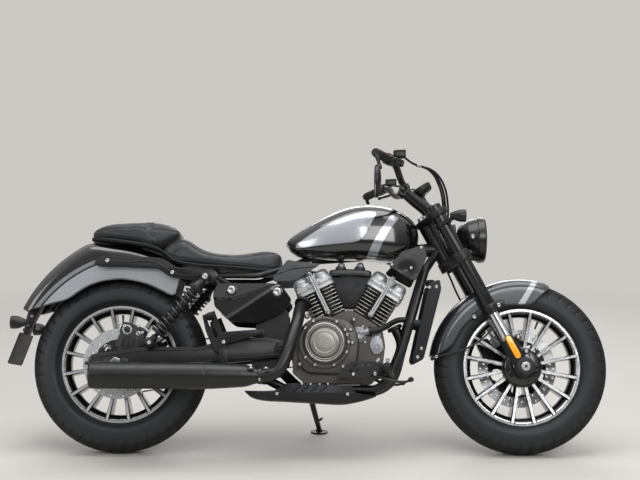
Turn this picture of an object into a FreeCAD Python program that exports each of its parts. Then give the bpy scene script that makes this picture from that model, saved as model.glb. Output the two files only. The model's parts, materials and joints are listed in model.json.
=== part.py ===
import FreeCAD, Part
import math
import os
from FreeCAD import Vector

# A parked cruiser motorcycle. Every piece is built upright, in millimetres, with +X forward, +Y left and
# +Z up from the ground under the middle of the wheelbase, and is leaned onto the side stand at the end.

# Driving dimensions of the whole machine
wheelbase = 1506.0
seat_height = 750.0
cover_width = 300.0
lean_deg = 13.0
rake_deg = 28.3
fit_gap = 0.3
run_fit = 0.05
overrun = 5.0
bend_share = 0.45

# Wheels: tyre radius and width, rim flange radius and width over the flanges
front_radius = 325.0
front_width = 130.0
rear_radius = 329.0
rear_width = 150.0
rim_radius = 218.0
rim_width = 94.0
rim_lip = 5.0
bead_drop = 15.0
tyre_wall = 12.0
shoulder_rise = 6.0
barrel_wall = 8.0
spoke_count = 16
spoke_hub_width = 9.0
spoke_rim_width = 17.0
spoke_depth = 68.0
hub_radius = 45.0
front_hub_half = 75.0
front_axle_radius = 10.0
rear_axle_radius = 12.5
axle_bore_share = 0.5
axle_head_height = 6.0
axle_head_radius = 17.0
disc_thickness = 5.0
disc_clear = 5.0
disc_arms = 5
front_disc_radius = 150.0
front_disc_band = 42.0
front_disc_y = 64.0
rear_disc_radius = 130.0
rear_disc_band = 40.0
rear_disc_y = -84.0

# Fork and steering head, with distances along the leg from the axle
clamp_offset = 45.0
axle_lead = 6.5
fork_spacing = 214.0
outer_tube_radius = 25.5
inner_tube_radius = 20.5
collar_radius = 29.5
lower_radius = 29.0
fork_low_reach = 34.0
lower_top = 118.0
collar_low = 226.0
collar_height = 34.0
fork_length = 692.0
lower_clamp_at = 469.0
lower_clamp_height = 38.0
upper_clamp_at = 655.0
upper_clamp_height = 22.0
clamp_radius = 37.0
clamp_back_share = 0.9
clamp_tail_share = 0.22
clamp_side_shares = [(-0.5, 1.0), (0.7, 1.0)]
clamp_nose_share = 0.45
stem_radius = 15.0
head_radius = 30.0
head_gap = 1.0
steering_range_deg = 34.0

# Drive belt, with the pulleys' places across the machine
belt_inner = 82.0
belt_width = 16.0
belt_wall = 6.0
belt_clearance = 6.0
rear_pulley_radius = 99.0
front_pulley_radius = 45.0

quarter_turn = 90.0
front_half_width = front_width / 2
rear_half_width = rear_width / 2
lean = math.radians(lean_deg)
rake = math.radians(rake_deg)


def axle_height(radius, half_width):
    """Height of an axle whose round-shouldered tyre just touches the ground at the parking lean."""
    return radius - half_width + half_width / math.cos(lean)


front_axle_at = Vector(wheelbase / 2, 0, axle_height(front_radius, front_half_width))
rear_axle_at = Vector(-wheelbase / 2, 0, axle_height(rear_radius, rear_half_width))
across = Vector(0, 1, 0)
forward = Vector(1, 0, 0)
fork_up = Vector(-math.sin(rake), 0, math.cos(rake))
fork_ahead = Vector(math.cos(rake), 0, math.sin(rake))


# Shapes used all over

def fork_point(along, ahead=0.0, y=0.0):
    """A point by its distance up the fork from the axle, and ahead of the legs' centre plane."""
    return front_axle_at + fork_ahead * (ahead - axle_lead) + fork_up * along + across * y


def stem_point(along):
    return fork_point(along, -clamp_offset)


def spot(shares, y=0.0):
    """A place in side view, given as shares of the wheelbase and of the seat height."""
    return Vector(shares[0] * wheelbase, y, shares[1] * seat_height)


def place(shares):
    """A place given as shares of the wheelbase, the width over the covers and the seat height."""
    return Vector(shares[0] * wheelbase, shares[1] * cover_width, shares[2] * seat_height)


def mirrored(shape):
    return shape.mirror(Vector(0, 0, 0), across)


def both_sides(shape):
    return Part.makeCompound([shape, mirrored(shape)])


def fused(shapes):
    whole = shapes[0]
    if len(shapes) > 1:
        whole = whole.multiFuse(shapes[1:])
    return whole.removeSplitter()


def rod(start, end, radius):
    return Part.makeCylinder(radius, (end - start).Length, start, end - start)


def cone(start, end, start_radius, end_radius):
    return Part.makeCone(start_radius, end_radius, (end - start).Length, start, end - start)


def cross_rod(centre, y_low, y_high, radius):
    """A round bar that lies across the machine."""
    start = Vector(centre.x, y_low, centre.z)
    return Part.makeCylinder(radius, y_high - y_low, start, across)


def rounded_edges(points, radius, closed):
    """Straight runs joined by tangent arcs, each arc no larger than its runs allow."""
    count = len(points)
    corners = range(count) if closed else range(1, count - 1)
    turns = {}
    for i in corners:
        here = points[i]
        to_last = points[i - 1] - here
        to_next = points[(i + 1) % count] - here
        room = min(to_last.Length, to_next.Length) * bend_share
        to_last.normalize()
        to_next.normalize()
        half = to_last.getAngle(to_next) / 2
        reach = min(radius / math.tan(half), room)
        bend = reach * math.tan(half)
        inward = to_last + to_next
        inward.normalize()
        middle = here + inward * (bend / math.sin(half) - bend)
        turns[i] = (here + to_last * reach, middle, here + to_next * reach)
    edges = []
    steps = range(count) if closed else range(count - 1)
    for i in steps:
        j = (i + 1) % count
        start = turns[i][2] if i in turns else points[i]
        end = turns[j][0] if j in turns else points[j]
        if (end - start).Length > run_fit:
            edges.append(Part.LineSegment(start, end).toShape())
        if j in turns:
            edges.append(Part.Arc(*turns[j]).toShape())
    return edges


def tube(points, radius, bend):
    """A round tube bent along a route of points."""
    path = Part.Wire(rounded_edges(points, bend, False))
    ring = Part.Wire(Part.makeCircle(radius, points[0], points[1] - points[0]))
    return path.makePipeShell([ring], True, False)


def plate(outline, y_low, y_high, corner):
    """A flat plate in side view, its outline given in shares, between two places across."""
    points = [spot(shares, y_low) for shares in outline]
    return slab(points, across * (y_high - y_low), corner)


def slab(points, thickness, corner):
    face = Part.Face(Part.Wire(rounded_edges(points, corner, True)))
    return face.extrude(thickness)


def turned(profile, centre, axis, angle=360.0, start_deg=0.0):
    """A profile of (across, radius) points revolved about an axle."""
    points = [centre + across * y + Vector(0, 0, 1) * r for y, r in profile]
    face = Part.Face(Part.makePolygon(points + points[:1]))
    shape = face.revolve(centre, axis, angle)
    if start_deg:
        shape.rotate(centre, axis, start_deg)
    return shape


def section(x, y_half, z_low, z_high, square_share, lift_share=0.5):
    """A closed smooth section across the machine, rounder or squarer, widest part way up."""
    points = []
    steps = 20
    middle = z_low + (z_high - z_low) * lift_share
    for i in range(steps):
        turn = 2 * math.pi * i / steps
        c, s = math.cos(turn), math.sin(turn)
        y = math.copysign(abs(c) ** square_share, c) * y_half
        height = z_high - middle if s > 0 else middle - z_low
        z = middle + math.copysign(abs(s) ** square_share, s) * height
        points.append(Vector(x, y, z))
    curve = Part.BSplineCurve()
    curve.interpolate(Points=points, PeriodicFlag=True)
    return Part.Wire(curve.toShape())


def lofted(stations, square_share, half_width, lift_share=0.5):
    """A smooth body through sections: x, low and high shares, then width as a share of the widest."""
    wires = []
    for x, low, high, wide in stations:
        wires.append(section(x * wheelbase, wide * half_width, low * seat_height, high * seat_height,
                             square_share, lift_share))
    return Part.makeLoft(wires, True, False)


def saddled(shape, route_shares, radius):
    """A lug shaped to sit on a tube."""
    return shape.cut(tube([place(shares) for shares in route_shares], radius + fit_gap, frame_bend))


# Wheels

def tyre(axle, radius, width):
    half = width / 2
    centre_radius = radius - half
    bead_radius = rim_radius - bead_drop + fit_gap
    bead_y = rim_width / 2 - rim_lip - fit_gap
    shoulder = rim_radius + shoulder_rise
    shoulder_y = math.sqrt(half ** 2 - (centre_radius - shoulder) ** 2)
    inner = half - tyre_wall
    inner_shoulder = shoulder + tyre_wall
    inner_shoulder_y = math.sqrt(inner ** 2 - (centre_radius - inner_shoulder) ** 2)

    def at(y, r):
        return axle + across * y + Vector(0, 0, 1) * r

    outer = Part.Arc(at(-shoulder_y, shoulder), at(0, radius), at(shoulder_y, shoulder)).toShape()
    lining = Part.Arc(at(inner_shoulder_y, inner_shoulder), at(0, radius - tyre_wall),
                      at(-inner_shoulder_y, inner_shoulder)).toShape()
    lip_top = rim_radius + fit_gap
    right = [at(shoulder_y, shoulder), at(bead_y, lip_top), at(bead_y, bead_radius),
             at(bead_y - tyre_wall, bead_radius), at(bead_y - tyre_wall, shoulder),
             at(inner_shoulder_y, inner_shoulder)]
    left = [Vector(p.x, -p.y, p.z) for p in reversed(right)]
    wire = Part.Wire([outer] + Part.makePolygon(right).Edges + [lining] + Part.makePolygon(left).Edges)
    ring = Part.Face(wire).revolve(axle, across, 360)
    ring.rotate(axle, across, quarter_turn)
    return ring


def rim(axle, hub_low, hub_high, bore_radius):
    half = rim_width / 2
    seat_radius = rim_radius - bead_drop
    well_radius = seat_radius - barrel_wall
    inner_radius = well_radius - barrel_wall
    well_y = half - rim_lip - tyre_wall - barrel_wall
    profile = [(half, rim_radius), (half - rim_lip, rim_radius), (half - rim_lip, seat_radius),
               (half - rim_lip - tyre_wall, seat_radius), (well_y, well_radius)]
    profile += [(-y, r) for y, r in reversed(profile)]
    slope_y = half - barrel_wall
    profile += [(-half, seat_radius), (-slope_y, inner_radius), (slope_y, inner_radius),
                (half, seat_radius)]
    barrel = turned(profile, axle, across)
    hub = cross_rod(axle, hub_low, hub_high, hub_radius)
    spokes = [spoke(axle, 360.0 * i / spoke_count) for i in range(spoke_count)]
    whole = fused([barrel, hub] + spokes)
    return whole.cut(cross_rod(axle, hub_low * 2, hub_high * 2, bore_radius + run_fit))


def spoke(axle, angle):
    """One spoke, wider at the rim than at the hub."""
    half = spoke_depth / 2
    start = hub_radius - barrel_wall
    end = rim_radius - bead_drop - barrel_wall - barrel_wall / 2
    corners = [(-spoke_hub_width / 2, start), (spoke_hub_width / 2, start),
               (spoke_rim_width / 2, end), (-spoke_rim_width / 2, end)]
    points = [axle + forward * x - across * half + Vector(0, 0, 1) * r for x, r in corners]
    bar = Part.Face(Part.makePolygon(points + points[:1])).extrude(across * spoke_depth)
    bar.rotate(axle, across, angle)
    return bar


def brake_disc(axle, y_low, radius, band, hub_side):
    """A brake disc: its band, and the carrier that bolts it to the hub."""
    ring = cross_rod(axle, y_low, y_low + disc_thickness, radius)
    window = (radius - band - hub_radius) / 2 - disc_thickness
    window_at = hub_radius + disc_thickness + window
    for i in range(disc_arms):
        turn = 2 * math.pi * i / disc_arms
        centre = axle + forward * (window_at * math.cos(turn)) + Vector(0, 0, window_at * math.sin(turn))
        ring = ring.cut(cross_rod(centre, y_low - overrun, y_low + disc_thickness + overrun, window))
    return ring.cut(cross_rod(axle, y_low - overrun, y_low + disc_thickness + overrun, hub_side))


def front_tyre():
    return tyre(front_axle_at, front_radius, front_width)


def rear_tyre():
    return tyre(rear_axle_at, rear_radius, rear_width)


def front_rim():
    return rim(front_axle_at, -front_hub_half, front_hub_half, front_axle_radius)


def rear_rim():
    return rim(rear_axle_at, rear_disc_y + fit_gap, belt_inner, rear_axle_radius)


def front_disc():
    return brake_disc(front_axle_at, front_disc_y, front_disc_radius, front_disc_band, hub_radius + fit_gap)


def rear_disc():
    return brake_disc(rear_axle_at, rear_disc_y - disc_thickness, rear_disc_radius, rear_disc_band,
                      rear_axle_radius + fit_gap)


def rear_pulley():
    low = belt_inner + fit_gap
    wheel = cross_rod(rear_axle_at, low, belt_inner + belt_width - fit_gap, rear_pulley_radius)
    return wheel.cut(cross_rod(rear_axle_at, low - overrun, belt_inner + belt_width + overrun,
                               rear_axle_radius + fit_gap))


def front_axle():
    reach = fork_spacing / 2 + lower_radius
    pin = cross_rod(front_axle_at, -reach, reach, front_axle_radius)
    head = cross_rod(front_axle_at, -reach - axle_head_height, -reach, axle_head_radius)
    whole = fused([pin, head])
    return whole.cut(cross_rod(front_axle_at, -reach * 2, reach * 2, front_axle_radius * axle_bore_share))


def rear_axle():
    reach = arm_y + arm_thickness / 2 + axle_head_height
    pin = cross_rod(rear_axle_at, -reach, reach, rear_axle_radius)
    return pin.cut(cross_rod(rear_axle_at, -reach * 2, reach * 2, rear_axle_radius * axle_bore_share))


# Fork, clamps and everything that steers

boss_radius = 34.0
boss_inner = 79.0


def fork_legs():
    y = fork_spacing / 2
    low = rod(fork_point(-fork_low_reach, y=y), fork_point(lower_top, y=y), lower_radius)
    slider = rod(fork_point(0, y=y), fork_point(collar_low + collar_height, y=y), inner_tube_radius)
    collar = rod(fork_point(collar_low, y=y), fork_point(collar_low + collar_height, y=y), collar_radius)
    middle = collar_low + collar_height / 2
    upper = rod(fork_point(middle, y=y), fork_point(fork_length, y=y), outer_tube_radius)
    boss = cross_rod(front_axle_at, boss_inner, y + lower_radius - fit_gap, boss_radius)
    leg = fused([low, slider, collar, upper, boss])
    leg = leg.cut(cross_rod(front_axle_at, 0, fork_spacing, front_axle_radius + run_fit))
    return both_sides(leg)


def clamp(along, height):
    """One fork clamp: an eye round each leg and a bridge back to the stem."""
    y = fork_spacing / 2
    low, high = along - height / 2, along + height / 2
    eyes = [rod(fork_point(low, y=side * y), fork_point(high, y=side * y), clamp_radius) for side in (-1, 1)]
    eye = rod(stem_point(low), stem_point(high), clamp_radius)
    back = (clamp_offset + clamp_radius) * clamp_back_share
    side = [(-back, clamp_tail_share)] + [(ahead * clamp_radius, share) for ahead,
            share in clamp_side_shares]
    nose = [(clamp_radius * clamp_nose_share, 0)]
    corners = side + nose + [(ahead, -share) for ahead, share in reversed(side)]
    points = [fork_point(low, ahead, share * y) for ahead, share in corners]
    bridge = Part.Face(Part.makePolygon(points + points[:1])).extrude(fork_up * height)
    return eyes + [eye, bridge]


def triple_clamps():
    low = lower_clamp_at - lower_clamp_height / 2
    stem = rod(stem_point(low), stem_point(upper_clamp_at + upper_clamp_height / 2), stem_radius)
    clamps = clamp(lower_clamp_at, lower_clamp_height) + clamp(upper_clamp_at, upper_clamp_height)
    whole = fused(clamps + [stem])
    for side in (-1, 1):
        y = side * fork_spacing / 2
        leg = rod(fork_point(0, y=y), fork_point(fork_length * 2, y=y), outer_tube_radius + run_fit)
        whole = whole.cut(leg)
    return whole


bar_radius = 12.7
bar_bend = 60.0
bar_shares = [(0.2191, 0.0, 1.344), (0.2112, 0.2333, 1.3413), (0.1965, 0.5267, 1.3493),
              (0.1793, 0.76, 1.424), (0.1275, 1.3733, 1.4173)]
riser_radius = 17.0
riser_y = 45.0
riser_foot = 20.0
riser_back_share = 0.3
riser_top_share = 0.85
bar_clamp_share = 1.7


def bar_route():
    half = [place(shares) for shares in bar_shares[1:]]
    other = [Vector(p.x, -p.y, p.z) for p in reversed(half)]
    return other + half


def riser_base(side):
    top = upper_clamp_at + upper_clamp_height / 2 + fit_gap
    return fork_point(top, -clamp_radius * riser_back_share, side * riser_y)


def handlebar():
    bar = tube(bar_route(), bar_radius, bar_bend)
    pieces = [bar]
    middle = place(bar_shares[0])
    for side in (-1, 1):
        base = riser_base(side)
        knee = base + fork_up * riser_foot
        head = Vector(place(bar_shares[1]).x, side * riser_y, place(bar_shares[1]).z)
        eye = cross_rod(head, side * riser_y - riser_radius, side * riser_y + riser_radius,
                        bar_radius * bar_clamp_share)
        pieces += [rod(base, knee, riser_radius), Part.makeSphere(riser_radius, knee),
                   rod(knee, head, riser_radius * riser_top_share), eye]
    return fused(pieces)


grip_radius = 17.0
grip_length = 115.0


def grip_ends():
    """The outer end of the bar, and the direction in along it."""
    outer = place(bar_shares[4])
    inward = place(bar_shares[3]) - outer
    inward.normalize()
    return outer, inward


def grips():
    outer, inward = grip_ends()
    body = rod(outer, outer + inward * grip_length, grip_radius)
    body = body.cut(rod(outer - inward * overrun, outer + inward * grip_length * 2, bar_radius + fit_gap))
    return both_sides(body)


switch_length = 34.0
switch_radius = 22.0
lever_radius = 5.5
lever_drop = 12.0
lever_ahead = 58.0
reservoir_height = 26.0
reservoir_size = 46.0
perch_length = 24.0
perch_share = 0.9
pivot_ahead_share = 0.6
tip_ahead_share = 0.72
tip_in_share = 0.12
elbow_out_share = 0.2
lever_tip_share = 1.4
lever_eye_share = 1.6


def controls():
    """Switch housing, lever perch with its fluid pot, and the lever, on each side."""
    outer, inward = grip_ends()
    start = outer + inward * (grip_length + fit_gap)
    switch = rod(start, start + inward * switch_length, switch_radius)
    perch_at = start + inward * (switch_length + perch_length / 2)
    perch = rod(start + inward * switch_length, start + inward * (switch_length + perch_length),
                switch_radius * perch_share)
    ahead = forward * lever_ahead
    drop = Vector(0, 0, lever_drop)
    eye_radius = lever_radius * lever_eye_share
    pivot = perch_at + ahead * pivot_ahead_share - drop
    arm = rod(perch_at, pivot, eye_radius)
    tip = outer + inward * (grip_length * tip_in_share) + ahead * tip_ahead_share - drop
    elbow = start - inward * (grip_length * elbow_out_share) + ahead - drop
    lever = fused([rod(pivot, elbow, lever_radius), Part.makeSphere(lever_radius, elbow),
                   rod(elbow, tip, lever_radius), Part.makeSphere(lever_radius * lever_tip_share, tip),
                   Part.makeSphere(eye_radius, pivot)])
    foot = perch_at + ahead / 2 + drop
    pot = Part.makeBox(reservoir_size, reservoir_size, reservoir_height,
                       foot - Vector(reservoir_size / 2, reservoir_size / 2, 0))
    link = rod(perch_at, foot + Vector(0, 0, reservoir_height / 2), eye_radius)
    whole = fused([switch, perch, arm, lever, link, pot])
    whole = whole.cut(rod(outer, outer + inward * grip_length * 3, bar_radius + fit_gap))
    return both_sides(whole)


mirror_radius = 58.0
mirror_depth = 22.0
mirror_arm = 6.0
mirror_shares = (0.1301, 1.4333, 1.276)
mirror_collar = 14.0
mirror_face_share = 0.75
mirror_top_share = 0.9


def mirrors():
    """Round mirrors hung from the bar ends, with the glass facing back."""
    outer, inward = grip_ends()
    tip = outer - inward * (fit_gap + mirror_collar)
    collar = rod(tip, outer - inward * fit_gap, grip_radius)
    centre = place(mirror_shares)
    glass = centre - forward * mirror_depth / 2
    step = glass + forward * mirror_depth / 2
    dish = rod(glass, step, mirror_radius)
    dome = cone(step, glass + forward * mirror_depth, mirror_radius, mirror_radius * mirror_face_share)
    top = centre + Vector(0, 0, mirror_radius * mirror_top_share)
    middle = tip + inward * mirror_collar / 2
    arm = rod(middle, top, mirror_arm)
    return both_sides(fused([collar, dish, dome, arm]))


dial_radius = 43.0
dial_depth = 34.0
dial_shares = (0.2643, 1.3227)
dial_tilt_deg = 35.0
dial_link_share = 0.8
dial_stalk = 9.0


def instrument():
    """A round dial ahead of the risers, on a stalk from the top clamp."""
    tilt = math.radians(dial_tilt_deg)
    face = Vector(-math.sin(tilt), 0, math.cos(tilt))
    centre = spot(dial_shares)
    body = rod(centre, centre + face * dial_depth, dial_radius)
    foot = fork_point(upper_clamp_at + upper_clamp_height / 2 + fit_gap, 0)
    rise = fork_up * (centre - foot).Length
    stalk = rod(foot, foot + rise, dial_stalk)
    link = rod(foot + rise * dial_link_share, centre + face * dial_depth / 2, dial_stalk)
    return fused([body, stalk, link])


lamp_radius = 88.0
lamp_depth = 108.0
lamp_shares = (0.4157, 1.088)
lamp_stay = 9.0
lamp_heel_share = 0.9
lamp_profile_shares = [(0.02, 0.0), (0.05, 0.50), (0.11, 0.88), (0.03, 0.90), (0.0, 0.94), (0.05, 1.0),
                       (0.26, 1.0), (0.30, 0.95), (0.62, 0.86), (0.86, 0.62), (1.0, 0.3), (1.0, 0.0)]


def headlight():
    """A round bowl with its rim and set-in lens, on a stay from the lower clamp."""
    front = spot(lamp_shares)
    up = Vector(0, 0, lamp_radius)
    points = [front - forward * lamp_depth * depth + up * share for depth, share in lamp_profile_shares]
    bowl = Part.Face(Part.makePolygon(points + points[:1])).revolve(front, forward, 360)
    heel = front - forward * lamp_depth * lamp_heel_share
    foot = fork_point(lower_clamp_at + lower_clamp_height / 2 + fit_gap, 0)
    stay = rod(foot, foot + fork_up * lamp_stay * 4, lamp_stay)
    reach = rod(foot + fork_up * lamp_stay * 3, heel, lamp_stay)
    return fused([bowl, stay, reach])


signal_radius = 24.0
signal_length = 60.0
front_signal_shares = (0.3566, 0.5667, 1.176)
signal_stalk = 7.0
signal_ring_drop = 92.0
signal_ring_height = 16.0
signal_lens_share = 0.35
signal_tail_share = 0.4


def signal(lens, back):
    """A cone-backed turn signal from its lens to its tail."""
    direction = back - lens
    direction.normalize()
    step = lens + direction * signal_length * signal_lens_share
    tail = lens + direction * signal_length
    return [rod(lens, step, signal_radius), cone(step, tail, signal_radius, signal_radius * signal_tail_share)]


def front_signals():
    lens = place(front_signal_shares)
    pieces = signal(lens, lens - forward * signal_length)
    y = fork_spacing / 2
    ring_low = fork_length - signal_ring_drop
    ring_high = ring_low + signal_ring_height
    ring = rod(fork_point(ring_low, y=y), fork_point(ring_high, y=y), outer_tube_radius + signal_stalk)
    middle = fork_point(ring_low + signal_ring_height / 2, y=y + outer_tube_radius)
    stalk = rod(middle, lens - forward * signal_length / 2, signal_stalk)
    whole = fused(pieces + [ring, stalk])
    whole = whole.cut(rod(fork_point(0, y=y), fork_point(fork_length, y=y), outer_tube_radius + run_fit))
    return both_sides(whole)


fender_gap = 9.0
fender_wall = 3.0
front_fender_from = 72.0
front_fender_to = 173.0
fender_skirt_share = 0.36
fender_pad_at = (285.0, 305.0)


def fender_profile(radius, half_width, skirt_radius, wall):
    """Section of a fender: straight skirts, round shoulders and a slightly domed crown."""
    outline_shares = [(1.0, 0.0), (1.0, 0.62), (0.94, 0.80), (0.80, 0.92), (0.45, 0.985), (0.0, 1.0)]
    rise = radius - skirt_radius
    outer = [(y * half_width, skirt_radius + r * rise) for y, r in outline_shares]
    inner = [(y * (half_width - wall), skirt_radius + r * (rise - wall)) for y,
             r in reversed(outline_shares)]
    inner[-1] = (half_width - wall, skirt_radius)
    right = outer[:-1]
    left = [(-y, r) for y, r in reversed(right)]
    inner_right = inner[1:]
    inner_left = [(-y, r) for y, r in reversed(inner_right)]
    crown, lining = [outer[-1]], [inner[0]]
    return right + crown + left + inner_left + lining + inner_right


def front_fender():
    radius = front_radius + fender_gap + fender_wall
    half = front_half_width + fender_gap
    skirt = radius - front_radius * fender_skirt_share
    profile = fender_profile(radius, half, skirt, fender_wall)
    shell = turned(profile, front_axle_at, across, front_fender_from - front_fender_to,
                   quarter_turn - front_fender_from)
    y_low = half - fender_wall / 2
    pads = []
    for along in fender_pad_at:
        centre = fork_point(along)
        pads.append(cross_rod(centre, y_low, fork_spacing / 2 - outer_tube_radius - fit_gap, signal_stalk))
    return fused([shell] + pads + [mirrored(pad) for pad in pads])


caliper_length = 95.0
caliper_height = 52.0
caliper_width = 44.0
front_caliper_shares = (0.425, 0.5227)
front_caliper_deg = 62.0
caliper_round_share = 0.18
caliper_lug_share = 0.8
caliper_lug = 9.0
caliper_lug_at = (62.0, 108.0)


def caliper_block(centre, y_low, angle, disc_low, axle, radius):
    """A caliper body set over its disc, with the slot that the disc runs in."""
    corner = Vector(centre.x - caliper_length / 2, y_low, centre.z - caliper_height / 2)
    body = Part.makeBox(caliper_length, caliper_width, caliper_height, corner)
    body = body.makeFillet(caliper_height * caliper_round_share, body.Edges)
    body.rotate(centre, across, angle)
    slot = cross_rod(axle, disc_low - disc_clear, disc_low + disc_thickness + disc_clear, radius + disc_clear)
    return body.cut(slot)


def front_caliper():
    centre = spot(front_caliper_shares)
    y_low = front_disc_y + disc_thickness / 2 - caliper_width / 2
    body = caliper_block(centre, y_low, front_caliper_deg, front_disc_y, front_axle_at, front_disc_radius)
    y = fork_spacing / 2
    inner = y_low + caliper_width * caliper_lug_share
    lugs = [rod(Vector(centre.x, inner, centre.z), fork_point(along, y=y - lower_radius / 2), caliper_lug)
            for along in caliper_lug_at]
    leg = rod(fork_point(-fork_low_reach * 2, y=y), fork_point(fork_length, y=y), lower_radius + fit_gap)
    return fused([body] + [lug.cut(leg) for lug in lugs])


cable_radius = 4.0
cable_shares = [(0.2337, -0.7133, 1.416), (0.2789, -0.6, 1.4027), (0.3094, -0.4333, 1.3333),
                (0.3201, -0.2667, 1.2267), (0.3187, -0.1067, 1.1493), (0.326, -0.04, 1.104),
                (0.3437, -0.04, 1.1027)]
hose_shares = [(0.2337, 0.7133, 1.416), (0.2656, 0.6333, 1.3867), (0.2815, 0.55, 1.3133),
               (0.2842, 0.51, 1.2), (0.2961, 0.5, 1.1067), (0.3201, 0.5033, 0.9933),
               (0.3386, 0.5, 0.92), (0.3552, 0.46, 0.8267), (0.3851, 0.4133, 0.7133),
               (0.413, 0.3467, 0.6)]
cable_bend = 60.0


def cables():
    lead = tube([place(shares) for shares in cable_shares], cable_radius, cable_bend)
    hose = tube([place(shares) for shares in hose_shares], cable_radius, cable_bend)
    return Part.makeCompound([lead, hose])


# Frame, swing arm and rear suspension

plate_inner = 101.0
plate_outer = 111.0
pivot_shares = (-0.0996, 0.52)
pivot_radius = 10.0
pivot_sleeve = 26.0
backbone_radius = 26.0
down_radius = 16.0
rail_radius = 11.0
down_shares = [(0.2922, 0.0467, 1.016), (0.2603, 0.2, 0.92), (0.2205, 0.3167, 0.6507),
               (0.1992, 0.3167, 0.5067), (0.174, 0.3, 0.3867), (0.1428, 0.2833, 0.32),
               (-0.0863, 0.2833, 0.32), (-0.1328, 0.3467, 0.3667)]
seat_rail_shares = [(-0.0266, 0.0267, 0.9893), (-0.0797, 0.2, 0.9333), (-0.1594, 0.3533, 0.88),
                    (-0.2656, 0.36, 0.88), (-0.3201, 0.36, 0.884)]
rear_rail_shares = [(-0.1361, 0.3533, 0.6933), (-0.1992, 0.3567, 0.8), (-0.2656, 0.36, 0.88)]
plate_shares = [(-0.0797, 0.44), (-0.0797, 0.6933), (-0.0996, 0.74), (-0.156, 0.7267), (-0.1713, 0.4),
                (-0.1494, 0.3493), (-0.1262, 0.3493), (-0.1228, 0.4267)]
frame_bend = 70.0
strut_boss_shares = (-0.2623, 0.876)
backbone_at = 540.0
boss_share = 1.2
tie_share = 0.8


def spine_ends():
    tail = place(seat_rail_shares[0])
    return stem_point(backbone_at), Vector(tail.x, 0, tail.z)


def frame():
    low = lower_clamp_at + lower_clamp_height / 2 + head_gap
    high = upper_clamp_at - upper_clamp_height / 2 - head_gap
    head = rod(stem_point(low), stem_point(high), head_radius)
    spine = rod(*spine_ends(), backbone_radius)
    side = [tube([place(shares) for shares in down_shares], down_radius, frame_bend),
            tube([place(shares) for shares in seat_rail_shares], rail_radius, frame_bend),
            tube([place(shares) for shares in rear_rail_shares], rail_radius, frame_bend),
            plate(plate_shares, plate_inner, plate_outer, rail_radius),
            cross_rod(spot(strut_boss_shares), plate_inner, strut_inner - fit_gap, rail_radius * boss_share)]
    ties = [cross_rod(place(down_shares[6]), -plate_inner, plate_inner, rail_radius),
            cross_rod(place(seat_rail_shares[3]), -plate_inner, plate_inner, rail_radius * tie_share)]
    whole = fused([head, spine, stand_bracket()] + ties + side + [mirrored(shape) for shape in side])
    whole = whole.cut(rod(stem_point(0), stem_point(fork_length * 2), stem_radius + run_fit))
    return whole.cut(cross_rod(spot(pivot_shares), -cover_width, cover_width, pivot_radius + fit_gap))


arm_y = 125.5
arm_thickness = 28.0
arm_low_shares = [(-0.085, 0.5573), (-0.085, 0.4747), (-0.1992, 0.4507)]
arm_high_shares = [(-0.2955, 0.5227), (-0.2291, 0.5667), (-0.1394, 0.5733)]
arm_tail = 110.0
arm_tail_rise = 42.0
arm_tail_shares = [(1.03, -0.60), (-0.43, -1.02), (-0.88, -0.74), (-0.99, -0.02), (-0.88, 0.74),
                   (-0.22, 0.98), (0.95, 1.45)]
arm_tie_shares = (-0.2224, 0.4907)
shock_low_shares = (-0.417, 0.5387)
shock_high_shares = (-0.2616, 0.876)
shock_stud = 12.0
shock_ear_share = 1.5


def swingarm():
    low, high = arm_y - arm_thickness / 2, arm_y + arm_thickness / 2
    points = [spot(shares, low) for shares in arm_low_shares]
    points += [rear_axle_at + Vector(x * arm_tail, low, z * arm_tail_rise) for x, z in arm_tail_shares]
    points += [spot(shares, low) for shares in arm_high_shares]
    arm = slab(points, across * arm_thickness, rail_radius)
    ear = cross_rod(spot(shock_low_shares), low, shock_y - shock_eye_half - fit_gap, shock_stud * shock_ear_share)
    sleeve = cross_rod(spot(pivot_shares), -plate_inner + fit_gap, plate_inner - fit_gap, pivot_sleeve)
    shaft = cross_rod(spot(pivot_shares), -low - overrun, low + overrun, pivot_radius)
    tie = cross_rod(spot(arm_tie_shares), -low - overrun, low + overrun, pivot_sleeve * tie_share)
    whole = fused([arm, mirrored(arm), ear, mirrored(ear), sleeve, shaft, tie])
    return whole.cut(cross_rod(rear_axle_at, -cover_width, cover_width, rear_axle_radius + run_fit))


shock_y = 160.0
shock_eye_half = 14.0
shock_eye_radius = 18.0
damper_radius = 21.0
rod_radius = 8.0
spring_radius = 29.0
spring_turns = 8
spring_gap_share = 0.3
neck_share = 0.93
neck_radius = 12.0
spring_low_share = 0.17
spring_high_share = 0.80


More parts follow.
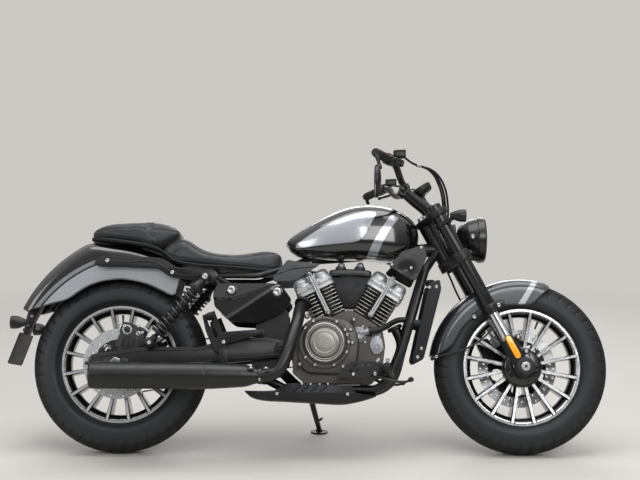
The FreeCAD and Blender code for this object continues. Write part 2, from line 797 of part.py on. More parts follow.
def shocks():
    """Twin dampers with their coil springs, between the swing arm and the fender struts."""
    low, high = spot(shock_low_shares, shock_y), spot(shock_high_shares, shock_y)
    span = high - low
    direction = span * (1 / span.Length)
    out = Vector(direction.z, 0, -direction.x)

    def at(share, radius):
        return low + span * share + out * radius

    step = (spring_high_share - spring_low_share) / spring_turns
    flat = step * spring_gap_share / 2
    edges = []
    seat_low, seat_high = spring_low_share - flat * 2, spring_low_share - flat
    points = [at(0, 0), at(0, rod_radius), at(seat_low, rod_radius), at(seat_low, spring_radius),
              at(seat_high, spring_radius), at(seat_high, damper_radius)]
    for i in range(spring_turns):
        base = spring_low_share + step * i
        points.append(at(base + flat, damper_radius))
        edges += Part.makePolygon(points).Edges
        end = at(base + step - flat, damper_radius)
        edges.append(Part.Arc(points[-1], at(base + step / 2, spring_radius), end).toShape())
        points = [end]
    cup_low, cup_high = spring_high_share + flat, spring_high_share + flat * 3
    points += [at(cup_low, damper_radius), at(cup_low, spring_radius), at(cup_high, spring_radius),
               at(cup_high, damper_radius), at(neck_share, neck_radius), at(1, neck_radius), at(1, 0),
               at(0, 0)]
    edges += Part.makePolygon(points).Edges
    body = Part.Face(Part.Wire(edges)).revolve(low, direction, 360)
    eyes = [cross_rod(place_at, shock_y - shock_eye_half, shock_y + shock_eye_half, shock_eye_radius)
            for place_at in (low, high)]
    return both_sides(fused([body] + eyes))


strut_inner = 122.0
strut_outer = 130.0
strut_shares = [(-0.5591, 0.9493), (-0.5551, 0.9813), (-0.504, 0.9947), (-0.3984, 0.968),
                (-0.332, 0.9387), (-0.2497, 0.912), (-0.2457, 0.8667), (-0.2656, 0.848),
                (-0.3453, 0.8853), (-0.4117, 0.92), (-0.5046, 0.9493)]
strut_bolt_shares = [(-0.5246, 0.968), (-0.3984, 0.9413), (-0.342, 0.912)]


def fender_struts():
    """The bars that carry the rear fender and the shocks' upper ends."""
    bar = plate(strut_shares, strut_inner, strut_outer, rail_radius)
    stud = cross_rod(spot(shock_high_shares), strut_inner, shock_y - shock_eye_half - fit_gap, shock_stud)
    bosses = [cross_rod(spot(shares), rear_fender_half + fit_gap, strut_inner + overrun, shock_stud)
              for shares in strut_bolt_shares]
    return both_sides(fused([bar, stud] + bosses))


rear_fender_half = 95.0
rear_fender_wall = 4.0
rear_fender_centre_shares = (-0.415, 0.392)
rear_fender_radius = 562.0
rear_fender_from = 73.0
rear_fender_to = 154.0
rear_skirt_radius = 250.0
rear_opening_shares = [(-0.996, 0.9333), (-0.7264, 0.704), (-0.6972, 0.7307), (-0.6355, 0.736),
                       (-0.6009, 0.7893), (-0.5631, 0.8467), (-0.5179, 0.8693), (-0.4761, 0.872),
                       (-0.413, 0.8173), (-0.3705, 0.7733), (-0.1992, 0.6667), (-0.1992, 0.0),
                       (-0.996, 0.0)]
rear_front_cut_shares = [(-0.579, 1.0747), (-0.5312, 1.052), (-0.4648, 1.0387), (-0.3984, 0.9933),
                         (-0.3519, 0.9453), (-0.3254, 0.7467), (-0.1992, 0.6667), (-0.1992, 1.6),
                         (-0.579, 1.6)]


def rear_fender():
    """A deep-skirted fender round an eccentric centre, cut along its lower edge."""
    centre = spot(rear_fender_centre_shares)
    profile = fender_profile(rear_fender_radius, rear_fender_half, rear_skirt_radius, rear_fender_wall)
    shell = turned(profile, centre, across, rear_fender_from - rear_fender_to, quarter_turn - rear_fender_from)
    shell = shell.cut(plate(rear_opening_shares, -cover_width, cover_width, run_fit))
    return shell.cut(plate(rear_front_cut_shares, -cover_width, cover_width, run_fit))


# Engine

crank_shares = (0.0651, 0.504)
front_cylinder_deg = 31.6
rear_cylinder_deg = -26.2
case_half = 110.0
case_top = 140.0
barrel_radius = 50.0
barrel_top = 255.0
fin_half_length = 66.0
fin_half_width = 72.0
fin_thickness = 4.0
fin_count = 8
fin_corner = 16.0
head_half_length = 70.0
head_half_width = 68.0
head_top = 284.0
lobe_at = 300.0
lobe_radius = 30.0
lobe_half_width = 62.0
tappet_radius = 6.0
tappet_gap = 2.0
tappet_eye_share = 1.5
case_low_shares = [(-0.0697, 0.4), (-0.0398, 0.3493), (0.1262, 0.3493), (0.1501, 0.4067), (0.158, 0.5333)]
case_back_shares = (-0.0664, 0.5867)
engine_foot_shares = (-0.025, 0.10)
sprocket_shares = (-0.0498, 0.5133)


def cylinder_frame(angle):
    turn = math.radians(angle)
    return Vector(math.sin(turn), 0, math.cos(turn)), Vector(math.cos(turn), 0, -math.sin(turn))


def cylinder_point(angle, along, out, y=0.0):
    """A place by its distance from the crank along a cylinder, out to its front, and across."""
    up, ahead = cylinder_frame(angle)
    return spot(crank_shares, y) + up * along + ahead * out


def cylinder_block(angle, low, high, half_length, half_width, corner):
    """A block with rounded corners that stands on a cylinder's axis."""
    corners = [(-1, -1), (1, -1), (1, 1), (-1, 1)]
    points = [cylinder_point(angle, low, a * half_length, b * half_width) for a, b in corners]
    return slab(points, cylinder_frame(angle)[0] * (high - low), corner)


def engine_case():
    """The crankcase, with a slanted deck under each cylinder."""
    points = [spot(shares, -case_half) for shares in case_low_shares]
    for angle in (front_cylinder_deg, rear_cylinder_deg):
        for out in (fin_half_length, -fin_half_length):
            points.append(cylinder_point(angle, case_top, out, -case_half))
    points.append(spot(case_back_shares, -case_half))
    block = Part.Face(Part.makePolygon(points + points[:1])).extrude(across * case_half * 2)
    pocket = front_pulley_radius + belt_wall + disc_clear
    y_low = belt_inner - disc_clear
    block = block.cut(cross_rod(spot(sprocket_shares), y_low, case_half + overrun, pocket))
    behind = spot(sprocket_shares) - forward * pocket * 2
    room = Part.makeBox(pocket * 2, case_half, pocket * 3, Vector(behind.x, y_low, behind.z - pocket * 2))
    block = block.cut(room)
    shaft = cross_rod(spot(sprocket_shares), y_low - overrun, belt_inner - fit_gap, shock_stud)
    rail = place(down_shares[6])
    low, high = rail.z + down_radius + fit_gap, spot(case_low_shares[1]).z + overrun
    feet = []
    for share in engine_foot_shares:
        corner = Vector(share * wheelbase, rail.y - pad_size / 2, low)
        feet.append(Part.makeBox(pad_size, pad_size, high - low, corner))
    return fused([block, shaft] + feet + [mirrored(foot) for foot in feet])


def barrel(angle):
    body = rod(cylinder_point(angle, case_top + fit_gap, 0), cylinder_point(angle, barrel_top, 0), barrel_radius)
    pitch = (barrel_top - case_top) / fin_count
    fins = []
    for i in range(fin_count):
        low = case_top + pitch * (i + 0.5) - fin_thickness / 2
        high = low + fin_thickness
        fins.append(cylinder_block(angle, low, high, fin_half_length, fin_half_width, fin_corner))
    return fused([body] + fins)


def cylinders():
    return Part.makeCompound([barrel(front_cylinder_deg), barrel(rear_cylinder_deg)])


def cylinder_head(angle):
    """A head with a round cover over each camshaft, and a push-rod tube down each side."""
    low = barrel_top + fit_gap
    pieces = [cylinder_block(angle, low, head_top, head_half_length, head_half_width, fin_corner)]
    out = head_half_length - lobe_radius
    for side in (-1, 1):
        pieces.append(rod(cylinder_point(angle, lobe_at, side * out, -lobe_half_width),
                          cylinder_point(angle, lobe_at, side * out, lobe_half_width), lobe_radius))
        y = side * (fin_half_width + tappet_gap + tappet_radius)
        eye = tappet_radius * tappet_eye_share
        foot, top = cylinder_point(angle, case_top + fit_gap, 0, y), cylinder_point(angle, lobe_at, 0, y)
        level = head_top - eye
        pieces.append(rod(foot, top, tappet_radius))
        pieces.append(rod(cylinder_point(angle, level, 0), cylinder_point(angle, level, 0, y), eye))
    return fused(pieces)


def cylinder_heads():
    return Part.makeCompound([cylinder_head(front_cylinder_deg), cylinder_head(rear_cylinder_deg)])


intake_half = 46.0
intake_low = 262.0
intake_high = 296.0
dome_radius = 13.0
dome_along_shares = (0.28, 0.72)
dome_across_share = 0.7


def intake():
    """The intake block in the vee, with its two throttle domes."""
    out = head_half_length + fit_gap
    corners = [(rear_cylinder_deg, intake_low, out), (rear_cylinder_deg, intake_high, out),
               (front_cylinder_deg, intake_high, -out), (front_cylinder_deg, intake_low, -out)]
    points = [cylinder_point(angle, along, side, -intake_half) for angle, along, side in corners]
    block = Part.Face(Part.makePolygon(points + points[:1])).extrude(across * intake_half * 2)
    domes = []
    for share in dome_along_shares:
        at = points[1] + (points[2] - points[1]) * share
        domes += [Part.makeSphere(dome_radius, Vector(at.x, side * intake_half * dome_across_share, at.z))
                  for side in (-1, 1)]
    return fused([block] + domes)


clutch_shares = (0.0086, 0.5467)
clutch_radius = 97.0
clutch_step = 24.0
clutch_stack_shares = [(1.0, 0.25), (0.81, 0.54), (0.68, 1.0)]
pump_shares = (0.0996, 0.588)
pump_radius = 25.0
pump_step = 18.0
right_cover_shares = [(-0.0551, 0.44), (-0.0332, 0.3947), (0.0611, 0.3893), (0.0876, 0.4293),
                      (0.0943, 0.5067), (0.093, 0.5867), (0.0744, 0.6587), (0.0199, 0.6747),
                      (-0.0266, 0.6587), (-0.0551, 0.6)]
cover_step = 30.0
left_cover_shares = [(-0.0744, 0.44), (-0.0531, 0.4), (0.0199, 0.3867), (0.0996, 0.4), (0.1182, 0.4667),
                     (0.1182, 0.56), (0.0863, 0.6133), (-0.0531, 0.6067), (-0.0744, 0.5733)]
alternator_radius = 74.0
alternator_step = 14.0


def engine_covers():
    """The stepped clutch cover with the water pump on the right, and the generator's cover on the left."""
    face = case_half + fit_gap
    outer = face + cover_step
    discs = [cross_rod(spot(clutch_shares), -outer - clutch_step * rise, -outer + overrun, clutch_radius * wide)
             for wide, rise in clutch_stack_shares]
    pump = cross_rod(spot(pump_shares), -face - pump_step, -face, pump_radius)
    right = fused([plate(right_cover_shares, -outer, -face, fin_corner), pump] + discs)
    left = fused([plate(left_cover_shares, face, outer, fin_corner),
                  cross_rod(spot(crank_shares), outer, outer + alternator_step, alternator_radius)])
    return Part.makeCompound([right, left])


pipe_radius = 22.0
pipe_bend = 70.0
pipe_y = -235.0
rear_pipe_shares = [(-0.0691, -0.32, 0.7267), (-0.0531, -0.46, 0.664), (-0.0644, -0.6167, 0.5867),
                    (-0.077, -0.6933, 0.5267), (-0.0996, -0.77, 0.424)]
front_pipe_shares = [(0.2112, -0.14, 0.6667), (0.1886, -0.14, 0.44), (0.1687, -0.14, 0.3493),
                     (0.1301, -0.14, 0.3147), (-0.0412, -0.14, 0.3147), (-0.0744, -0.22, 0.3707),
                     (-0.0916, -0.4, 0.3987), (-0.1036, -0.6333, 0.396)]
port_reach = 26.0
port_y = -42.0
front_pipe_share = 0.85


def exhaust_port(angle, side):
    along = (barrel_top + lobe_at) / 2
    start = head_half_length + fit_gap
    return [cylinder_point(angle, along, side * out, port_y) for out in (start, start + port_reach)]


def exhaust_pipes():
    """Header pipes from both heads to the muffler's mouth."""
    mouth = [spot(muffler_mouth_shares, pipe_y) + forward * reach for reach in (port_reach, fit_gap)]
    rear = exhaust_port(rear_cylinder_deg, -1) + [place(shares) for shares in rear_pipe_shares] + mouth
    front = exhaust_port(front_cylinder_deg, 1) + [place(shares) for shares in front_pipe_shares] + mouth
    return fused([tube(rear, pipe_radius, pipe_bend), tube(front, pipe_radius * front_pipe_share, pipe_bend)])


muffler_radius = 48.5
muffler_mouth_shares = (-0.1448, 0.3773)
muffler_length = 612.0
drum_profile_shares = [(0.0, 0.42), (0.0, 0.86), (0.02, 1.0), (0.68, 1.0), (0.89, 0.85), (1.0, 0.52),
                       (1.0, 0.0), (0.06, 0.0), (0.06, 0.42)]


def muffler():
    """The silencer: a drum with a stepped front cone and a short outlet."""
    end = spot(muffler_mouth_shares, pipe_y) - forward * muffler_length
    up = Vector(0, 0, muffler_radius)
    points = [end + forward * muffler_length * along + up * share for along, share in drum_profile_shares]
    return Part.Face(Part.makePolygon(points + points[:1])).revolve(end, forward, 360)


radiator_shares = [(0.2324, 0.4507), (0.2258, 0.4693), (0.2683, 0.8533), (0.2948, 0.8667),
                   (0.2975, 0.816), (0.2523, 0.4693)]
radiator_half = 108.0
radiator_guard = 10.0
radiator_lug = 12.0
slat_count = 9
slat_gap_share = 0.62
slat_depth = 6.0


def radiator():
    """The radiator in its surround with a slatted front, held to the down tubes by lugs."""
    block = plate(radiator_shares, -radiator_half, radiator_half, radiator_guard)
    inner = radiator_half - radiator_guard
    foot, head = spot(radiator_shares[5], -inner), spot(radiator_shares[4], -inner)
    run = head - foot
    back = Vector(-run.z, 0, run.x)
    back.normalize()
    for i in range(slat_count):
        low = foot + run * ((i + (1 - slat_gap_share) / 2) / slat_count)
        high = low + run * (slat_gap_share / slat_count)
        corners = [low - back * overrun, high - back * overrun]
        corners += [high + back * slat_depth, low + back * slat_depth]
        block = block.cut(Part.Face(Part.makePolygon(corners + corners[:1])).extrude(across * inner * 2))
    at = place(down_shares[2])
    lug = rod(at, at + forward * radiator_lug * 4, radiator_lug)
    lug = saddled(lug, down_shares, down_radius)
    return fused([block, lug, mirrored(lug)])


# Tank, seat and covers

tank_half = 138.0
tank_square_share = 0.72
tank_lift_share = 0.38
tank_station_shares = [(-0.0863, 1.056, 1.0747, 0.14), (-0.0544, 1.024, 1.124, 0.50),
                       (0.0219, 0.9747, 1.2133, 0.86), (0.091, 0.972, 1.2533, 1.0),
                       (0.1633, 0.9787, 1.252, 0.95), (0.2012, 0.9947, 1.224, 0.80),
                       (0.2317, 1.024, 1.1547, 0.55), (0.247, 1.0533, 1.096, 0.25)]
tank_pad_shares = (0.22, 0.62)
pad_size = 26.0
tunnel_half = 42.0
tunnel_clear = 10.0
filler_shares = (0.1129, 1.2507)
filler_radius = 34.0
filler_height = 14.0


def fuel_tank():
    """A teardrop tank over the backbone, with its tunnel and a round filler."""
    body = lofted(tank_station_shares, tank_square_share, tank_half, tank_lift_share)
    foot = spot(filler_shares) - Vector(0, 0, filler_height * 2)
    cap = Part.makeCylinder(filler_radius, filler_height * 3, foot)
    body = fused([body, cap])
    body = body.cut(tank_tunnel())
    front, back = spine_ends()
    run = front - back
    up = Vector(-run.z, 0, run.x)
    up.normalize()
    pads = []
    for share in tank_pad_shares:
        foot = back + run * share + up * (backbone_radius / 2)
        pads.append(Part.makeCylinder(pad_size / 2, backbone_radius / 2 + tunnel_clear + overrun, foot, up))
    return fused([body] + [pad.cut(rod(back, front, backbone_radius + fit_gap)) for pad in pads])


def tank_tunnel():
    """The channel under the tank, a little over the backbone that runs through it."""
    front, back = spine_ends()
    over = Vector(0, 0, backbone_radius + tunnel_clear)
    run = front - back
    tops = [front + run + over, back - run + over]
    points = [top - across * tunnel_half for top in tops]
    points += [Vector(point.x, point.y, 0) for point in reversed(points)]
    return Part.Face(Part.makePolygon(points + points[:1])).extrude(across * tunnel_half * 2)


seat_half = 152.0
seat_square_share = 0.62
seat_station_shares = [(-0.5863, 1.08, 1.0987, 0.30), (-0.5724, 1.076, 1.1333, 0.52),
                       (-0.5312, 1.0587, 1.152, 0.66), (-0.4648, 1.0427, 1.1573, 0.72),
                       (-0.3984, 0.9973, 1.1547, 0.76), (-0.3519, 0.9493, 1.1173, 0.84),
                       (-0.3101, 0.9333, 1.048, 0.95), (-0.2656, 0.92, 1.0027, 1.0),
                       (-0.2072, 0.9067, 0.9987, 0.96), (-0.1514, 0.8987, 1.0227, 0.78),
                       (-0.1182, 0.8987, 1.0293, 0.62), (-0.0996, 0.912, 1.0027, 0.50)]
seat_pad_shares = (0.1, 0.8)


def seat():
    body = lofted(seat_station_shares, seat_square_share, seat_half)
    pads = []
    for share in seat_pad_shares:
        start = place(seat_rail_shares[3]) * share + place(seat_rail_shares[2]) * (1 - share)
        pads.append(Part.makeCylinder(pad_size / 2, pad_size * 2, start))
    body = fused([body] + pads + [mirrored(pad) for pad in pads])
    rail = tube([place(shares) for shares in seat_rail_shares], rail_radius + fit_gap, frame_bend)
    spine = rod(*spine_ends(), backbone_radius + fit_gap)
    return body.cut(rail).cut(mirrored(rail)).cut(spine)


side_cover_shares = [(-0.2656, 0.836), (-0.0837, 0.8333), (-0.0618, 0.788), (-0.0757, 0.6653),
                     (-0.1441, 0.6147), (-0.2317, 0.6333), (-0.2676, 0.752)]
side_cover_inner = 138.0
side_cover_outer = 150.0
frame_cover_shares = [(-0.1202, 0.8973), (-0.093, 0.9973), (-0.0398, 0.98), (-0.0086, 0.944),
                      (-0.0531, 0.8973)]
front_cover_shares = [(0.174, 0.9347), (0.1992, 1.0027), (0.2543, 1.0387), (0.2623, 0.976),
                      (0.2404, 0.8533)]
frame_cover_outer = 126.0
cover_wall = 5.0


def body_covers():
    """Side covers under the seat and the frame's corner covers, left and right."""
    side = plate(side_cover_shares, side_cover_inner, side_cover_outer, fin_corner)
    stud = cross_rod(place(rear_rail_shares[1]), place(rear_rail_shares[1]).y + rail_radius + fit_gap,
                     side_cover_inner + cover_wall, rail_radius)
    side = fused([side, stud])
    at = place(seat_rail_shares[1])
    inner = frame_cover_outer - cover_wall
    rear = fused([plate(frame_cover_shares, inner, frame_cover_outer, rail_radius),
                  saddled(cross_rod(at, at.y, frame_cover_outer, rail_radius), seat_rail_shares, rail_radius)])
    at = place(down_shares[1]) - forward * down_radius
    front = fused([plate(front_cover_shares, inner, frame_cover_outer, rail_radius),
                   saddled(cross_rod(at, at.y, frame_cover_outer, rail_radius), down_shares, down_radius)])
    return Part.makeCompound([side, mirrored(side), rear, mirrored(rear), front, mirrored(front)])


pan_half = 150.0
pan_wall = 4.0
pan_shares = [(-0.1859, 0.308), (-0.166, 0.2747), (-0.0498, 0.2613), (0.0598, 0.248), (0.1009, 0.264),
              (0.1361, 0.2853), (0.0837, 0.2987), (0.071, 0.364), (-0.0744, 0.372), (-0.1228, 0.3093)]
pan_lug = 14.0
pan_slot_share = 0.2827
pan_lug_shares = (-0.03, 0.08)
louvre_shares = [(-0.0684, 0.3093), (-0.0525, 0.3413), (-0.0471, 0.3413), (-0.0631, 0.3093)]
louvre_pitch = 33.0
louvre_count = 4
louvre_depth = 2.0


def belly_pan():
    body = plate(pan_shares, -pan_half, pan_half, pan_lug)
    lift = Vector(0, 0, pan_wall)
    points = [spot(shares, -pan_half + pan_wall) + lift for shares in pan_shares]
    points = points[:6] + [points[5] + Vector(0, 0, pan_half), points[0] + Vector(0, 0, pan_half)]
    room = Part.Face(Part.makePolygon(points + points[:1])).extrude(across * (pan_half - pan_wall) * 2)
    body = body.cut(room)
    pivot = place(stand_pivot_shares)
    rail = place(down_shares[6])
    corner = Vector(pivot.x - pan_half / 4, rail.y, pan_slot_share * seat_height)
    body = body.cut(Part.makeBox(pan_half / 2, pan_half, pan_half, corner))
    for i in range(louvre_count):
        groove = plate(louvre_shares, pan_half - louvre_depth, pan_half + overrun, run_fit)
        groove.translate(forward * louvre_pitch * i)
        body = body.cut(groove).cut(mirrored(groove))
    lugs = []
    for share in pan_lug_shares:
        x = share * wheelbase
        low = spot(pan_shares[3]).z + pan_wall / 2
        high = rail.z - down_radius - fit_gap
        for side in (-1, 1):
            foot = Vector(x, side * rail.y, low + pan_wall)
            lugs.append(Part.makeCylinder(pan_lug, high - low - pan_wall, foot))
    return fused([body] + lugs)


# Feet, lamps and small parts

peg_plate_inner = 172.0
peg_plate_outer = 178.0
peg_plate_shares = [(0.0412, 0.3787), (0.0744, 0.4533), (0.1262, 0.456), (0.1647, 0.44),
                    (0.174, 0.3893), (0.1594, 0.3787), (0.1195, 0.4)]
peg_shares = (0.1567, 0.424)
peg_radius = 16.0
peg_length = 92.0
peg_standoff = 12.0
peg_plate_corner = 8.4
peg_hole_shares = [(0.0823, 0.4333), (0.0989, 0.4333), (0.1155, 0.4333), (0.0717, 0.408),
                   (0.0883, 0.408), (0.1049, 0.4107)]
peg_hole_radius = 6.0
pax_plate_inner = 148.0
pax_plate_outer = 156.0
pax_plate_shares = [(-0.2922, 0.6667), (-0.2815, 0.704), (-0.2643, 0.696), (-0.2364, 0.5947),
                    (-0.156, 0.6093), (-0.1361, 0.6093), (-0.1361, 0.5787), (-0.2191, 0.5267),
                    (-0.2291, 0.488), (-0.259, 0.4907)]
pax_peg_shares = (-0.2689, 0.6667)
pax_stud_shares = (-0.1474, 0.5947)
pax_stud_radius = 9.0
pax_peg_share = 0.8


def footpegs():
    """Rider's and passenger's pegs on their brackets."""
    foot = place(down_shares[4])
    board = plate(peg_plate_shares, peg_plate_inner, peg_plate_outer, peg_plate_corner)
    low, high = peg_plate_inner - overrun, peg_plate_outer + overrun
    for shares in peg_hole_shares:
        board = board.cut(cross_rod(spot(shares), low, high, peg_hole_radius))
    side = fused([board,
                  saddled(cross_rod(foot, foot.y, peg_plate_outer, peg_standoff), down_shares, down_radius),
                  cross_rod(spot(peg_shares), peg_plate_inner, peg_plate_outer + peg_length, peg_radius)])
    pax_end = pax_plate_outer + peg_length * pax_peg_share
    rear = fused([plate(pax_plate_shares, pax_plate_inner, pax_plate_outer, peg_plate_corner),
                  cross_rod(spot(pax_stud_shares), plate_outer + fit_gap, pax_plate_outer, pax_stud_radius),
                  cross_rod(spot(pax_peg_shares), pax_plate_inner, pax_end, rail_radius)])
    return Part.makeCompound([side, mirrored(side), rear, mirrored(rear)])


lever_plate = 8.0
lever_boss = 13.0
lever_bush_share = 1.4
lever_shares = [(0.1222, 0.4), (0.1262, 0.3787), (0.1992, 0.344), (0.2231, 0.3547), (0.2231, 0.376),
                (0.2005, 0.3653), (0.1368, 0.4027)]
lever_pivot_shares = (0.1301, 0.392)
lever_pad_shares = (0.2151, 0.3653)
lever_pad_radius = 9.5
lever_pad_length = 42.0


def foot_levers():
    """Brake pedal on the right and shift lever on the left."""
    low = peg_plate_outer + fit_gap
    arm = plate(lever_shares, low, low + lever_plate, lever_plate)
    bush = cross_rod(spot(lever_pivot_shares), low, low + lever_plate * lever_bush_share, lever_boss)
    pad = cross_rod(spot(lever_pad_shares), low + lever_plate / 4, low + lever_pad_length, lever_pad_radius)
    return both_sides(fused([arm, bush, pad]))


rear_caliper_shares = (-0.4648, 0.6)
rear_caliper_deg = 20.0
caliper_mount_shares = [(-0.5046, 0.4693), (-0.4582, 0.4693), (-0.4349, 0.5733), (-0.4582, 0.6267),
                        (-0.4947, 0.6)]


def rear_caliper():
    centre = spot(rear_caliper_shares)
    disc_low = rear_disc_y - disc_thickness
    y_low = disc_low + disc_thickness / 2 - caliper_width / 2
    body = caliper_block(centre, y_low, rear_caliper_deg, disc_low, rear_axle_at, rear_disc_radius)
    inner = arm_y - arm_thickness / 2 - fit_gap
    mount = plate(caliper_mount_shares, -inner, -inner + disc_clear * 2, caliper_lug)
    return fused([body, mount])


def drive_belt():
    """A toothed belt's loop round its front pulley, open round the wheel's pulley."""
    rear_inner = rear_pulley_radius + belt_clearance
    outer = belt_loop(front_pulley_radius + belt_wall, rear_inner + belt_wall, 0)
    inner = belt_loop(front_pulley_radius, rear_inner, overrun)
    toothed_radius = front_pulley_radius + belt_wall / 2
    hub = cross_rod(spot(sprocket_shares), belt_inner, belt_inner + belt_width, toothed_radius)
    return fused([outer.cut(inner), hub])


def belt_loop(front, rear, over):
    """A band round two circles, along their outer tangents."""
    a, b = spot(sprocket_shares), rear_axle_at
    y_low, y_high = belt_inner - over, belt_inner + belt_width + over
    span = Vector(a.x - b.x, 0, a.z - b.z)
    base = math.atan2(span.z, span.x)
    lean_out = math.acos((rear - front) / span.Length)
    points = []
    for centre, radius in ((a, front), (b, rear)):
        for side in (1, -1):
            turn = base + side * lean_out
            way = Vector(math.cos(turn), 0, math.sin(turn))
            points.append(Vector(centre.x, y_low, centre.z) + way * radius)
    quad = [points[0], points[1], points[3], points[2]]
    body = Part.Face(Part.makePolygon(quad + quad[:1])).extrude(across * (y_high - y_low))
    return fused([body, cross_rod(a, y_low, y_high, front), cross_rod(b, y_low, y_high, rear)])


plate_top_shares = (-0.745, 0.5947)
plate_bottom_shares = (-0.7722, 0.44)
plate_half = 100.0
plate_thickness = 5.0
bracket_shares = [(-0.7397, 0.6933), (-0.749, 0.5947), (-0.7384, 0.5867), (-0.7251, 0.6667),
                  (-0.7078, 0.7307), (-0.6972, 0.7667)]
bracket_top_deg = (142.0, 146.0)
crown_dip = 3.1
bracket_half = 28.0
lamp_bar_shares = (-0.7331, 0.6347)
rear_signal_y = 172.0
rear_lens_share = 0.55


def plate_bracket():
    """The tail bracket with the blank number plate on it."""
    top, bottom = spot(plate_top_shares, -plate_half), spot(plate_bottom_shares, -plate_half)
    back = Vector(top.z - bottom.z, 0, bottom.x - top.x)
    back.normalize()
    corners = [top, bottom, bottom - back * plate_thickness, top - back * plate_thickness]
    board = Part.Face(Part.makePolygon(corners + corners[:1])).extrude(across * plate_half * 2)
    reach = rear_fender_radius - rear_fender_wall - crown_dip - fit_gap
    points = [spot(shares, -bracket_half) for shares in bracket_shares]
    for angle in bracket_top_deg:
        turn = math.radians(angle)
        way = Vector(math.cos(turn), 0, math.sin(turn))
        points.append(spot(rear_fender_centre_shares, -bracket_half) + way * reach)
    arm = slab(points, across * bracket_half * 2, plate_thickness)
    return fused([board, arm])


def rear_lamps():
    bar_at = spot(lamp_bar_shares)
    lens = bar_at - forward * signal_length * rear_lens_share + across * rear_signal_y
    pieces = signal(lens, lens + forward * signal_length)
    stalk = cross_rod(bar_at, bracket_half + fit_gap, rear_signal_y, signal_stalk)
    return both_sides(fused(pieces + [stalk]))


# Side stand, worked out from its pivot and the ground that the leaned machine stands on

stand_pivot_shares = (-0.0299, 0.5933, 0.3147)
stand_foot_y = 330.0
stand_ahead = 40.0
stand_radius = 11.0
stand_sole = 34.0
stand_sole_thickness = 8.0
stand_boss = 15.0
stand_boss_length = 28.0
stand_pin = 6.0
stand_ear = 7.0
stand_fold_deg = 88.0
stand_fold_shares = (-0.975, 0.13, -0.18)
stand_cap_share = 1.6
ground_up = Vector(0, -math.sin(lean), math.cos(lean))


def stand_places():
    """The pivot, the middle of the sole on the ground, and the hinge axis across both of the leg's ends."""
    pivot = place(stand_pivot_shares)
    sole = Vector(pivot.x + stand_ahead, stand_foot_y, stand_foot_y * math.tan(lean))
    down = sole - pivot
    fold = Vector(*stand_fold_shares)
    axis = down.cross(fold)
    axis.normalize()
    return pivot, sole, axis


def side_stand():
    pivot, sole, axis = stand_places()
    top = sole + ground_up * stand_sole_thickness
    leg = rod(pivot, top + ground_up * stand_radius / 2, stand_radius)
    foot = Part.makeCylinder(stand_sole, stand_sole_thickness, sole, ground_up)
    boss = Part.makeCylinder(stand_boss, stand_boss_length, pivot - axis * stand_boss_length / 2, axis)
    whole = fused([leg, foot, boss])
    reach = axis * stand_boss_length
    return whole.cut(rod(pivot - reach, pivot + reach, stand_pin + run_fit))


def stand_bracket():
    """The arm from the left lower rail that carries the stand's ear and pin."""
    pivot, sole, axis = stand_places()
    half = stand_boss_length / 2 + run_fit * 4
    rail = place(down_shares[6])
    ear_at = pivot - axis * (half + stand_ear / 2)
    low, high = pivot - axis * (half + stand_ear), pivot - axis * half
    pin = rod(low, pivot + axis * (half + stand_ear), stand_pin)
    cap = rod(pivot + axis * half, pivot + axis * (half + stand_ear), stand_pin * stand_cap_share)
    arm = rod(Vector(pivot.x, rail.y, rail.z), ear_at - axis * stand_ear, stand_ear)
    return fused([rod(low, high, stand_boss), pin, cap, arm])


# The whole machine, leaned onto its stand

makers = [frame, swingarm, shocks, rear_axle, engine_case, engine_covers, cylinders, cylinder_heads,
          intake, exhaust_pipes, muffler, radiator, fuel_tank, seat, rear_fender, fender_struts,
          rear_lamps, plate_bracket, body_covers, belly_pan, footpegs, foot_levers, rear_caliper,
          drive_belt, triple_clamps, fork_legs, handlebar, grips, controls, mirrors, instrument,
          headlight, front_signals, front_fender, front_axle, front_caliper, cables, front_tyre,
          front_rim, front_disc, rear_tyre, rear_rim, rear_disc, rear_pulley, side_stand]


def main():
    os.makedirs("parts", exist_ok=True)
    shapes = {}
    for maker in makers:
        shapes[maker.__name__] = maker()
    for shape in shapes.values():
        shape.rotate(Vector(0, 0, 0), forward, -lean_deg)
    boxes = [shape.optimalBoundingBox(False, False) for shape in shapes.values()]
    low = [min(getattr(box, side) for box in boxes) for side in ("XMin", "YMin", "ZMin")]
    high = [max(getattr(box, side) for box in boxes) for side in ("XMax", "YMax", "ZMax")]
    shift = Vector(-(low[0] + high[0]) / 2, -(low[1] + high[1]) / 2, -low[2])
    for name, shape in shapes.items():
        shape.translate(shift)
        shape.exportStep("parts/" + name + ".step")
        print(name, len(shape.Solids), round(shape.Volume / 1000.0, 1), shape.isValid())
    print("size", [round(b - a, 1) for a, b in zip(low, high)], "shift", shift)
    return shapes, shift


built, origin_shift = main()
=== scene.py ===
import json
import math

import bmesh
import bpy
import numpy as np
from mathutils import Euler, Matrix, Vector
from mathutils.bvhtree import BVHTree


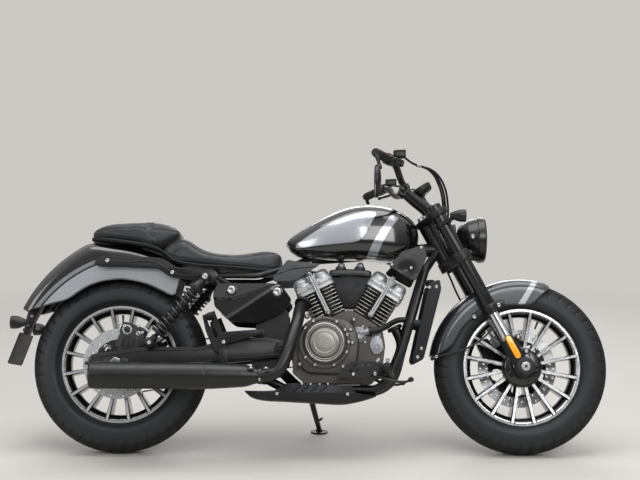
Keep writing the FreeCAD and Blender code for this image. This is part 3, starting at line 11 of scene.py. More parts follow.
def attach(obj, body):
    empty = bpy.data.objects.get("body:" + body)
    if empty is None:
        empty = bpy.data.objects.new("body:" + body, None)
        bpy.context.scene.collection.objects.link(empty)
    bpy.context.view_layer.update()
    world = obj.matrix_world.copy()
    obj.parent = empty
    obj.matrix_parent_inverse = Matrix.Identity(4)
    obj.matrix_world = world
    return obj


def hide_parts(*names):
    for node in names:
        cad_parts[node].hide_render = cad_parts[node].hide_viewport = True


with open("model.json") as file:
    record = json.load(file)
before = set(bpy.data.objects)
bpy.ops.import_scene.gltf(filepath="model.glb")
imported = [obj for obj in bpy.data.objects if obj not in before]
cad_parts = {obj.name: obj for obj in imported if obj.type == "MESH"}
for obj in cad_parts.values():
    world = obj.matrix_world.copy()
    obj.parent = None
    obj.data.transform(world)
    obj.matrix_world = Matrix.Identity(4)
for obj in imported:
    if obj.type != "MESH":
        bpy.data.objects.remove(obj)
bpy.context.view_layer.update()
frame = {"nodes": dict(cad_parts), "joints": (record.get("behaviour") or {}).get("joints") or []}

# Every piece is worked out in millimetres on the upright machine: x ahead of the middle of the wheelbase,
# y to the rider's left, z up from the ground line. toFrame then leans it onto the side stand.

print("stage: places from the frame")
jointOf = {joint["name"]: joint for joint in frame["joints"]}
frontAxlePos = np.array(jointOf["front_wheel_spin"]["pos_m"])
rearAxlePos = np.array(jointOf["rear_wheel_spin"]["pos_m"])
axleWay = np.array(jointOf["front_wheel_spin"]["axis"])
headWay = np.array(jointOf["steering_head"]["axis"])
lean = math.asin(-axleWay[2])
alongWay = np.array([1.0, 0.0, 0.0])
upWay = np.array([0.0, math.sin(lean), math.cos(lean)])
metre = 1000.0
wheelbase = (frontAxlePos[0] - rearAxlePos[0]) * metre
machine = {"frontRadius": 325.0, "frontWidth": 130.0, "rearRadius": 329.0, "rearWidth": 150.0,
           "axleLead": 6.5}


def axleHeight(radius, width):
    # the tyre's round shoulder of half its width stands on the ground at the lean
    return radius - width / 2 + width / 2 / math.cos(lean)


frontAxle = np.array([wheelbase / 2, 0.0, axleHeight(machine["frontRadius"], machine["frontWidth"])])
rearAxle = np.array([-wheelbase / 2, 0.0, axleHeight(machine["rearRadius"], machine["rearWidth"])])
groundPoint = frontAxlePos - (alongWay * frontAxle[0] + upWay * frontAxle[2]) / metre
rake = math.atan2(-headWay[0], float(headWay @ upWay))
forkUp = np.array([-math.sin(rake), 0.0, math.cos(rake)])
forkAhead = np.array([math.cos(rake), 0.0, math.sin(rake)])
xAxis, yAxis, zAxis = np.eye(3)


def toFrame(points):
    # upright millimetres to the leaning frame in metres
    points = np.asarray(points, float)
    return (groundPoint + (points[..., :1] * alongWay + points[..., 1:2] * axleWay + points[..., 2:] * upWay)
            / metre)


def unit(vectors):
    # each vector divided by its own length
    vectors = np.asarray(vectors, float)
    return vectors / np.maximum(np.linalg.norm(vectors, axis=-1, keepdims=True), 1e-12)


def spline(xs, ys, at):
    # natural cubic spline: the second slopes solve a three-banded system, then each span is a cubic
    xs, ys, at = (np.asarray(values, float) for values in (xs, ys, at))
    gaps = np.diff(xs)
    count = len(xs)
    matrix = np.eye(count)
    middle = np.arange(1, count - 1)
    matrix[middle, middle - 1] = gaps[:-1]
    matrix[middle, middle] = 2 * (gaps[:-1] + gaps[1:])
    matrix[middle, middle + 1] = gaps[1:]
    flat = ys.reshape(count, -1)
    rises = np.diff(flat, axis=0) / gaps[:, None]
    sides = np.zeros_like(flat)
    sides[1:-1] = 6 * np.diff(rises, axis=0)
    bends = np.linalg.solve(matrix, sides)
    span = np.clip(np.searchsorted(xs, at) - 1, 0, count - 2)
    a = ((xs[span + 1] - at) / gaps[span])[:, None]
    b = 1 - a
    scale = (gaps[span] ** 2 / 6)[:, None]
    values = a * flat[span] + b * flat[span + 1]
    values = values + ((a ** 3 - a) * bends[span] + (b ** 3 - b) * bends[span + 1]) * scale
    return values.reshape((len(at),) + ys.shape[1:])


def curveThrough(points, count):
    # the cubic spline through a list of points, by distance along it
    points = np.asarray(points, float)
    steps = np.concatenate([[0], np.cumsum(np.linalg.norm(np.diff(points, axis=0), axis=1))])
    return spline(steps, points, np.linspace(0, steps[-1], count))


def rounded(points, radius, steps=5):
    # each corner is replaced by a quadratic arc that starts and ends one radius from it
    points = np.asarray(points, float)
    before, after = np.roll(points, 1, axis=0), np.roll(points, -1, axis=0)
    reachIn = np.minimum(radius, np.linalg.norm(before - points, axis=1) * 0.48)[:, None]
    reachOut = np.minimum(radius, np.linalg.norm(after - points, axis=1) * 0.48)[:, None]
    start = points + unit(before - points) * reachIn
    end = points + unit(after - points) * reachOut
    t = np.linspace(0, 1, steps)[None, :, None]
    arcs = start[:, None] * (1 - t) ** 2 + points[:, None] * 2 * t * (1 - t) + end[:, None] * t ** 2
    return arcs.reshape(-1, points.shape[1])


# Meshes: a pile gathers grids and joins them into one piece

class Pile:
    def __init__(self):
        self.points, self.faces, self.kinds, self.total = [], [], [], 0

    def grid(self, surface, kind=0, around=False, ends=False):
        # rows by columns of points; around joins the last column to the first, ends closes first and last row
        rows, columns = surface.shape[:2]
        number = np.arange(rows * columns).reshape(rows, columns)
        if around:
            number = np.concatenate([number, number[:, :1]], axis=1)
        quads = np.stack([number[:-1, :-1], number[:-1, 1:], number[1:, 1:], number[1:, :-1]], axis=-1)
        self.add(surface.reshape(-1, 3), quads.reshape(-1, 4).tolist(), kind)
        if ends:
            base = self.total - rows * columns
            first = (np.arange(columns) + base)[::-1].tolist()
            last = (np.arange(columns) + base + (rows - 1) * columns).tolist()
            self.faces += [first, last]
            self.kinds += [kind, kind]
        return self

    def add(self, points, faces, kind):
        self.points.append(np.asarray(points, float))
        self.faces += [[index + self.total for index in face] for face in faces]
        self.kinds += [kind] * len(faces)
        self.total += len(points)

    def copies(self, source, matrices, places, kind=None):
        # the source pile repeated: each copy is turned by its matrix and moved to its place
        points = np.concatenate(source.points)
        turned = np.einsum("nij,pj->npi", np.asarray(matrices, float), points) + np.asarray(places)[:, None]
        for block in turned:
            base = self.total
            self.points.append(block)
            self.faces += [[index + base for index in face] for face in source.faces]
            self.kinds += source.kinds if kind is None else [kind] * len(source.faces)
            self.total += len(block)
        return self


def makePiece(name, pile, body, materials, replaces, smooth=40.0, closed=True, values=None):
    # a mesh of the pile's grids in the frame's place, with faces outwards and crisp edges past the smooth
    # angle
    mesh = bpy.data.meshes.new(name)
    mesh.from_pydata(toFrame(np.concatenate(pile.points)).tolist(), [], pile.faces)
    mesh.polygons.foreach_set("material_index", np.array(pile.kinds, np.int32))
    for material in materials:
        mesh.materials.append(material)
    for label, field in (values or {}).items():
        attribute = mesh.attributes.new(label, "FLOAT", "POINT")
        attribute.data.foreach_set("value", np.asarray(field, np.float32).ravel())
    work = bmesh.new()
    work.from_mesh(mesh)
    bmesh.ops.remove_doubles(work, verts=work.verts, dist=2e-6)
    bmesh.ops.dissolve_degenerate(work, edges=work.edges, dist=1e-7)
    if closed:
        bmesh.ops.recalc_face_normals(work, faces=work.faces)
    work.to_mesh(mesh)
    work.free()
    mesh.polygons.foreach_set("use_smooth", np.ones(len(mesh.polygons), bool))
    mesh.set_sharp_from_angle(angle=math.radians(smooth))
    piece = bpy.data.objects.new(name, mesh)
    bpy.context.scene.collection.objects.link(piece)
    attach(piece, body)
    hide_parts(*replaces)
    return piece


def revolved(profile, centre, way, steps):
    # (along, radius) points carried round a line: p = c + w a + r (u cos t + v sin t)
    profile = np.asarray(profile, float)
    way = unit(way)
    side = unit(np.cross(way, [0.3, 0.2, 0.9]))   # any direction but the way itself
    other = np.cross(way, side)
    turn = np.radians(360.0 * np.arange(steps) / steps)
    circle = side * np.cos(turn)[:, None] + other * np.sin(turn)[:, None]
    return np.asarray(centre) + way * profile[None, :, :1] + circle[:, None] * profile[None, :, 1:]


def addTurned(pile, profile, centre, way, steps=64, kind=0):
    # a closed turned body: the profile starts and ends on the axis
    grid = revolved(profile, centre, way, steps)
    pile.grid(np.concatenate([grid, grid[:1]]), kind)
    return pile


def softProfile(profile, radius, steps=3):
    # the corners of an open profile rounded, its two ends kept
    profile = np.asarray(profile, float)
    inner = rounded(profile, radius, steps)
    return np.concatenate([profile[:1], inner[steps:-steps], profile[-1:]])


def addSoft(pile, profile, radius, centre, way, steps=64, kind=0):
    # a closed turned body with the corners of its profile rounded
    return addTurned(pile, softProfile(profile, radius), centre, way, steps, kind)


def tubeGrid(path, radius, sides=16, reference=(0.0, 0.0, 1.0)):
    # a circle carried along a path, its plane square to the path's own direction
    path = np.asarray(path, float)
    way = unit(np.gradient(path, axis=0))
    side = unit(np.cross(way, reference))
    other = np.cross(way, side)
    turn = np.linspace(0, 2 * np.pi, sides, endpoint=False)
    radius = np.broadcast_to(np.asarray(radius, float), (len(path),))[:, None, None]
    circle = side[:, None] * np.cos(turn)[None, :, None] + other[:, None] * np.sin(turn)[None, :, None]
    return path[:, None] + circle * radius


def addTube(pile, path, radius, sides=16, kind=0, reference=(0.0, 0.0, 1.0)):
    return pile.grid(tubeGrid(path, radius, sides, reference), kind, around=True, ends=True)


def offsetOutline(outline, distance):
    # a closed outline moved inwards along the mean normal of its two runs
    way = unit(np.roll(outline, -1, axis=0) - np.roll(outline, 1, axis=0))
    normal = np.stack([way[:, 1], -way[:, 0]], axis=1)
    area = np.sum(outline[:, 0] * np.roll(outline[:, 1], -1) - np.roll(outline[:, 0], -1) * outline[:, 1])
    return outline - normal * distance * np.sign(area)


def addPlate(pile, outline, yLow, yHigh, corner=6.0, edge=1.5, kind=0, steps=4):
    # a flat plate in side view with rounded corners and eased edges, between two places across
    outline = rounded(np.asarray(outline, float), corner, steps)
    inner = offsetOutline(outline, edge)
    half = offsetOutline(outline, edge * 0.3)
    rings = [(inner, yLow), (half, yLow + edge * 0.3), (outline, yLow + edge), (outline, yHigh - edge),
             (half, yHigh - edge * 0.3), (inner, yHigh)]
    grid = np.stack([np.stack([ring[:, 0], np.full(len(ring), y), ring[:, 1]], axis=1) for ring, y in rings])
    return pile.grid(grid, kind, around=True, ends=True)


def addBolts(pile, places, way, radius, height, kind=0, sides=18, socket=0.45):
    # domed bolt heads with a hollow socket, one turned profile repeated at every place
    profile = softProfile([(0, 0), (0, radius), (height * 0.55, radius), (height, radius * 0.72),
                           (height, radius * socket), (height * 0.4, radius * socket * 0.9),
                           (height * 0.4, 0)], radius * 0.2)
    source = Pile()
    addTurned(source, profile, (0, 0, 0), way, sides)
    places = np.atleast_2d(np.asarray(places, float))
    return pile.copies(source, np.tile(np.eye(3), (len(places), 1, 1)), places, kind)


def inside(outline, x, z):
    # signed distance to a closed outline in side view, positive inside it
    a = np.asarray(outline, float)
    b = np.roll(a, -1, axis=0)
    px, pz = np.ravel(x)[:, None], np.ravel(z)[:, None]
    run = b - a
    ahead = (px - a[:, 0]) * run[:, 0] + (pz - a[:, 1]) * run[:, 1]
    share = np.clip(ahead / np.maximum((run ** 2).sum(axis=1), 1e-9), 0, 1)
    gap = np.hypot(px - a[:, 0] - share * run[:, 0], pz - a[:, 1] - share * run[:, 1]).min(axis=1)
    crosses = ((a[:, 1] > pz) != (b[:, 1] > pz))
    rise = np.where(np.abs(run[:, 1]) < 1e-9, 1e-9, run[:, 1])
    odd = (crosses & (px < a[:, 0] + (pz - a[:, 1]) * run[:, 0] / rise)).sum(axis=1) % 2
    return np.where(odd == 1, gap, -gap)


def forkPoint(along, ahead=0.0, y=0.0):
    # up the fork from the axle, ahead of the legs' plane, and across
    return frontAxle + forkAhead * (ahead - machine["axleLead"]) + forkUp * along + yAxis * y


print("stage: camera, floor and light")
view = {"place": (0.0388, -4.5153, 1.130), "pitch": 4.31, "roll": 0.30, "focal": 1167.0, "imageWidth": 640.0,
        "sensor": 36.0}
studio = {"floorSize": 60.0, "floorColour": "#c9c6c1", "backColour": "#cbc9c4", "ambient": 0.46,
          "fadeFrom": 1.9, "fadeTo": 6.0,
          "glossFrom": 0.02, "glossTo": 0.8, "glossLow": 0.10, "glossHigh": 0.95}
lamps = [  # name, place, target, width, height, watts
    ("overhead", (0.1, -0.5, 4.2), (0.0, -0.1, 0.5), 4.6, 2.6, 125.0),
    ("keySide", (1.6, -4.2, 2.9), (0.1, 0.0, 0.5), 3.2, 1.6, 86.0),
    ("fillSide", (-3.6, -3.0, 1.9), (-0.2, 0.0, 0.5), 2.0, 1.8, 44.0),
    ("farSide", (0.6, 4.4, 2.8), (0.0, 0.0, 0.5), 3.6, 1.6, 80.0),
]


def linear(hexColour):
    # sRGB hex to linear: the two-part sRGB curve on each channel
    channels = np.array([int(hexColour[i:i + 2], 16) for i in (1, 3, 5)]) / 255
    curve = np.where(channels <= 0.04045, channels / 12.92, ((channels + 0.055) / 1.055) ** 2.4)
    return (*curve.tolist(), 1.0)


def addNode(tree, kind, inputs=None, **settings):
    # a node with its settings, each named input filled with a value or linked from a socket
    made = tree.nodes.new("ShaderNode" + kind)
    for label, value in settings.items():
        setattr(made, label, value)
    for label, value in (inputs or {}).items():
        if isinstance(value, bpy.types.NodeSocket):
            tree.links.new(value, made.inputs[label])
        else:
            made.inputs[label].default_value = value
    return made


def makeStudio():
    camera = bpy.data.cameras.new("photoCamera")
    camera.sensor_width = view["sensor"]
    camera.lens = view["focal"] / view["imageWidth"] * view["sensor"]
    holder = bpy.data.objects.new("photoCamera", camera)
    bpy.context.scene.collection.objects.link(holder)
    pitch = Euler((math.radians(90 - view["pitch"]), 0, 0)).to_matrix()
    roll = Euler((0, 0, math.radians(view["roll"]))).to_matrix()
    holder.matrix_world = (pitch @ roll).to_4x4()
    holder.location = view["place"]
    bpy.context.scene.camera = holder

    for name, place, target, width, height, watts in lamps:
        lamp = bpy.data.lights.new(name, "AREA")
        lamp.shape = "RECTANGLE"
        lamp.size, lamp.size_y, lamp.energy = width, height, watts
        stand = bpy.data.objects.new(name, lamp)
        stand.location = place
        stand.rotation_euler = (Vector(target) - Vector(place)).to_track_quat("-Z", "Y").to_euler()
        bpy.context.scene.collection.objects.link(stand)

    half = studio["floorSize"] / 2
    mesh = bpy.data.meshes.new("floor")
    mesh.from_pydata([(-half, -half, 0), (half, -half, 0), (half, half, 0), (-half, half, 0)], [],
                     [(0, 1, 2, 3)])
    floor = bpy.data.objects.new("floor", mesh)
    bpy.context.scene.collection.objects.link(floor)
    concrete = bpy.data.materials.new("sealed concrete floor")  # pale, even and nearly matt
    concrete.use_nodes = True
    tree = concrete.node_tree
    shader = tree.nodes["Principled BSDF"]
    shader.inputs["Base Color"].default_value = linear(studio["floorColour"])
    shader.inputs["Roughness"].default_value = 0.75
    shader.inputs["Specular IOR Level"].default_value = 0.2
    # far from the machine the floor runs into the backdrop's own colour
    place = addNode(tree, "TexCoord")
    away = addNode(tree, "VectorMath", {0: place.outputs["Object"]}, operation="LENGTH")
    fade = addNode(tree, "MapRange", {0: away.outputs["Value"], 1: studio["fadeFrom"], 2: studio["fadeTo"]},
                   interpolation_type="SMOOTHSTEP")
    glow = addNode(tree, "Emission", {"Color": linear(studio["backColour"])})
    blend = addNode(tree, "MixShader", {0: fade.outputs[0], 1: shader.outputs[0], 2: glow.outputs[0]})
    tree.links.new(blend.outputs[0], tree.nodes["Material Output"].inputs[0])
    mesh.materials.append(concrete)

    world = bpy.data.worlds.new("paleStudio")
    bpy.context.scene.world = world
    world.use_nodes = True
    tree = world.node_tree
    tree.nodes.clear()
    path = addNode(tree, "LightPath")
    seen = addNode(tree, "Math", {0: path.outputs["Is Camera Ray"], 1: path.outputs["Is Transmission Ray"]},
                   operation="MAXIMUM")
    light = addNode(tree, "Background", {"Color": (1, 1, 1, 1), "Strength": studio["ambient"]})
    back = addNode(tree, "Background", {"Color": linear(studio["backColour"]), "Strength": 1.0})
    # mirrored surroundings: dim at eye height and bright overhead, as in a hall with a lit ceiling
    sight = addNode(tree, "TexCoord")
    split = addNode(tree, "SeparateXYZ", {0: sight.outputs["Generated"]})
    climb = addNode(tree, "MapRange", {0: split.outputs["Z"], 1: studio["glossFrom"], 2: studio["glossTo"],
                                       3: studio["glossLow"], 4: studio["glossHigh"]},
                    interpolation_type="SMOOTHSTEP")
    ceiling = addNode(tree, "Background", {"Color": (1, 1, 1, 1), "Strength": climb.outputs[0]})
    lit = addNode(tree, "MixShader", {0: path.outputs["Is Glossy Ray"], 1: light.outputs[0],
                                      2: ceiling.outputs[0]})
    mix = addNode(tree, "MixShader", {0: seen.outputs[0], 1: lit.outputs[0], 2: back.outputs[0]})
    addNode(tree, "OutputWorld", {"Surface": mix.outputs[0]})
    bpy.context.scene.view_settings.view_transform = "Standard"


makeStudio()

print("stage: materials")


def uprightPlace(tree):
    # object coordinates turned back to the upright machine, in metres
    place = addNode(tree, "TexCoord")
    back = addNode(tree, "Mapping", {"Vector": place.outputs["Object"], "Rotation": (lean, 0, 0)})
    return back.outputs[0]


def newMaterial(name, sockets):
    material = bpy.data.materials.new(name)
    material.use_nodes = True
    tree = material.node_tree
    shader = tree.nodes["Principled BSDF"]
    for label, value in sockets.items():
        shader.inputs[label].default_value = value
    return material, tree, shader


def finish(name, shades, rough, patch=60.0, grain=1.2, depth=0.02, stretch=(1, 1, 1), **sockets):
    # two close shades in patches, roughness that drifts, and a fine relief: sizes and depth in millimetres
    material, tree, shader = newMaterial(name, {label.replace("_", " "): value for label,
                                                value in sockets.items()})
    place = uprightPlace(tree)
    large = addNode(tree, "TexNoise", {"Vector": place, "Scale": metre / patch, "Detail": 3.0})
    colour = addNode(tree, "Mix", {0: large.outputs["Fac"], 6: linear(shades[0]), 7: linear(shades[1])},
                     data_type="RGBA")
    tree.links.new(colour.outputs[2], shader.inputs["Base Color"])
    drift = addNode(tree, "TexNoise", {"Vector": place, "Scale": metre / patch * 2.7, "Detail": 4.0})
    roughSpan = addNode(tree, "MapRange", {0: drift.outputs["Fac"], 1: 0.3, 2: 0.7, 3: rough[0], 4: rough[1]})
    tree.links.new(roughSpan.outputs[0], shader.inputs["Roughness"])
    spread = addNode(tree, "Mapping", {"Vector": place, "Scale": stretch})
    fine = addNode(tree, "TexNoise", {"Vector": spread.outputs[0], "Scale": metre / grain, "Detail": 2.0})
    relief = addNode(tree, "Bump", {"Height": fine.outputs["Fac"], "Distance": depth / metre,
                                    "Strength": 1.0})
    tree.links.new(relief.outputs[0], shader.inputs["Normal"])
    return material


def fieldPaint(name, ground, layers, rough, grain, depth, **sockets):
    # sprayed paint in fields: each layer shows where its distance attribute is positive
    material, tree, shader = newMaterial(name, {label.replace("_", " "): value for label,
                                                value in sockets.items()})
    place = uprightPlace(tree)
    cloud = addNode(tree, "TexNoise", {"Vector": place, "Scale": metre / 90.0, "Detail": 2.0})
    flake = addNode(tree, "TexNoise", {"Vector": place, "Scale": metre / 1.0, "Detail": 1.0})
    colour, metal = linear(ground[0]), ground[1]
    for label, shades, metallic in layers:
        field = addNode(tree, "Attribute", attribute_name=label)
        edge = addNode(tree, "MapRange", {0: field.outputs["Fac"], 1: -0.35, 2: 0.35, 3: 0.0, 4: 1.0})
        shade = addNode(tree, "Mix", {0: cloud.outputs["Fac"], 6: linear(shades[0]), 7: linear(shades[1])},
                        data_type="RGBA")
        blend = addNode(tree, "Mix", {0: edge.outputs[0], 6: colour, 7: shade.outputs[2]}, data_type="RGBA")
        lift = addNode(tree, "Mix", {0: edge.outputs[0], 2: metal, 3: metallic})
        colour, metal = blend.outputs[2], lift.outputs[0]
    tree.links.new(colour, shader.inputs["Base Color"])
    tree.links.new(metal, shader.inputs["Metallic"])
    shine = addNode(tree, "MapRange", {0: flake.outputs["Fac"], 1: 0.3, 2: 0.7, 3: rough[0], 4: rough[1]})
    tree.links.new(shine.outputs[0], shader.inputs["Roughness"])
    peel = addNode(tree, "TexNoise", {"Vector": place, "Scale": metre / grain, "Detail": 1.0})
    relief = addNode(tree, "Bump", {"Height": peel.outputs["Fac"], "Distance": depth / metre,
                                    "Strength": 1.0})
    tree.links.new(relief.outputs[0], shader.inputs["Normal"])
    return material


# satin powder coat on frame tubes and brackets: a soft sheen and a fine pebbled relief
powderBlack = finish("satin black powder coat", ("#0b0c0e", "#121316"), (0.30, 0.42), 70, 1.6, 0.02,
                     Specular_IOR_Level=0.4)
# black die-cast aluminium, painted: duller, with a coarser cast skin
castBlack = finish("painted black die casting", ("#0f1012", "#16171a"), (0.36, 0.50), 45, 2.2, 0.04,
                   Specular_IOR_Level=0.4)
# moulded black polypropylene: a spark-eroded grain that scatters the light
mouldedBlack = finish("grained black polypropylene", ("#111215", "#181a1e"), (0.46, 0.60), 80, 1.3, 0.05,
                      Specular_IOR_Level=0.35)
# gloss black ABS covers: a clean moulded shine, slightly wavy
absGloss = finish("gloss black ABS", ("#08080a", "#0d0e10"), (0.10, 0.16), 110, 18.0, 0.02, Coat_Weight=0.6,
                  Coat_Roughness=0.05)
# anodised fork tube: dark, even and smooth with faint lines along the leg
anodisedBlack = finish("black anodised fork tube", ("#0a0b0d", "#0f1013"), (0.22, 0.32), 60, 1.2, 0.006)
# heat-proof exhaust enamel: flat black that greys where light grazes it
exhaustBlack = finish("heat-proof black enamel", ("#0a0b0c", "#101113"), (0.30, 0.40), 120, 1.4, 0.015,
                      Specular_IOR_Level=0.45)
# hard chromed slider tube
hardChrome = finish("hard chrome slider", ("#c9cbce", "#d8dadd"), (0.06, 0.12), 60, 3.0, 0.002, Metallic=1.0)
# zinc plated and polished fasteners
brightBolt = finish("polished zinc bolt", ("#a2a3a4", "#bcbdbe"), (0.22, 0.34), 15, 1.0, 0.01, Metallic=1.0)
# machined rim faces: turned bright aluminium under clear lacquer
machinedFace = finish("diamond turned aluminium", ("#d6d8da", "#eceded"), (0.18, 0.28), 40, 0.9, 0.006,
                      Metallic=1.0, Coat_Weight=0.4, Coat_Roughness=0.08)
# wheel's black gloss powder coat
rimBlack = finish("gloss black wheel paint", ("#0a0a0b", "#101113"), (0.18, 0.28), 60, 3.0, 0.01,
                  Coat_Weight=0.5, Coat_Roughness=0.08)
# sand-cast heads painted in satin silver: a bright, slightly grainy skin
silverCasting = finish("satin silver casting", ("#a6a8aa", "#bcbebf"), (0.34, 0.48), 40, 1.8, 0.05,
                       Metallic=0.55)
# cylinder fins in black enamel
finBlack = finish("black enamelled fins", ("#0a0a0b", "#101112"), (0.38, 0.50), 40, 1.6, 0.03,
                  Specular_IOR_Level=0.35)
# fin edges milled back to bare aluminium
finEdge = finish("milled fin edge", ("#7b7771", "#96918a"), (0.28, 0.42), 18, 0.8, 0.01, Metallic=0.9)
# engine cases in magnesium-coloured paint: warm bronze grey with a satin glow
bronzeCase = finish("bronze grey case paint", ("#403f3c", "#4e4c48"), (0.32, 0.44), 50, 1.8, 0.03,
                    Metallic=0.4)
# the clutch cover's lid, brushed and lacquered in the same tone
bronzeLid = finish("bronze grey brushed lid", ("#84817b", "#96938d"), (0.28, 0.36), 50, 1.4, 0.003,
                   Metallic=0.6)
# raw aluminium castings such as the throttle bodies and the water pump
rawCasting = finish("raw aluminium casting", ("#7d7e80", "#97989a"), (0.36, 0.50), 30, 1.5, 0.05,
                    Metallic=0.8)
# ground brake steel
groundSteel = finish("ground brake steel", ("#b4b6b8", "#cfd1d2"), (0.26, 0.38), 25, 0.8, 0.006,
                     Metallic=0.75)
# hot-wound spring wire, black enamelled
springBlack = finish("black spring enamel", ("#0c0c0e", "#141517"), (0.20, 0.30), 40, 2.0, 0.01,
                     Coat_Weight=0.4)
# extruded cable sheath and rubber hose
sheathBlack = finish("black cable sheath", ("#0a0a0b", "#111214"), (0.36, 0.48), 30, 1.0, 0.01,
                    Specular_IOR_Level=0.35)
# moulded rubber: grips, peg pads and boots
softRubber = finish("moulded black rubber", ("#0e0e10", "#161618"), (0.52, 0.66), 30, 1.2, 0.05,
                    Specular_IOR_Level=0.35)
# plate steel number board, painted white and left blank
blankPlate = finish("blank white plate", ("#d9dad8", "#e4e4e2"), (0.34, 0.42), 60, 3.0, 0.01)
# amber acrylic reflector: its moulded corner cubes break the light in small cells; a faint emission paints a
# glow on it though it is no lamp
amberPaintedGlow = finish("amber acrylic reflector", ("#f29a00", "#ffae10"), (0.20, 0.30), 8, 2.2, 0.20,
                        Coat_Weight=1.0, Coat_Roughness=0.04, Emission_Color=linear("#ff9d00"),
                        Emission_Strength=0.12)
# red polycarbonate of the kill switch and the tail lens
redPlastic = finish("red polycarbonate", ("#b3121a", "#c8202a"), (0.18, 0.26), 12, 2.5, 0.05, Coat_Weight=0.8,
                    Coat_Roughness=0.05)
# silvered mirror and lamp reflector
mirrorSilver = finish("mirror silver", ("#e6e8ea", "#eff0f1"), (0.02, 0.04), 80, 20.0, 0.001, Metallic=1.0)
# water-clear polycarbonate over the lamps, with faint flutes
lensClear = finish("clear polycarbonate lens", ("#f4f6f8", "#ffffff"), (0.04, 0.08), 30, 6.0, 0.02,
                   Coat_Weight=1.0, Coat_Roughness=0.03, Transmission_Weight=0.85, IOR=1.58)
# dial face printed matt grey
dialGrey = finish("printed dial face", ("#26282b", "#2e3033"), (0.40, 0.50), 20, 1.0, 0.01)


def tyreRubber():
    # vulcanised carbon-black rubber: dull tread, a faint sheen and fine mould rings on the walls
    material, tree, shader = newMaterial("vulcanised tyre rubber", {"Specular IOR Level": 0.38})
    place = uprightPlace(tree)
    wall = addNode(tree, "Attribute", attribute_name="wall")
    dust = addNode(tree, "TexNoise", {"Vector": place, "Scale": metre / 26.0, "Detail": 5.0})
    tread = addNode(tree, "Mix", {0: dust.outputs["Fac"], 6: linear("#111112"), 7: linear("#1a1a1b")},
                    data_type="RGBA")
    side = addNode(tree, "Mix", {0: dust.outputs["Fac"], 6: linear("#181a1c"), 7: linear("#202326")},
                   data_type="RGBA")
    colour = addNode(tree, "Mix", {0: wall.outputs["Fac"], 6: tread.outputs[2], 7: side.outputs[2]},
                     data_type="RGBA")
    tree.links.new(colour.outputs[2], shader.inputs["Base Color"])
    dull = addNode(tree, "MapRange", {0: wall.outputs["Fac"], 3: 0.80, 4: 0.50})
    tree.links.new(dull.outputs[0], shader.inputs["Roughness"])
    skin = addNode(tree, "TexNoise", {"Vector": place, "Scale": metre / 1.4, "Detail": 3.0})
    relief = addNode(tree, "Bump", {"Height": skin.outputs["Fac"], "Distance": 0.05 / metre, "Strength": 1.0})
    tree.links.new(relief.outputs[0], shader.inputs["Normal"])
    return material


tyreMaterial = tyreRubber()

print("stage: tyres and wheels")
tyreShape = {"seatRadius": 218.0, "columns": 540, "blocks": 45, "grooveDepth": 4.5, "grooveShare": 0.20,
             "slant": 0.9, "centreGroove": 0.16, "innerRadius": 205.5, "beadHalf": 40.5,
             "footHalf": (52.0, 47.6)}


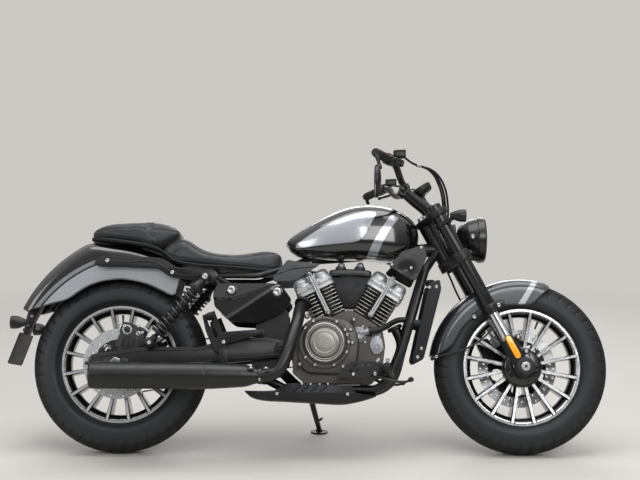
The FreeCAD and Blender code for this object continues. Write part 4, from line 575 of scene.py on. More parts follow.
def makeTyre(name, axle, radius, width, body, node):
    # radius over (turn, across): a smooth wall profile, less grooves where a slanted saw of the turn is low
    half = width / 2
    seat = tyreShape["seatRadius"]
    wallRise = radius - seat
    outline = [(0.0, 1.0), (0.20, 0.992), (0.42, 0.955), (0.62, 0.885), (0.79, 0.78), (0.92, 0.63),
               (0.99, 0.46), (1.0, 0.34), (0.955, 0.20), (0.80, 0.075), (0.745, 0.02)]
    outline = np.array(outline) * (half, wallRise) + (0, seat)
    outline[-2:, 0] = tyreShape["footHalf"]   # both tyres end against the same rim flange
    right = curveThrough(outline, 42)
    wallPart = (np.clip((np.abs(right[:, 0]) / half - 0.80) / 0.08, 0,
                        1) * np.clip((0.80 - (right[:, 1] - seat) / wallRise) / 0.06, 0, 1))
    rings = [(0.70, 0.012, 1.0), (0.30, 0.010, 0.8), (0.12, 0.03, 1.6)]   # raised mould rings on the wall
    rise = (right[:, 1] - seat) / wallRise
    raised = sum(height * np.exp(-((rise - at) / spread) ** 2) for at, spread, height in rings)
    right[:, 0] += raised * wallPart
    profile = np.concatenate([right[::-1] * (-1, 1), right[1:]])
    wall = np.concatenate([wallPart[::-1], wallPart[1:]])
    bead, inner = tyreShape["beadHalf"], tyreShape["innerRadius"]
    profile = np.concatenate([[(-bead, inner)], profile, [(bead, inner)]])
    wall = np.concatenate([[1.0], wall, [1.0]])
    columns = tyreShape["columns"]
    turn = np.arange(columns) / columns
    across = profile[None, :, 0] / half
    side = np.where(across > 0, 0.5, 0.0)
    saw = (turn[:, None] * tyreShape["blocks"] + tyreShape["slant"] * np.abs(across) + side) % 1
    groove = np.clip((tyreShape["grooveShare"] / 2 - np.abs(saw - 0.5)) / 0.045 + 0.5, 0, 1)
    groove = (groove * ((np.abs(across) > 0.24) & (np.abs(across) < 0.93) & (profile[None, :,
            1] > seat + wallRise * 0.62)))
    wave = (np.abs(across) - tyreShape["centreGroove"] - 0.02 * np.sin(turn[:, None] * tyreShape["blocks"] * 2
            * np.pi))
    groove = np.maximum(groove, np.abs(wave) < 0.022)
    fine = (turn[:, None] * tyreShape["blocks"] * 2 + 1.5 * np.abs(across)) % 1
    sipe = (np.abs(fine - 0.5) < 0.07) & (np.abs(across) > 0.30) & (np.abs(across) < 0.72)
    depth = tyreShape["grooveDepth"] * np.maximum(groove, sipe * 0.4)
    tilt = np.clip(np.abs(across) * 1.05, 0, 1)
    r = profile[None, :, 1] - depth * np.sqrt(1 - tilt ** 2 * 0.8)
    y = profile[None, :, 0] - np.sign(across) * depth * tilt * 0.6
    angle = turn[:, None] * 2 * np.pi
    surface = axle + np.stack([r * np.sin(angle), y + 0 * angle, r * np.cos(angle)], axis=-1)
    pile = Pile()
    surface = np.concatenate([surface, surface[:1]])
    pile.grid(surface, around=True)
    shade = np.broadcast_to(wall, (columns + 1, len(wall)))
    return makePiece(name, pile, body, [tyreMaterial], [node], smooth=50.0,
                     values={"wall": shade})


def spinMatrices(count, fromDeg):
    # turns about the axle, clockwise as seen from the right, evenly spread from the first
    turn = np.radians(fromDeg) + 2 * np.pi * np.arange(count) / count
    zero, one = np.zeros(count), np.ones(count)
    rows = [[np.cos(turn), zero, np.sin(turn)], [zero, one, zero], [-np.sin(turn), zero, np.cos(turn)]]
    return np.moveaxis(np.array(rows), 2, 0)


rimShape = {"flange": 219.5, "faceInner": 213.5, "half": 47.0, "spokes": 16, "hubRadius": 44.0,
            "faceHub": 13.0, "faceRim": 9.6, "baseHub": 15.0, "baseRim": 19.0, "chamfer": 9.0}


def makeRim(name, axle, body, node, fromDeg, hubLow, hubHigh, faceHubY, coverRadius):
    half, flange = rimShape["half"], rimShape["flange"]
    barrel = [(half, rimShape["faceInner"]), (half - 3, rimShape["faceInner"] - 1.0), (half - 9, 203),
              (half - 15, 196), (half - 26, 190), (0, 188.5), (-half + 26, 190), (-half + 15, 196),
              (-half + 9, 203), (-half + 3, rimShape["faceInner"] - 1.0), (-half, rimShape["faceInner"])]
    outside = [(-half, rimShape["faceInner"]), (-half - 0.2, flange - 2), (-half + 1, flange),
               (-half + 4, flange - 1.5), (-half + 5.5, 206), (-half + 20, 204.5), (-half + 30, 197),
               (half - 30, 197), (half - 20, 204.5), (half - 5.5, 206), (half - 4, flange - 1.5),
               (half - 1, flange), (half + 0.2, flange - 2), (half, rimShape["faceInner"])]
    pile = Pile()
    for profile, kind in ((softProfile(barrel, 3.0), 0), (np.array(outside), 1)):
        addTurned(pile, profile, axle, yAxis, 144, kind)
    for side in (-1, 1):   # the turned bright ring of each rim edge
        band = np.array([(side * (half - 4), 209.5), (side * (half + 0.7), 210.2),
                         (side * (half + 0.7), 218.3), (side * (half - 4), 219)])
        addTurned(pile, band, axle, yAxis, 144, 1)
    # spokes: a blade whose width and face height follow the radius, with eased flanks under a bright face
    reach = np.linspace(0, 1, 22)[:, None]
    radius = 40.0 + reach * (rimShape["faceInner"] - 0.5 - 40.0)
    face = faceHubY + (half - 0.6 - faceHubY) * reach ** 1.6
    bright = (rimShape["faceHub"] * (1 - reach) + rimShape["faceRim"] * reach) / 2
    base = (rimShape["baseHub"] * (1 - reach) + rimShape["baseRim"] * reach ** 1.5) / 2
    foot = base + 5.0 * np.clip((reach - 0.86) / 0.14, 0, 1) ** 2
    drop = rimShape["chamfer"]
    widths = np.concatenate([bright, foot * 0.94, foot, foot, foot * 0.94, bright, -bright, -foot * 0.94,
                             -foot, -foot, -foot * 0.94, -bright], axis=1)
    depths = np.concatenate([face, face - drop * 0.55, face - drop, -face + drop, -face + drop * 0.55, -face,
                             -face, -face + drop * 0.55, -face + drop, face - drop, face - drop * 0.55, face],
                            axis=1)
    blade = np.stack([widths, depths, radius + 0 * widths], axis=-1)
    spoke = Pile()
    spoke.grid(blade, 0, around=True, ends=True)
    # the two bright faces stand just proud of the blade and close onto it
    for side in (1, -1):
        lift = side * (face + 0.35)
        low = side * (face - 0.5)
        strip = np.stack([np.concatenate([bright * 0.98, bright * 0.93, -bright * 0.93, -bright * 0.98],
                                         axis=1), np.concatenate([low, lift, lift, low], axis=1),
                          np.repeat(radius, 4, axis=1)], axis=-1)
        spoke.grid(strip, 1, around=True, ends=True)
    pile.copies(spoke, spinMatrices(rimShape["spokes"], fromDeg), np.tile(axle, (rimShape["spokes"], 1)))
    hub = softProfile([(hubLow, 0), (hubLow, 26), (hubLow + 6, 32), (hubLow + 9, rimShape["hubRadius"]),
                       (-8, rimShape["hubRadius"] + 5), (8, rimShape["hubRadius"] + 5),
                       (hubHigh - 9, rimShape["hubRadius"]), (hubHigh - 6, 32), (hubHigh, 26), (hubHigh, 0)],
                      3.0)
    addTurned(pile, hub, axle, yAxis, 68)
    if coverRadius:
        cover = softProfile([(-68, 0), (-68, coverRadius * 0.55), (-64, coverRadius * 0.86),
                             (-52, coverRadius), (-38, coverRadius * 0.98), (-34, coverRadius * 0.9),
                             (-34, 0)], 4.0)
        addTurned(pile, cover, axle, yAxis, 68)
        scoop = Pile()   # raised lips round the cover's windows
        ring = [(-2.0, 0), (-2.0, 6.5), (1.6, 8.5), (2.6, 11.5), (1.2, 13.5), (-3.0, 14.0), (-3.0, 0)]
        addTurned(scoop, ring, (0, 0, 0), -yAxis, 24)
        at = np.einsum("nij,j->ni", spinMatrices(5, 20.0), [0.0, -65.0, coverRadius * 0.64])
        pile.copies(scoop, spinMatrices(5, 20.0), axle + at)
    valve = axle + np.einsum("nij,j->ni", spinMatrices(1, fromDeg + 11.0), [0.0, -22.0, 186.0])[0]
    stem = np.array([valve, valve + unit(axle - valve) * 16, valve + unit(axle - valve) * 30])
    addTube(pile, stem, [4.5, 3.4, 3.2], 12, 0, (0, 1, 0))
    return makePiece(name, pile, body, [rimBlack, machinedFace], [node], smooth=32.0)


def addCells(pile, front, quads, near, step, thickness, kind):
    # the cells outside every hole, in front and behind, with a wall along each edge that only one cell has
    quads = quads[near.ravel()[quads].mean(axis=1) >= step * 0.02]
    used, small = np.unique(quads, return_inverse=True)
    small = small.reshape(quads.shape)
    front = front.reshape(-1, 3)[used]
    edges = np.concatenate([small[:, [i, (i + 1) % 4]] for i in range(4)])
    key = np.sort(edges, axis=1)
    _, first, count = np.unique(key[:, 0] * len(used) + key[:, 1], return_index=True, return_counts=True)
    border = edges[first[count == 1]]
    shift = len(used)
    faces = small.tolist() + (small[:, ::-1] + shift).tolist()
    faces += np.stack([border[:, 1], border[:, 0], border[:, 0] + shift, border[:, 1] + shift],
                      axis=1).tolist()
    pile.add(np.concatenate([front, front + yAxis * thickness]), faces, kind)
    return pile


def perforated(pile, centre, y, thickness, inner, outer, columns, rows, holes, kind=0):
    # a flat ring with holes: a polar grid whose points near a hole's edge slide onto it, less the cells
    # inside
    turn = np.arange(columns) / columns * 2 * np.pi
    radius = np.linspace(inner, outer, rows)
    x = np.sin(turn)[:, None] * radius
    z = np.cos(turn)[:, None] * radius
    near = np.full(x.shape, 1e9)
    pullX, pullZ = np.zeros_like(x), np.zeros_like(x)
    for hx, hz, wayX, wayZ, halfLength, halfWidth in holes:
        run = np.clip((x - hx) * wayX + (z - hz) * wayZ, -halfLength, halfLength)
        gapX, gapZ = x - hx - run * wayX, z - hz - run * wayZ
        reach = np.hypot(gapX, gapZ)
        gap = reach - halfWidth
        closer = gap < near
        near = np.where(closer, gap, near)
        pullX = np.where(closer, gapX / np.maximum(reach, 1e-6), pullX)
        pullZ = np.where(closer, gapZ / np.maximum(reach, 1e-6), pullZ)
    step = (outer - inner) / (rows - 1)
    edge = np.zeros_like(near, bool)
    edge[:, 1:-1] = (np.abs(near) < step * 0.62)[:, 1:-1]
    x = x - np.where(edge, near * pullX, 0)
    z = z - np.where(edge, near * pullZ, 0)
    near = np.where(edge, 0.0, near)
    number = np.arange(columns * rows).reshape(columns, rows)
    after = np.roll(number, -1, axis=0)
    quads = np.stack([number[:, :-1], number[:, 1:], after[:, 1:], after[:, :-1]], axis=-1).reshape(-1, 4)
    front = np.stack([x, np.full_like(x, y), z], axis=-1) + centre
    return addCells(pile, front, quads, near, step, thickness, kind)


def ringHoles(count, radius, halfLength, halfWidth, slantDeg, fromDeg=0.0):
    # the same slot at even steps round a circle, slanted from the radius
    turn = np.radians(fromDeg) + 2 * np.pi * np.arange(count) / count
    way = turn + math.radians(slantDeg)
    return [(radius * math.sin(t), radius * math.cos(t), math.sin(w), math.cos(w), halfLength, halfWidth)
            for t, w in zip(turn, way)]


discCells = {"band": (480, 23), "carrier": (160, 26)}   # round the axle, and from inside out
frontDisc = {"outer": 150.0, "band": 108.0, "y": 64.0, "thickness": 5.0}
rearDisc = {"outer": 130.0, "band": 90.0, "y": -89.0, "thickness": 5.0}


def makeDisc(name, axle, body, node, size, holes, carrierY):
    # a slotted ground band, floated on buttons round a black five-armed carrier
    pile = Pile()
    perforated(pile, axle, size["y"], size["thickness"], size["band"], size["outer"], *discCells["band"],
               holes, 0)
    carrierOuter = size["band"] + 4.0
    windows = ringHoles(5, (carrierOuter + 52) / 2, 0.1, (carrierOuter - 52) / 2 - 7.0, 0, 36)
    windows += ringHoles(5, 39.0, 0.1, 4.0, 0)
    perforated(pile, axle, carrierY, 4.0, 27.0, carrierOuter - 1.0, *discCells["carrier"], windows, 1)
    buttons = axle + np.einsum("nij,j->ni", spinMatrices(10, 9.0), [0.0, 0.0, size["band"] + 1.5])
    for way, lift in ((-yAxis, min(size["y"], carrierY) - 0.2),
                      (yAxis, max(size["y"] + size["thickness"], carrierY + 4) + 0.2)):
        addBolts(pile, buttons + yAxis * lift, way, 5.2, 1.6, 2, 14)
    bolts = axle + np.einsum("nij,j->ni", spinMatrices(5, 0.0), [0.0, 0.0, 39.0])
    out = -yAxis if size["y"] < 0 else yAxis
    addBolts(pile, bolts + yAxis * (carrierY if size["y"] < 0 else carrierY + 4.0), out, 7.0, 5.0, 2, 14)
    return makePiece(name, pile, body, [groundSteel, castBlack, brightBolt], [node],
                     smooth=30.0)


frontHoles = (ringHoles(24, 117.0, 2.5, 2.4, 20) + ringHoles(24, 129.0, 2.5, 2.4, 20, 7.5)
              + ringHoles(24, 141.0, 2.5, 2.4, 20))
rearHoles = ringHoles(16, 102.0, 4.5, 2.3, 35) + ringHoles(16, 118.0, 4.5, 2.3, 35, 11.2)
makeTyre("frontTyre", frontAxle, machine["frontRadius"], machine["frontWidth"], "front_wheel", "front_tyre")
makeTyre("rearTyre", rearAxle, machine["rearRadius"], machine["rearWidth"], "rear_wheel", "rear_tyre")
makeRim("frontRim", frontAxle, "front_wheel", "front_rim", 10.5, -74.0, 74.0, 38.0, 75.0)
makeRim("rearRim", rearAxle, "rear_wheel", "rear_rim", -10.5, -83.0, 81.0, 38.0, 0.0)
makeDisc("frontDisc", frontAxle, "front_wheel", "front_disc", frontDisc, frontHoles, 60.0)
makeDisc("rearDisc", rearAxle, "rear_wheel", "rear_disc", rearDisc, rearHoles, -88.5)


print("stage: tank, fenders and covers")


def flip(pile):
    # the pile and its mirror image over the machine's middle plane
    side = Pile()
    points = np.concatenate(pile.points)
    for sign in (1, -1):
        base = side.total
        side.points.append(points * (1, sign, 1))
        side.faces += [[index + base for index in (face if sign == 1 else face[::-1])] for face in pile.faces]
        side.kinds += pile.kinds
        side.total += len(points)
    return side


def power(values, exponent):
    # signed power, for squarish rounds
    return np.sign(values) * np.abs(values) ** exponent


silverCoat = (("#9da0a6", "#a9acb2"), 0.35)
tankPaint = fieldPaint("black lacquer with silver fields", ("#070708", 0.0),
                       [("panelLine", ("#5c5f64", "#64676c"), 0.4), ("panel", *silverCoat),
                        ("stripe", ("#8a8d93", "#999ca2"), 0.5)], (0.16, 0.22), 8.0, 0.004,
                       Coat_Weight=1.0, Coat_Roughness=0.03)
rearFenderPaint = fieldPaint("black and silver fender lacquer", ("#08080a", 0.0),
                             [("pinstripe", ("#84878d", "#8e9197"), 0.5), ("panel", *silverCoat)],
                             (0.18, 0.24), 8.0, 0.004, Coat_Weight=1.0, Coat_Roughness=0.04)
frontFenderPaint = fieldPaint("graphite lacquer with a silver stripe", ("#2b2e33", 0.35),
                              [("stripe", ("#8f9297", "#9da0a4"), 0.3)], (0.26, 0.34), 7.0, 0.006,
                              Coat_Weight=0.8, Coat_Roughness=0.10)

tank = {
    # x, low, high and half width of the sections, back to front
    "stations": [(-136, 786, 792, 10), (-128, 774, 806, 42), (-106, 752, 825, 70), (-62, 738, 853, 92),
                 (33, 729, 907, 122), (115, 730, 936, 137), (200, 727, 942, 138), (273, 721, 929, 128),
                 (312, 730, 912, 112), (345, 752, 888, 88), (366, 785, 856, 52), (374, 815, 826, 12)],
    "square": 0.70, "lift": 0.36,
    "panel": [(-92, 783), (-60, 807), (-3, 842), (54, 870), (112, 891), (169, 905), (209, 903), (188, 865),
              (161, 812), (140, 791), (110, 785), (16, 778), (-76, 772)],
    "stripe": [(261, 893), (292, 884), (253, 829), (227, 782), (196, 712), (160, 712), (188, 777),
               (221, 835)],
    "cap": (170.0, 36.0)}


def sectionRing(x, halfWidth, low, high, square, lift, turn):
    # a ring across the machine: y = w cos^q, z = middle + h sin^q with the widest part at the lift share
    middle = low + (high - low) * lift
    rise = np.where(np.sin(turn) > 0, high - middle, middle - low)
    y = halfWidth * power(np.cos(turn), square)
    z = middle + rise * power(np.sin(turn), square)
    return np.stack([x + 0 * y, y, z], axis=-1)


def stationGrid(stations, square, lift, rows, columns):
    # the stations splined by their place along the outline, each one a ring
    table = np.array(stations, float)
    steps = np.concatenate([[0], np.cumsum(np.hypot(np.diff(table[:, 0]), np.diff(table[:, 2])))])
    smooth = spline(steps, table, np.linspace(0, steps[-1], rows))
    turn = np.linspace(0, 2 * np.pi, columns, endpoint=False)
    x, low, high, wide = (smooth[:, i][:, None] for i in range(4))
    return sectionRing(x, np.maximum(wide, 1.0), low, np.maximum(high, low + 1.0), square, lift, turn[None])


def makeTank():
    pile = Pile()
    body = stationGrid(tank["stations"], tank["square"], tank["lift"], 90, 104)
    pile.grid(body, 0, around=True, ends=True)
    # pressed seams along both lower edges, each just outside its column of the grid
    seam = body[4:-4, [70, 102]]
    for edge in (0, 1):
        line = seam[:, edge] * (1, 1.012, 1)
        addTube(pile, line, 2.2, 8, 0, (0, 1, 0))
    capX, capRadius = tank["cap"]
    top = np.interp(capX, [row[0] for row in tank["stations"]], [row[2] for row in tank["stations"]])
    ring = softProfile([(-14, 0), (-14, capRadius + 9), (0.5, capRadius + 9), (3.5, capRadius + 5),
                        (3.5, capRadius + 1), (2.0, capRadius), (5.5, capRadius - 1), (7.5, capRadius - 8),
                        (8.2, capRadius * 0.5), (8.4, 0)], 1.2)
    up = unit([-0.03, 0, 1.0])
    addTurned(pile, ring, (capX, 0, top), up, 72, 1)
    addSoft(pile, [(6, 0), (6, 10), (10, 9.2), (10.5, 6), (9.2, 5.5), (9.2, 0)], 0.6, (capX, 0, top), up, 36,
            2)
    turn = np.radians(np.arange(6) * 60 + 15)
    bolts = np.stack([capX + np.cos(turn) * (capRadius + 4.8), np.sin(turn) * (capRadius + 4.8),
                      top + 3.2 + 0 * turn], axis=1)
    addBolts(pile, bolts, up, 2.6, 1.6, 2, 12)
    points = np.concatenate(pile.points)
    x, z = points[:, 0], points[:, 2]
    side = np.clip((np.abs(points[:, 1]) - 30.0) / 6.0, -1, 1) * 6.0
    panel = np.minimum(inside(rounded(tank["panel"], 14), x, z), side)
    stripe = np.minimum(inside(np.array(tank["stripe"], float), x, z), side)
    line = np.minimum(panel + 3.0, side)
    makePiece("fuelTank", pile, "chassis", [tankPaint, absGloss, brightBolt],
              ["fuel_tank"], smooth=50, values={"panel": panel, "panelLine": line, "stripe": stripe})


makeTank()


def fenderGrid(centre, angles, crown, edge, halfWidth, shoulder, columns):
    # a sheet over turn and across: depth below the crown grows as w^2.6, and y is a squarish round of that
    # depth
    share = np.linspace(-1, 1, columns)[None]
    depth = (crown - edge)[:, None] * np.abs(share) ** 2.6
    reach = np.clip(depth / shoulder, 0, 1)
    y = np.sign(share) * halfWidth * (1 - (1 - reach) ** 2.4) ** (1 / 2.4)
    radius = crown[:, None] - depth
    turn = np.radians(angles)[:, None]
    place = np.stack([centre[0] + radius * np.cos(turn), y, centre[2] + radius * np.sin(turn)], axis=-1)
    return place, radius


def makeSheet(name, surface, middle, thickness, body, materials, replaces, values, smooth=45.0):
    # an open sheet with its faces turned away from the middle, then given its wall
    pile = Pile()
    pile.grid(surface)
    piece = makePiece(name, pile, body, materials, replaces, smooth=smooth, closed=False, values=values)
    mesh = piece.data
    work = bmesh.new()
    work.from_mesh(mesh)
    centre = Vector(toFrame(np.asarray(middle, float)).tolist())
    outward = sum(1 if (face.calc_center_median() - centre).dot(face.normal) > 0 else -1
                  for face in work.faces)
    if outward < 0:
        bmesh.ops.reverse_faces(work, faces=work.faces)
    work.to_mesh(mesh)
    work.free()
    shell = piece.modifiers.new("wall", "SOLIDIFY")
    shell.thickness = thickness / metre
    shell.offset = -1
    shell.use_even_offset = True
    return piece


rearFender = {
    "centre": (-625.0, 0.0, 294.0), "half": 95.0, "shoulder": 52.0, "wall": 3.5,
    # turn, crown radius, lower edge radius
    "reach": [(75.3, 424, 306), (76.2, 425, 303), (79.6, 428, 300), (87.5, 452, 316), (95.3, 474, 337),
              (105.6, 508, 364), (111.0, 528, 378), (117.1, 562, 391), (126.8, 562, 409), (137.6, 562, 420),
              (141.2, 562, 430), (148.6, 562, 480), (151.0, 562, 498), (154.2, 562, 530)],
    "strutLine": [(-1200, 900), (-850, 716), (-838, 706), (-600, 700), (-560, 674), (-530, 655), (-400, 650)]}


def makeRearFender():
    table = np.array(rearFender["reach"])
    angles = np.linspace(table[0, 0], table[-1, 0], 126)
    crown = np.interp(angles, table[:, 0], table[:, 1])
    crown = np.convolve(np.pad(crown, 4, mode="edge"), np.ones(9) / 9, mode="valid")
    edge = np.interp(angles, table[:, 0], table[:, 2])
    edge = np.convolve(np.pad(edge, 3, mode="edge"), np.ones(7) / 7, mode="valid")
    surface, radius = fenderGrid(rearFender["centre"], angles, crown, edge, rearFender["half"],
                                 rearFender["shoulder"], 91)
    x, z = surface[..., 0], surface[..., 2]
    stripeAt = (480 + (angles - 121) * 0.85)[:, None] + 0 * radius
    below = np.interp(x, [p[0] for p in rearFender["strutLine"]], [p[1] for p in rearFender["strutLine"]]) - z
    side = np.abs(surface[..., 1]) - 60.0
    panel = np.minimum.reduce([stripeAt - 18 - radius, below, side, radius - edge[:, None] - 2.5])
    pinstripe = np.minimum.reduce([stripeAt + 3 - radius, radius - stripeAt + 11, below, side])
    makeSheet("rearFender", surface, (-625, 0, 330), rearFender["wall"], "chassis", [rearFenderPaint],
              ["rear_fender"], {"panel": panel, "pinstripe": pinstripe})
    # the rolled bead along both lower edges
    trim = Pile()
    for side in (1, -1):
        rows = surface[2:-2, -1 if side == 1 else 0]
        addTube(trim, rows, 3.2, 8, 0, (0, 1, 0))
    makePiece("rearFenderBead", trim, "chassis", [absGloss], ["rear_fender"])


makeRearFender()

frontFender = {"half": 74.0, "shoulder": 46.0, "wall": 3.0,
               "reach": [(70.2, 330, 316), (72.5, 334, 296), (76, 336, 266), (79.5, 337, 240), (84, 337, 232),
                         (93, 337, 232), (105.6, 337, 237), (123.5, 337, 252), (143.9, 340, 265),
                         (160.4, 344, 269), (167, 345, 288), (173.2, 346, 330)],
               "stripe": [(824, 660), (802, 660), (727, 543), (748, 536)], "bolts": [(666, 557), (574, 513)]}


def makeFrontFender():
    table = np.array(frontFender["reach"])
    angles = np.linspace(table[0, 0], table[-1, 0], 126)
    crown = spline(table[:, 0], table[:, 1], angles)
    edge = np.interp(angles, table[:, 0], table[:, 2])
    edge = np.convolve(np.pad(edge, 3, mode="edge"), np.ones(7) / 7, mode="valid")
    surface, _ = fenderGrid(frontAxle, angles, crown, edge, frontFender["half"], frontFender["shoulder"], 81)
    stripe = inside(np.array(frontFender["stripe"], float), surface[..., 0], surface[..., 2])
    makeSheet("frontFender", surface, frontAxle, frontFender["wall"], "steering", [frontFenderPaint],
              ["front_fender"], {"stripe": stripe})
    trim = Pile()
    for side in (1, -1):
        addTube(trim, surface[2:-2, -1 if side == 1 else 0], 2.6, 8, 0, (0, 1, 0))
    stays = Pile()
    # brackets from the fender's sides to the fork, with their bolts
    outline = [(580, 500), (560, 520), (600, 548), (650, 574), (684, 580), (692, 556), (666, 538), (624, 522)]
    addPlate(stays, outline, 74.5, 78.5, 10, 1.2, 1)
    for place in frontFender["bolts"]:
        addBolts(stays, [(place[0], 78.5, place[1])], yAxis, 8.5, 5.0, 2)
    wire = [(425, 82, 362), (470, 90, 372), (545, 98, 396), (600, 98, 430), (640, 97, 470)]
    addTube(stays, curveThrough(wire, 30), 3.6, 10, 1, (0, 1, 0))
    addBolts(stays, [(430, 84, 363)], yAxis, 7, 5, 2)
    both = flip(stays)
    makePiece("frontFenderTrim", trim, "steering", [powderBlack], ["front_fender"])
    makePiece("frontFenderStays", both, "steering", [powderBlack, powderBlack, brightBolt],
              ["front_fender"])


makeFrontFender()

covers = {"side": [(-402, 590), (-388, 628), (-179, 628), (-148, 622), (-108, 566), (-145, 520), (-234, 480),
                   (-333, 486), (-395, 539)],
          "sideY": (136.0, 150.0), "sideBolts": [(-333, 601), (-163, 595)],
          "ridge": ([-416, -327, -179, -108], [573, 573, 625, 650]),
          "keel": ([-402, -345, -182, -108], [456, 494, 603, 640]),
          "rear": [(-180, 655), (-150, 690), (-127, 720), (-100, 714), (-3, 704), (-50, 672), (-103, 640),
                   (-178, 636)],
          "front": [(250, 697), (300, 752), (383, 779), (395, 732), (350, 640), (310, 662)], "outerY": 126.0}
# satin grey moulded cover behind the tank
greyPlastic = finish("satin grey moulded cover", ("#2f3134", "#3a3c3f"), (0.34, 0.44), 80, 1.4, 0.02)


def domedPlate(pile, outline, yBack, yFront, corner, bulge, kind=0, drop=None):
    # rings of the outline drawn in towards its middle: a rolled edge, then a flat dome that falls by
    # drop(x, z)
    ring = resampled(rounded(np.array(outline, float), corner, 7), 200)
    middle = ring.mean(axis=0)
    edges = np.array([1.0, 1.0, 0.992, 0.982])
    shares = np.concatenate([edges, np.linspace(0.965, 0.02, 27)])
    rise = np.concatenate([[0.0, 0.70, 0.92, 1.0], 1 + bulge * (1 - np.linspace(0.965, 0.02, 27) ** 2)])
    rows = middle + (ring - middle) * shares[:, None, None]
    y = np.repeat((yBack + (yFront - yBack) * rise)[:, None], len(ring), axis=1)
    if drop is not None:
        y = y - drop(rows[..., 0], rows[..., 1]) * (rise[:, None] > 0)
    grid = np.stack([rows[..., 0], np.maximum(y, yBack + 1.0 * (rise[:, None] > 0)), rows[..., 1]], axis=-1)
    pile.grid(grid, kind, around=True, ends=True)
    return pile


def resampled(ring, count):
    # the same closed outline with its points at even steps
    loop = np.concatenate([ring, ring[:1]])
    run = np.concatenate([[0], np.cumsum(np.linalg.norm(np.diff(loop, axis=0), axis=1))])
    at = np.arange(count) * run[-1] / count
    return np.stack([np.interp(at, run, loop[:, i]) for i in (0, 1)], axis=1)


def makeCovers():
    low, high = covers["sideY"]

    def sideDrop(x, z):
        # an upper facet that leans back above the ridge, a sunk channel under it, a lower facet below the
        # keel
        ridge, keel = np.interp(x, *covers["ridge"]), np.interp(x, *covers["keel"])
        channel = 5.5 * np.clip(np.minimum(ridge - z, (z - keel) * 0.5) / 7, 0, 1)
        upper, lower = np.clip(z - ridge, 0, None) * 0.24, np.clip(keel - z, 0, None) * 0.12
        return np.where(z > ridge, upper, np.where(z > keel, channel, lower))

    def frontDrop(x, z):
        return 9.0 * np.exp(-((x - 318) / 26) ** 2 - ((z - 684) / 22) ** 2)

    def rearDrop(x, z):
        # a pressed line along the cover's lower third
        return 2.6 * np.clip(1 - np.abs(z - np.interp(x, [-179, -100, -3], [659, 684, 694])) / 2.6, 0, 1)

    pile = Pile()
    domedPlate(pile, covers["side"], low, high, 14, 0.02, 0, sideDrop)
    domedPlate(pile, covers["rear"], covers["outerY"] - 9, covers["outerY"], 9, 0.10, 3, rearDrop)
    domedPlate(pile, covers["front"], covers["outerY"] - 9, covers["outerY"], 12, 0.10, 1, frontDrop)
    for x, z in covers["sideBolts"]:
        addSoft(pile, [(-8, 0), (-8, 21), (3.0, 21), (3.4, 18), (2.0, 16.5), (2.0, 0)], 0.6, (x, high - 4, z),
                yAxis, 48)
        addBolts(pile, [(x, high - 2.5, z)], yAxis, 16.0, 7.0, 2, 36, 0.5)
    for x, z in ((262, 703), (334, 690), (372, 768)):
        addBolts(pile, [(x, covers["outerY"] - 1.0, z)], yAxis, 6.5, 4.5, 2)
    addSoft(pile, [(0, 0), (0, 9), (2.5, 8), (3, 6), (1.0, 5), (1.0, 0)], 0.5,
            (-99, covers["outerY"] - 1, 690), yAxis, 32, 1)
    makePiece("bodyCovers", flip(pile), "chassis", [absGloss, powderBlack, brightBolt, greyPlastic],
              ["body_covers"], smooth=22)


makeCovers()


print("stage: seat")
# vinyl seat cover: pebbled leather grain with soft creases, satin where it is stretched
seatVinyl = finish("grained seat vinyl", ("#141619", "#1d2023"), (0.42, 0.56), 55, 2.6, 0.10,
                   Sheen_Weight=0.15, Sheen_Roughness=0.5)
# bonded polyester thread of the seams
seamThread = finish("bonded seat thread", ("#2c2e31", "#37393d"), (0.55, 0.70), 12, 0.8, 0.05)

cushions = {
    # x, low, high and half width of the sections, back to front
    "rider": {"stations": [(-604, 752, 764, 84), (-592, 738, 780, 100), (-560, 716, 804, 116),
                           (-520, 700, 812, 130), (-478, 694, 784, 141), (-427, 690, 756, 148),
                           (-376, 686, 746, 147), (-331, 683, 744, 142), (-266, 679, 752, 126),
                           (-206, 675, 767, 104), (-172, 678, 769, 88), (-152, 694, 756, 70),
                           (-147, 715, 738, 48)], "square": 0.60, "lift": 0.30, "dish": 9.0},
    "pillion": {"stations": [(-884, 812, 820, 34), (-874, 806, 836, 58), (-850, 800, 850, 78),
                             (-822, 796, 858, 90), (-762, 789, 863, 102), (-700, 779, 866, 109),
                             (-646, 768, 866, 113), (-600, 772, 862, 114), (-560, 792, 851, 113),
                             (-536, 806, 838, 108), (-524, 814, 826, 98)],
                "square": 0.60, "lift": 0.34, "dish": 4.0}}
clothWork = {"voxel": 6.4, "inset": 4.0, "pressure": 4.0, "frames": 20, "cap": 7.0}


def cushionGrid(shape):
    # squarish rings splined front to back, with the top of each ring dished between its bolsters
    body = stationGrid(shape["stations"], shape["square"], shape["lift"], 72, 96)
    across = body[..., 1] / np.maximum(np.abs(body[..., 1]).max(axis=1, keepdims=True), 1)
    upper = body[..., 2] - body[..., 2].mean(axis=1, keepdims=True) > 0
    body[..., 2] -= (shape["dish"] * np.exp(-(across / 0.45) ** 2) * upper * np.linspace(0.6, 1, len(body))[:,
            None])
    return body


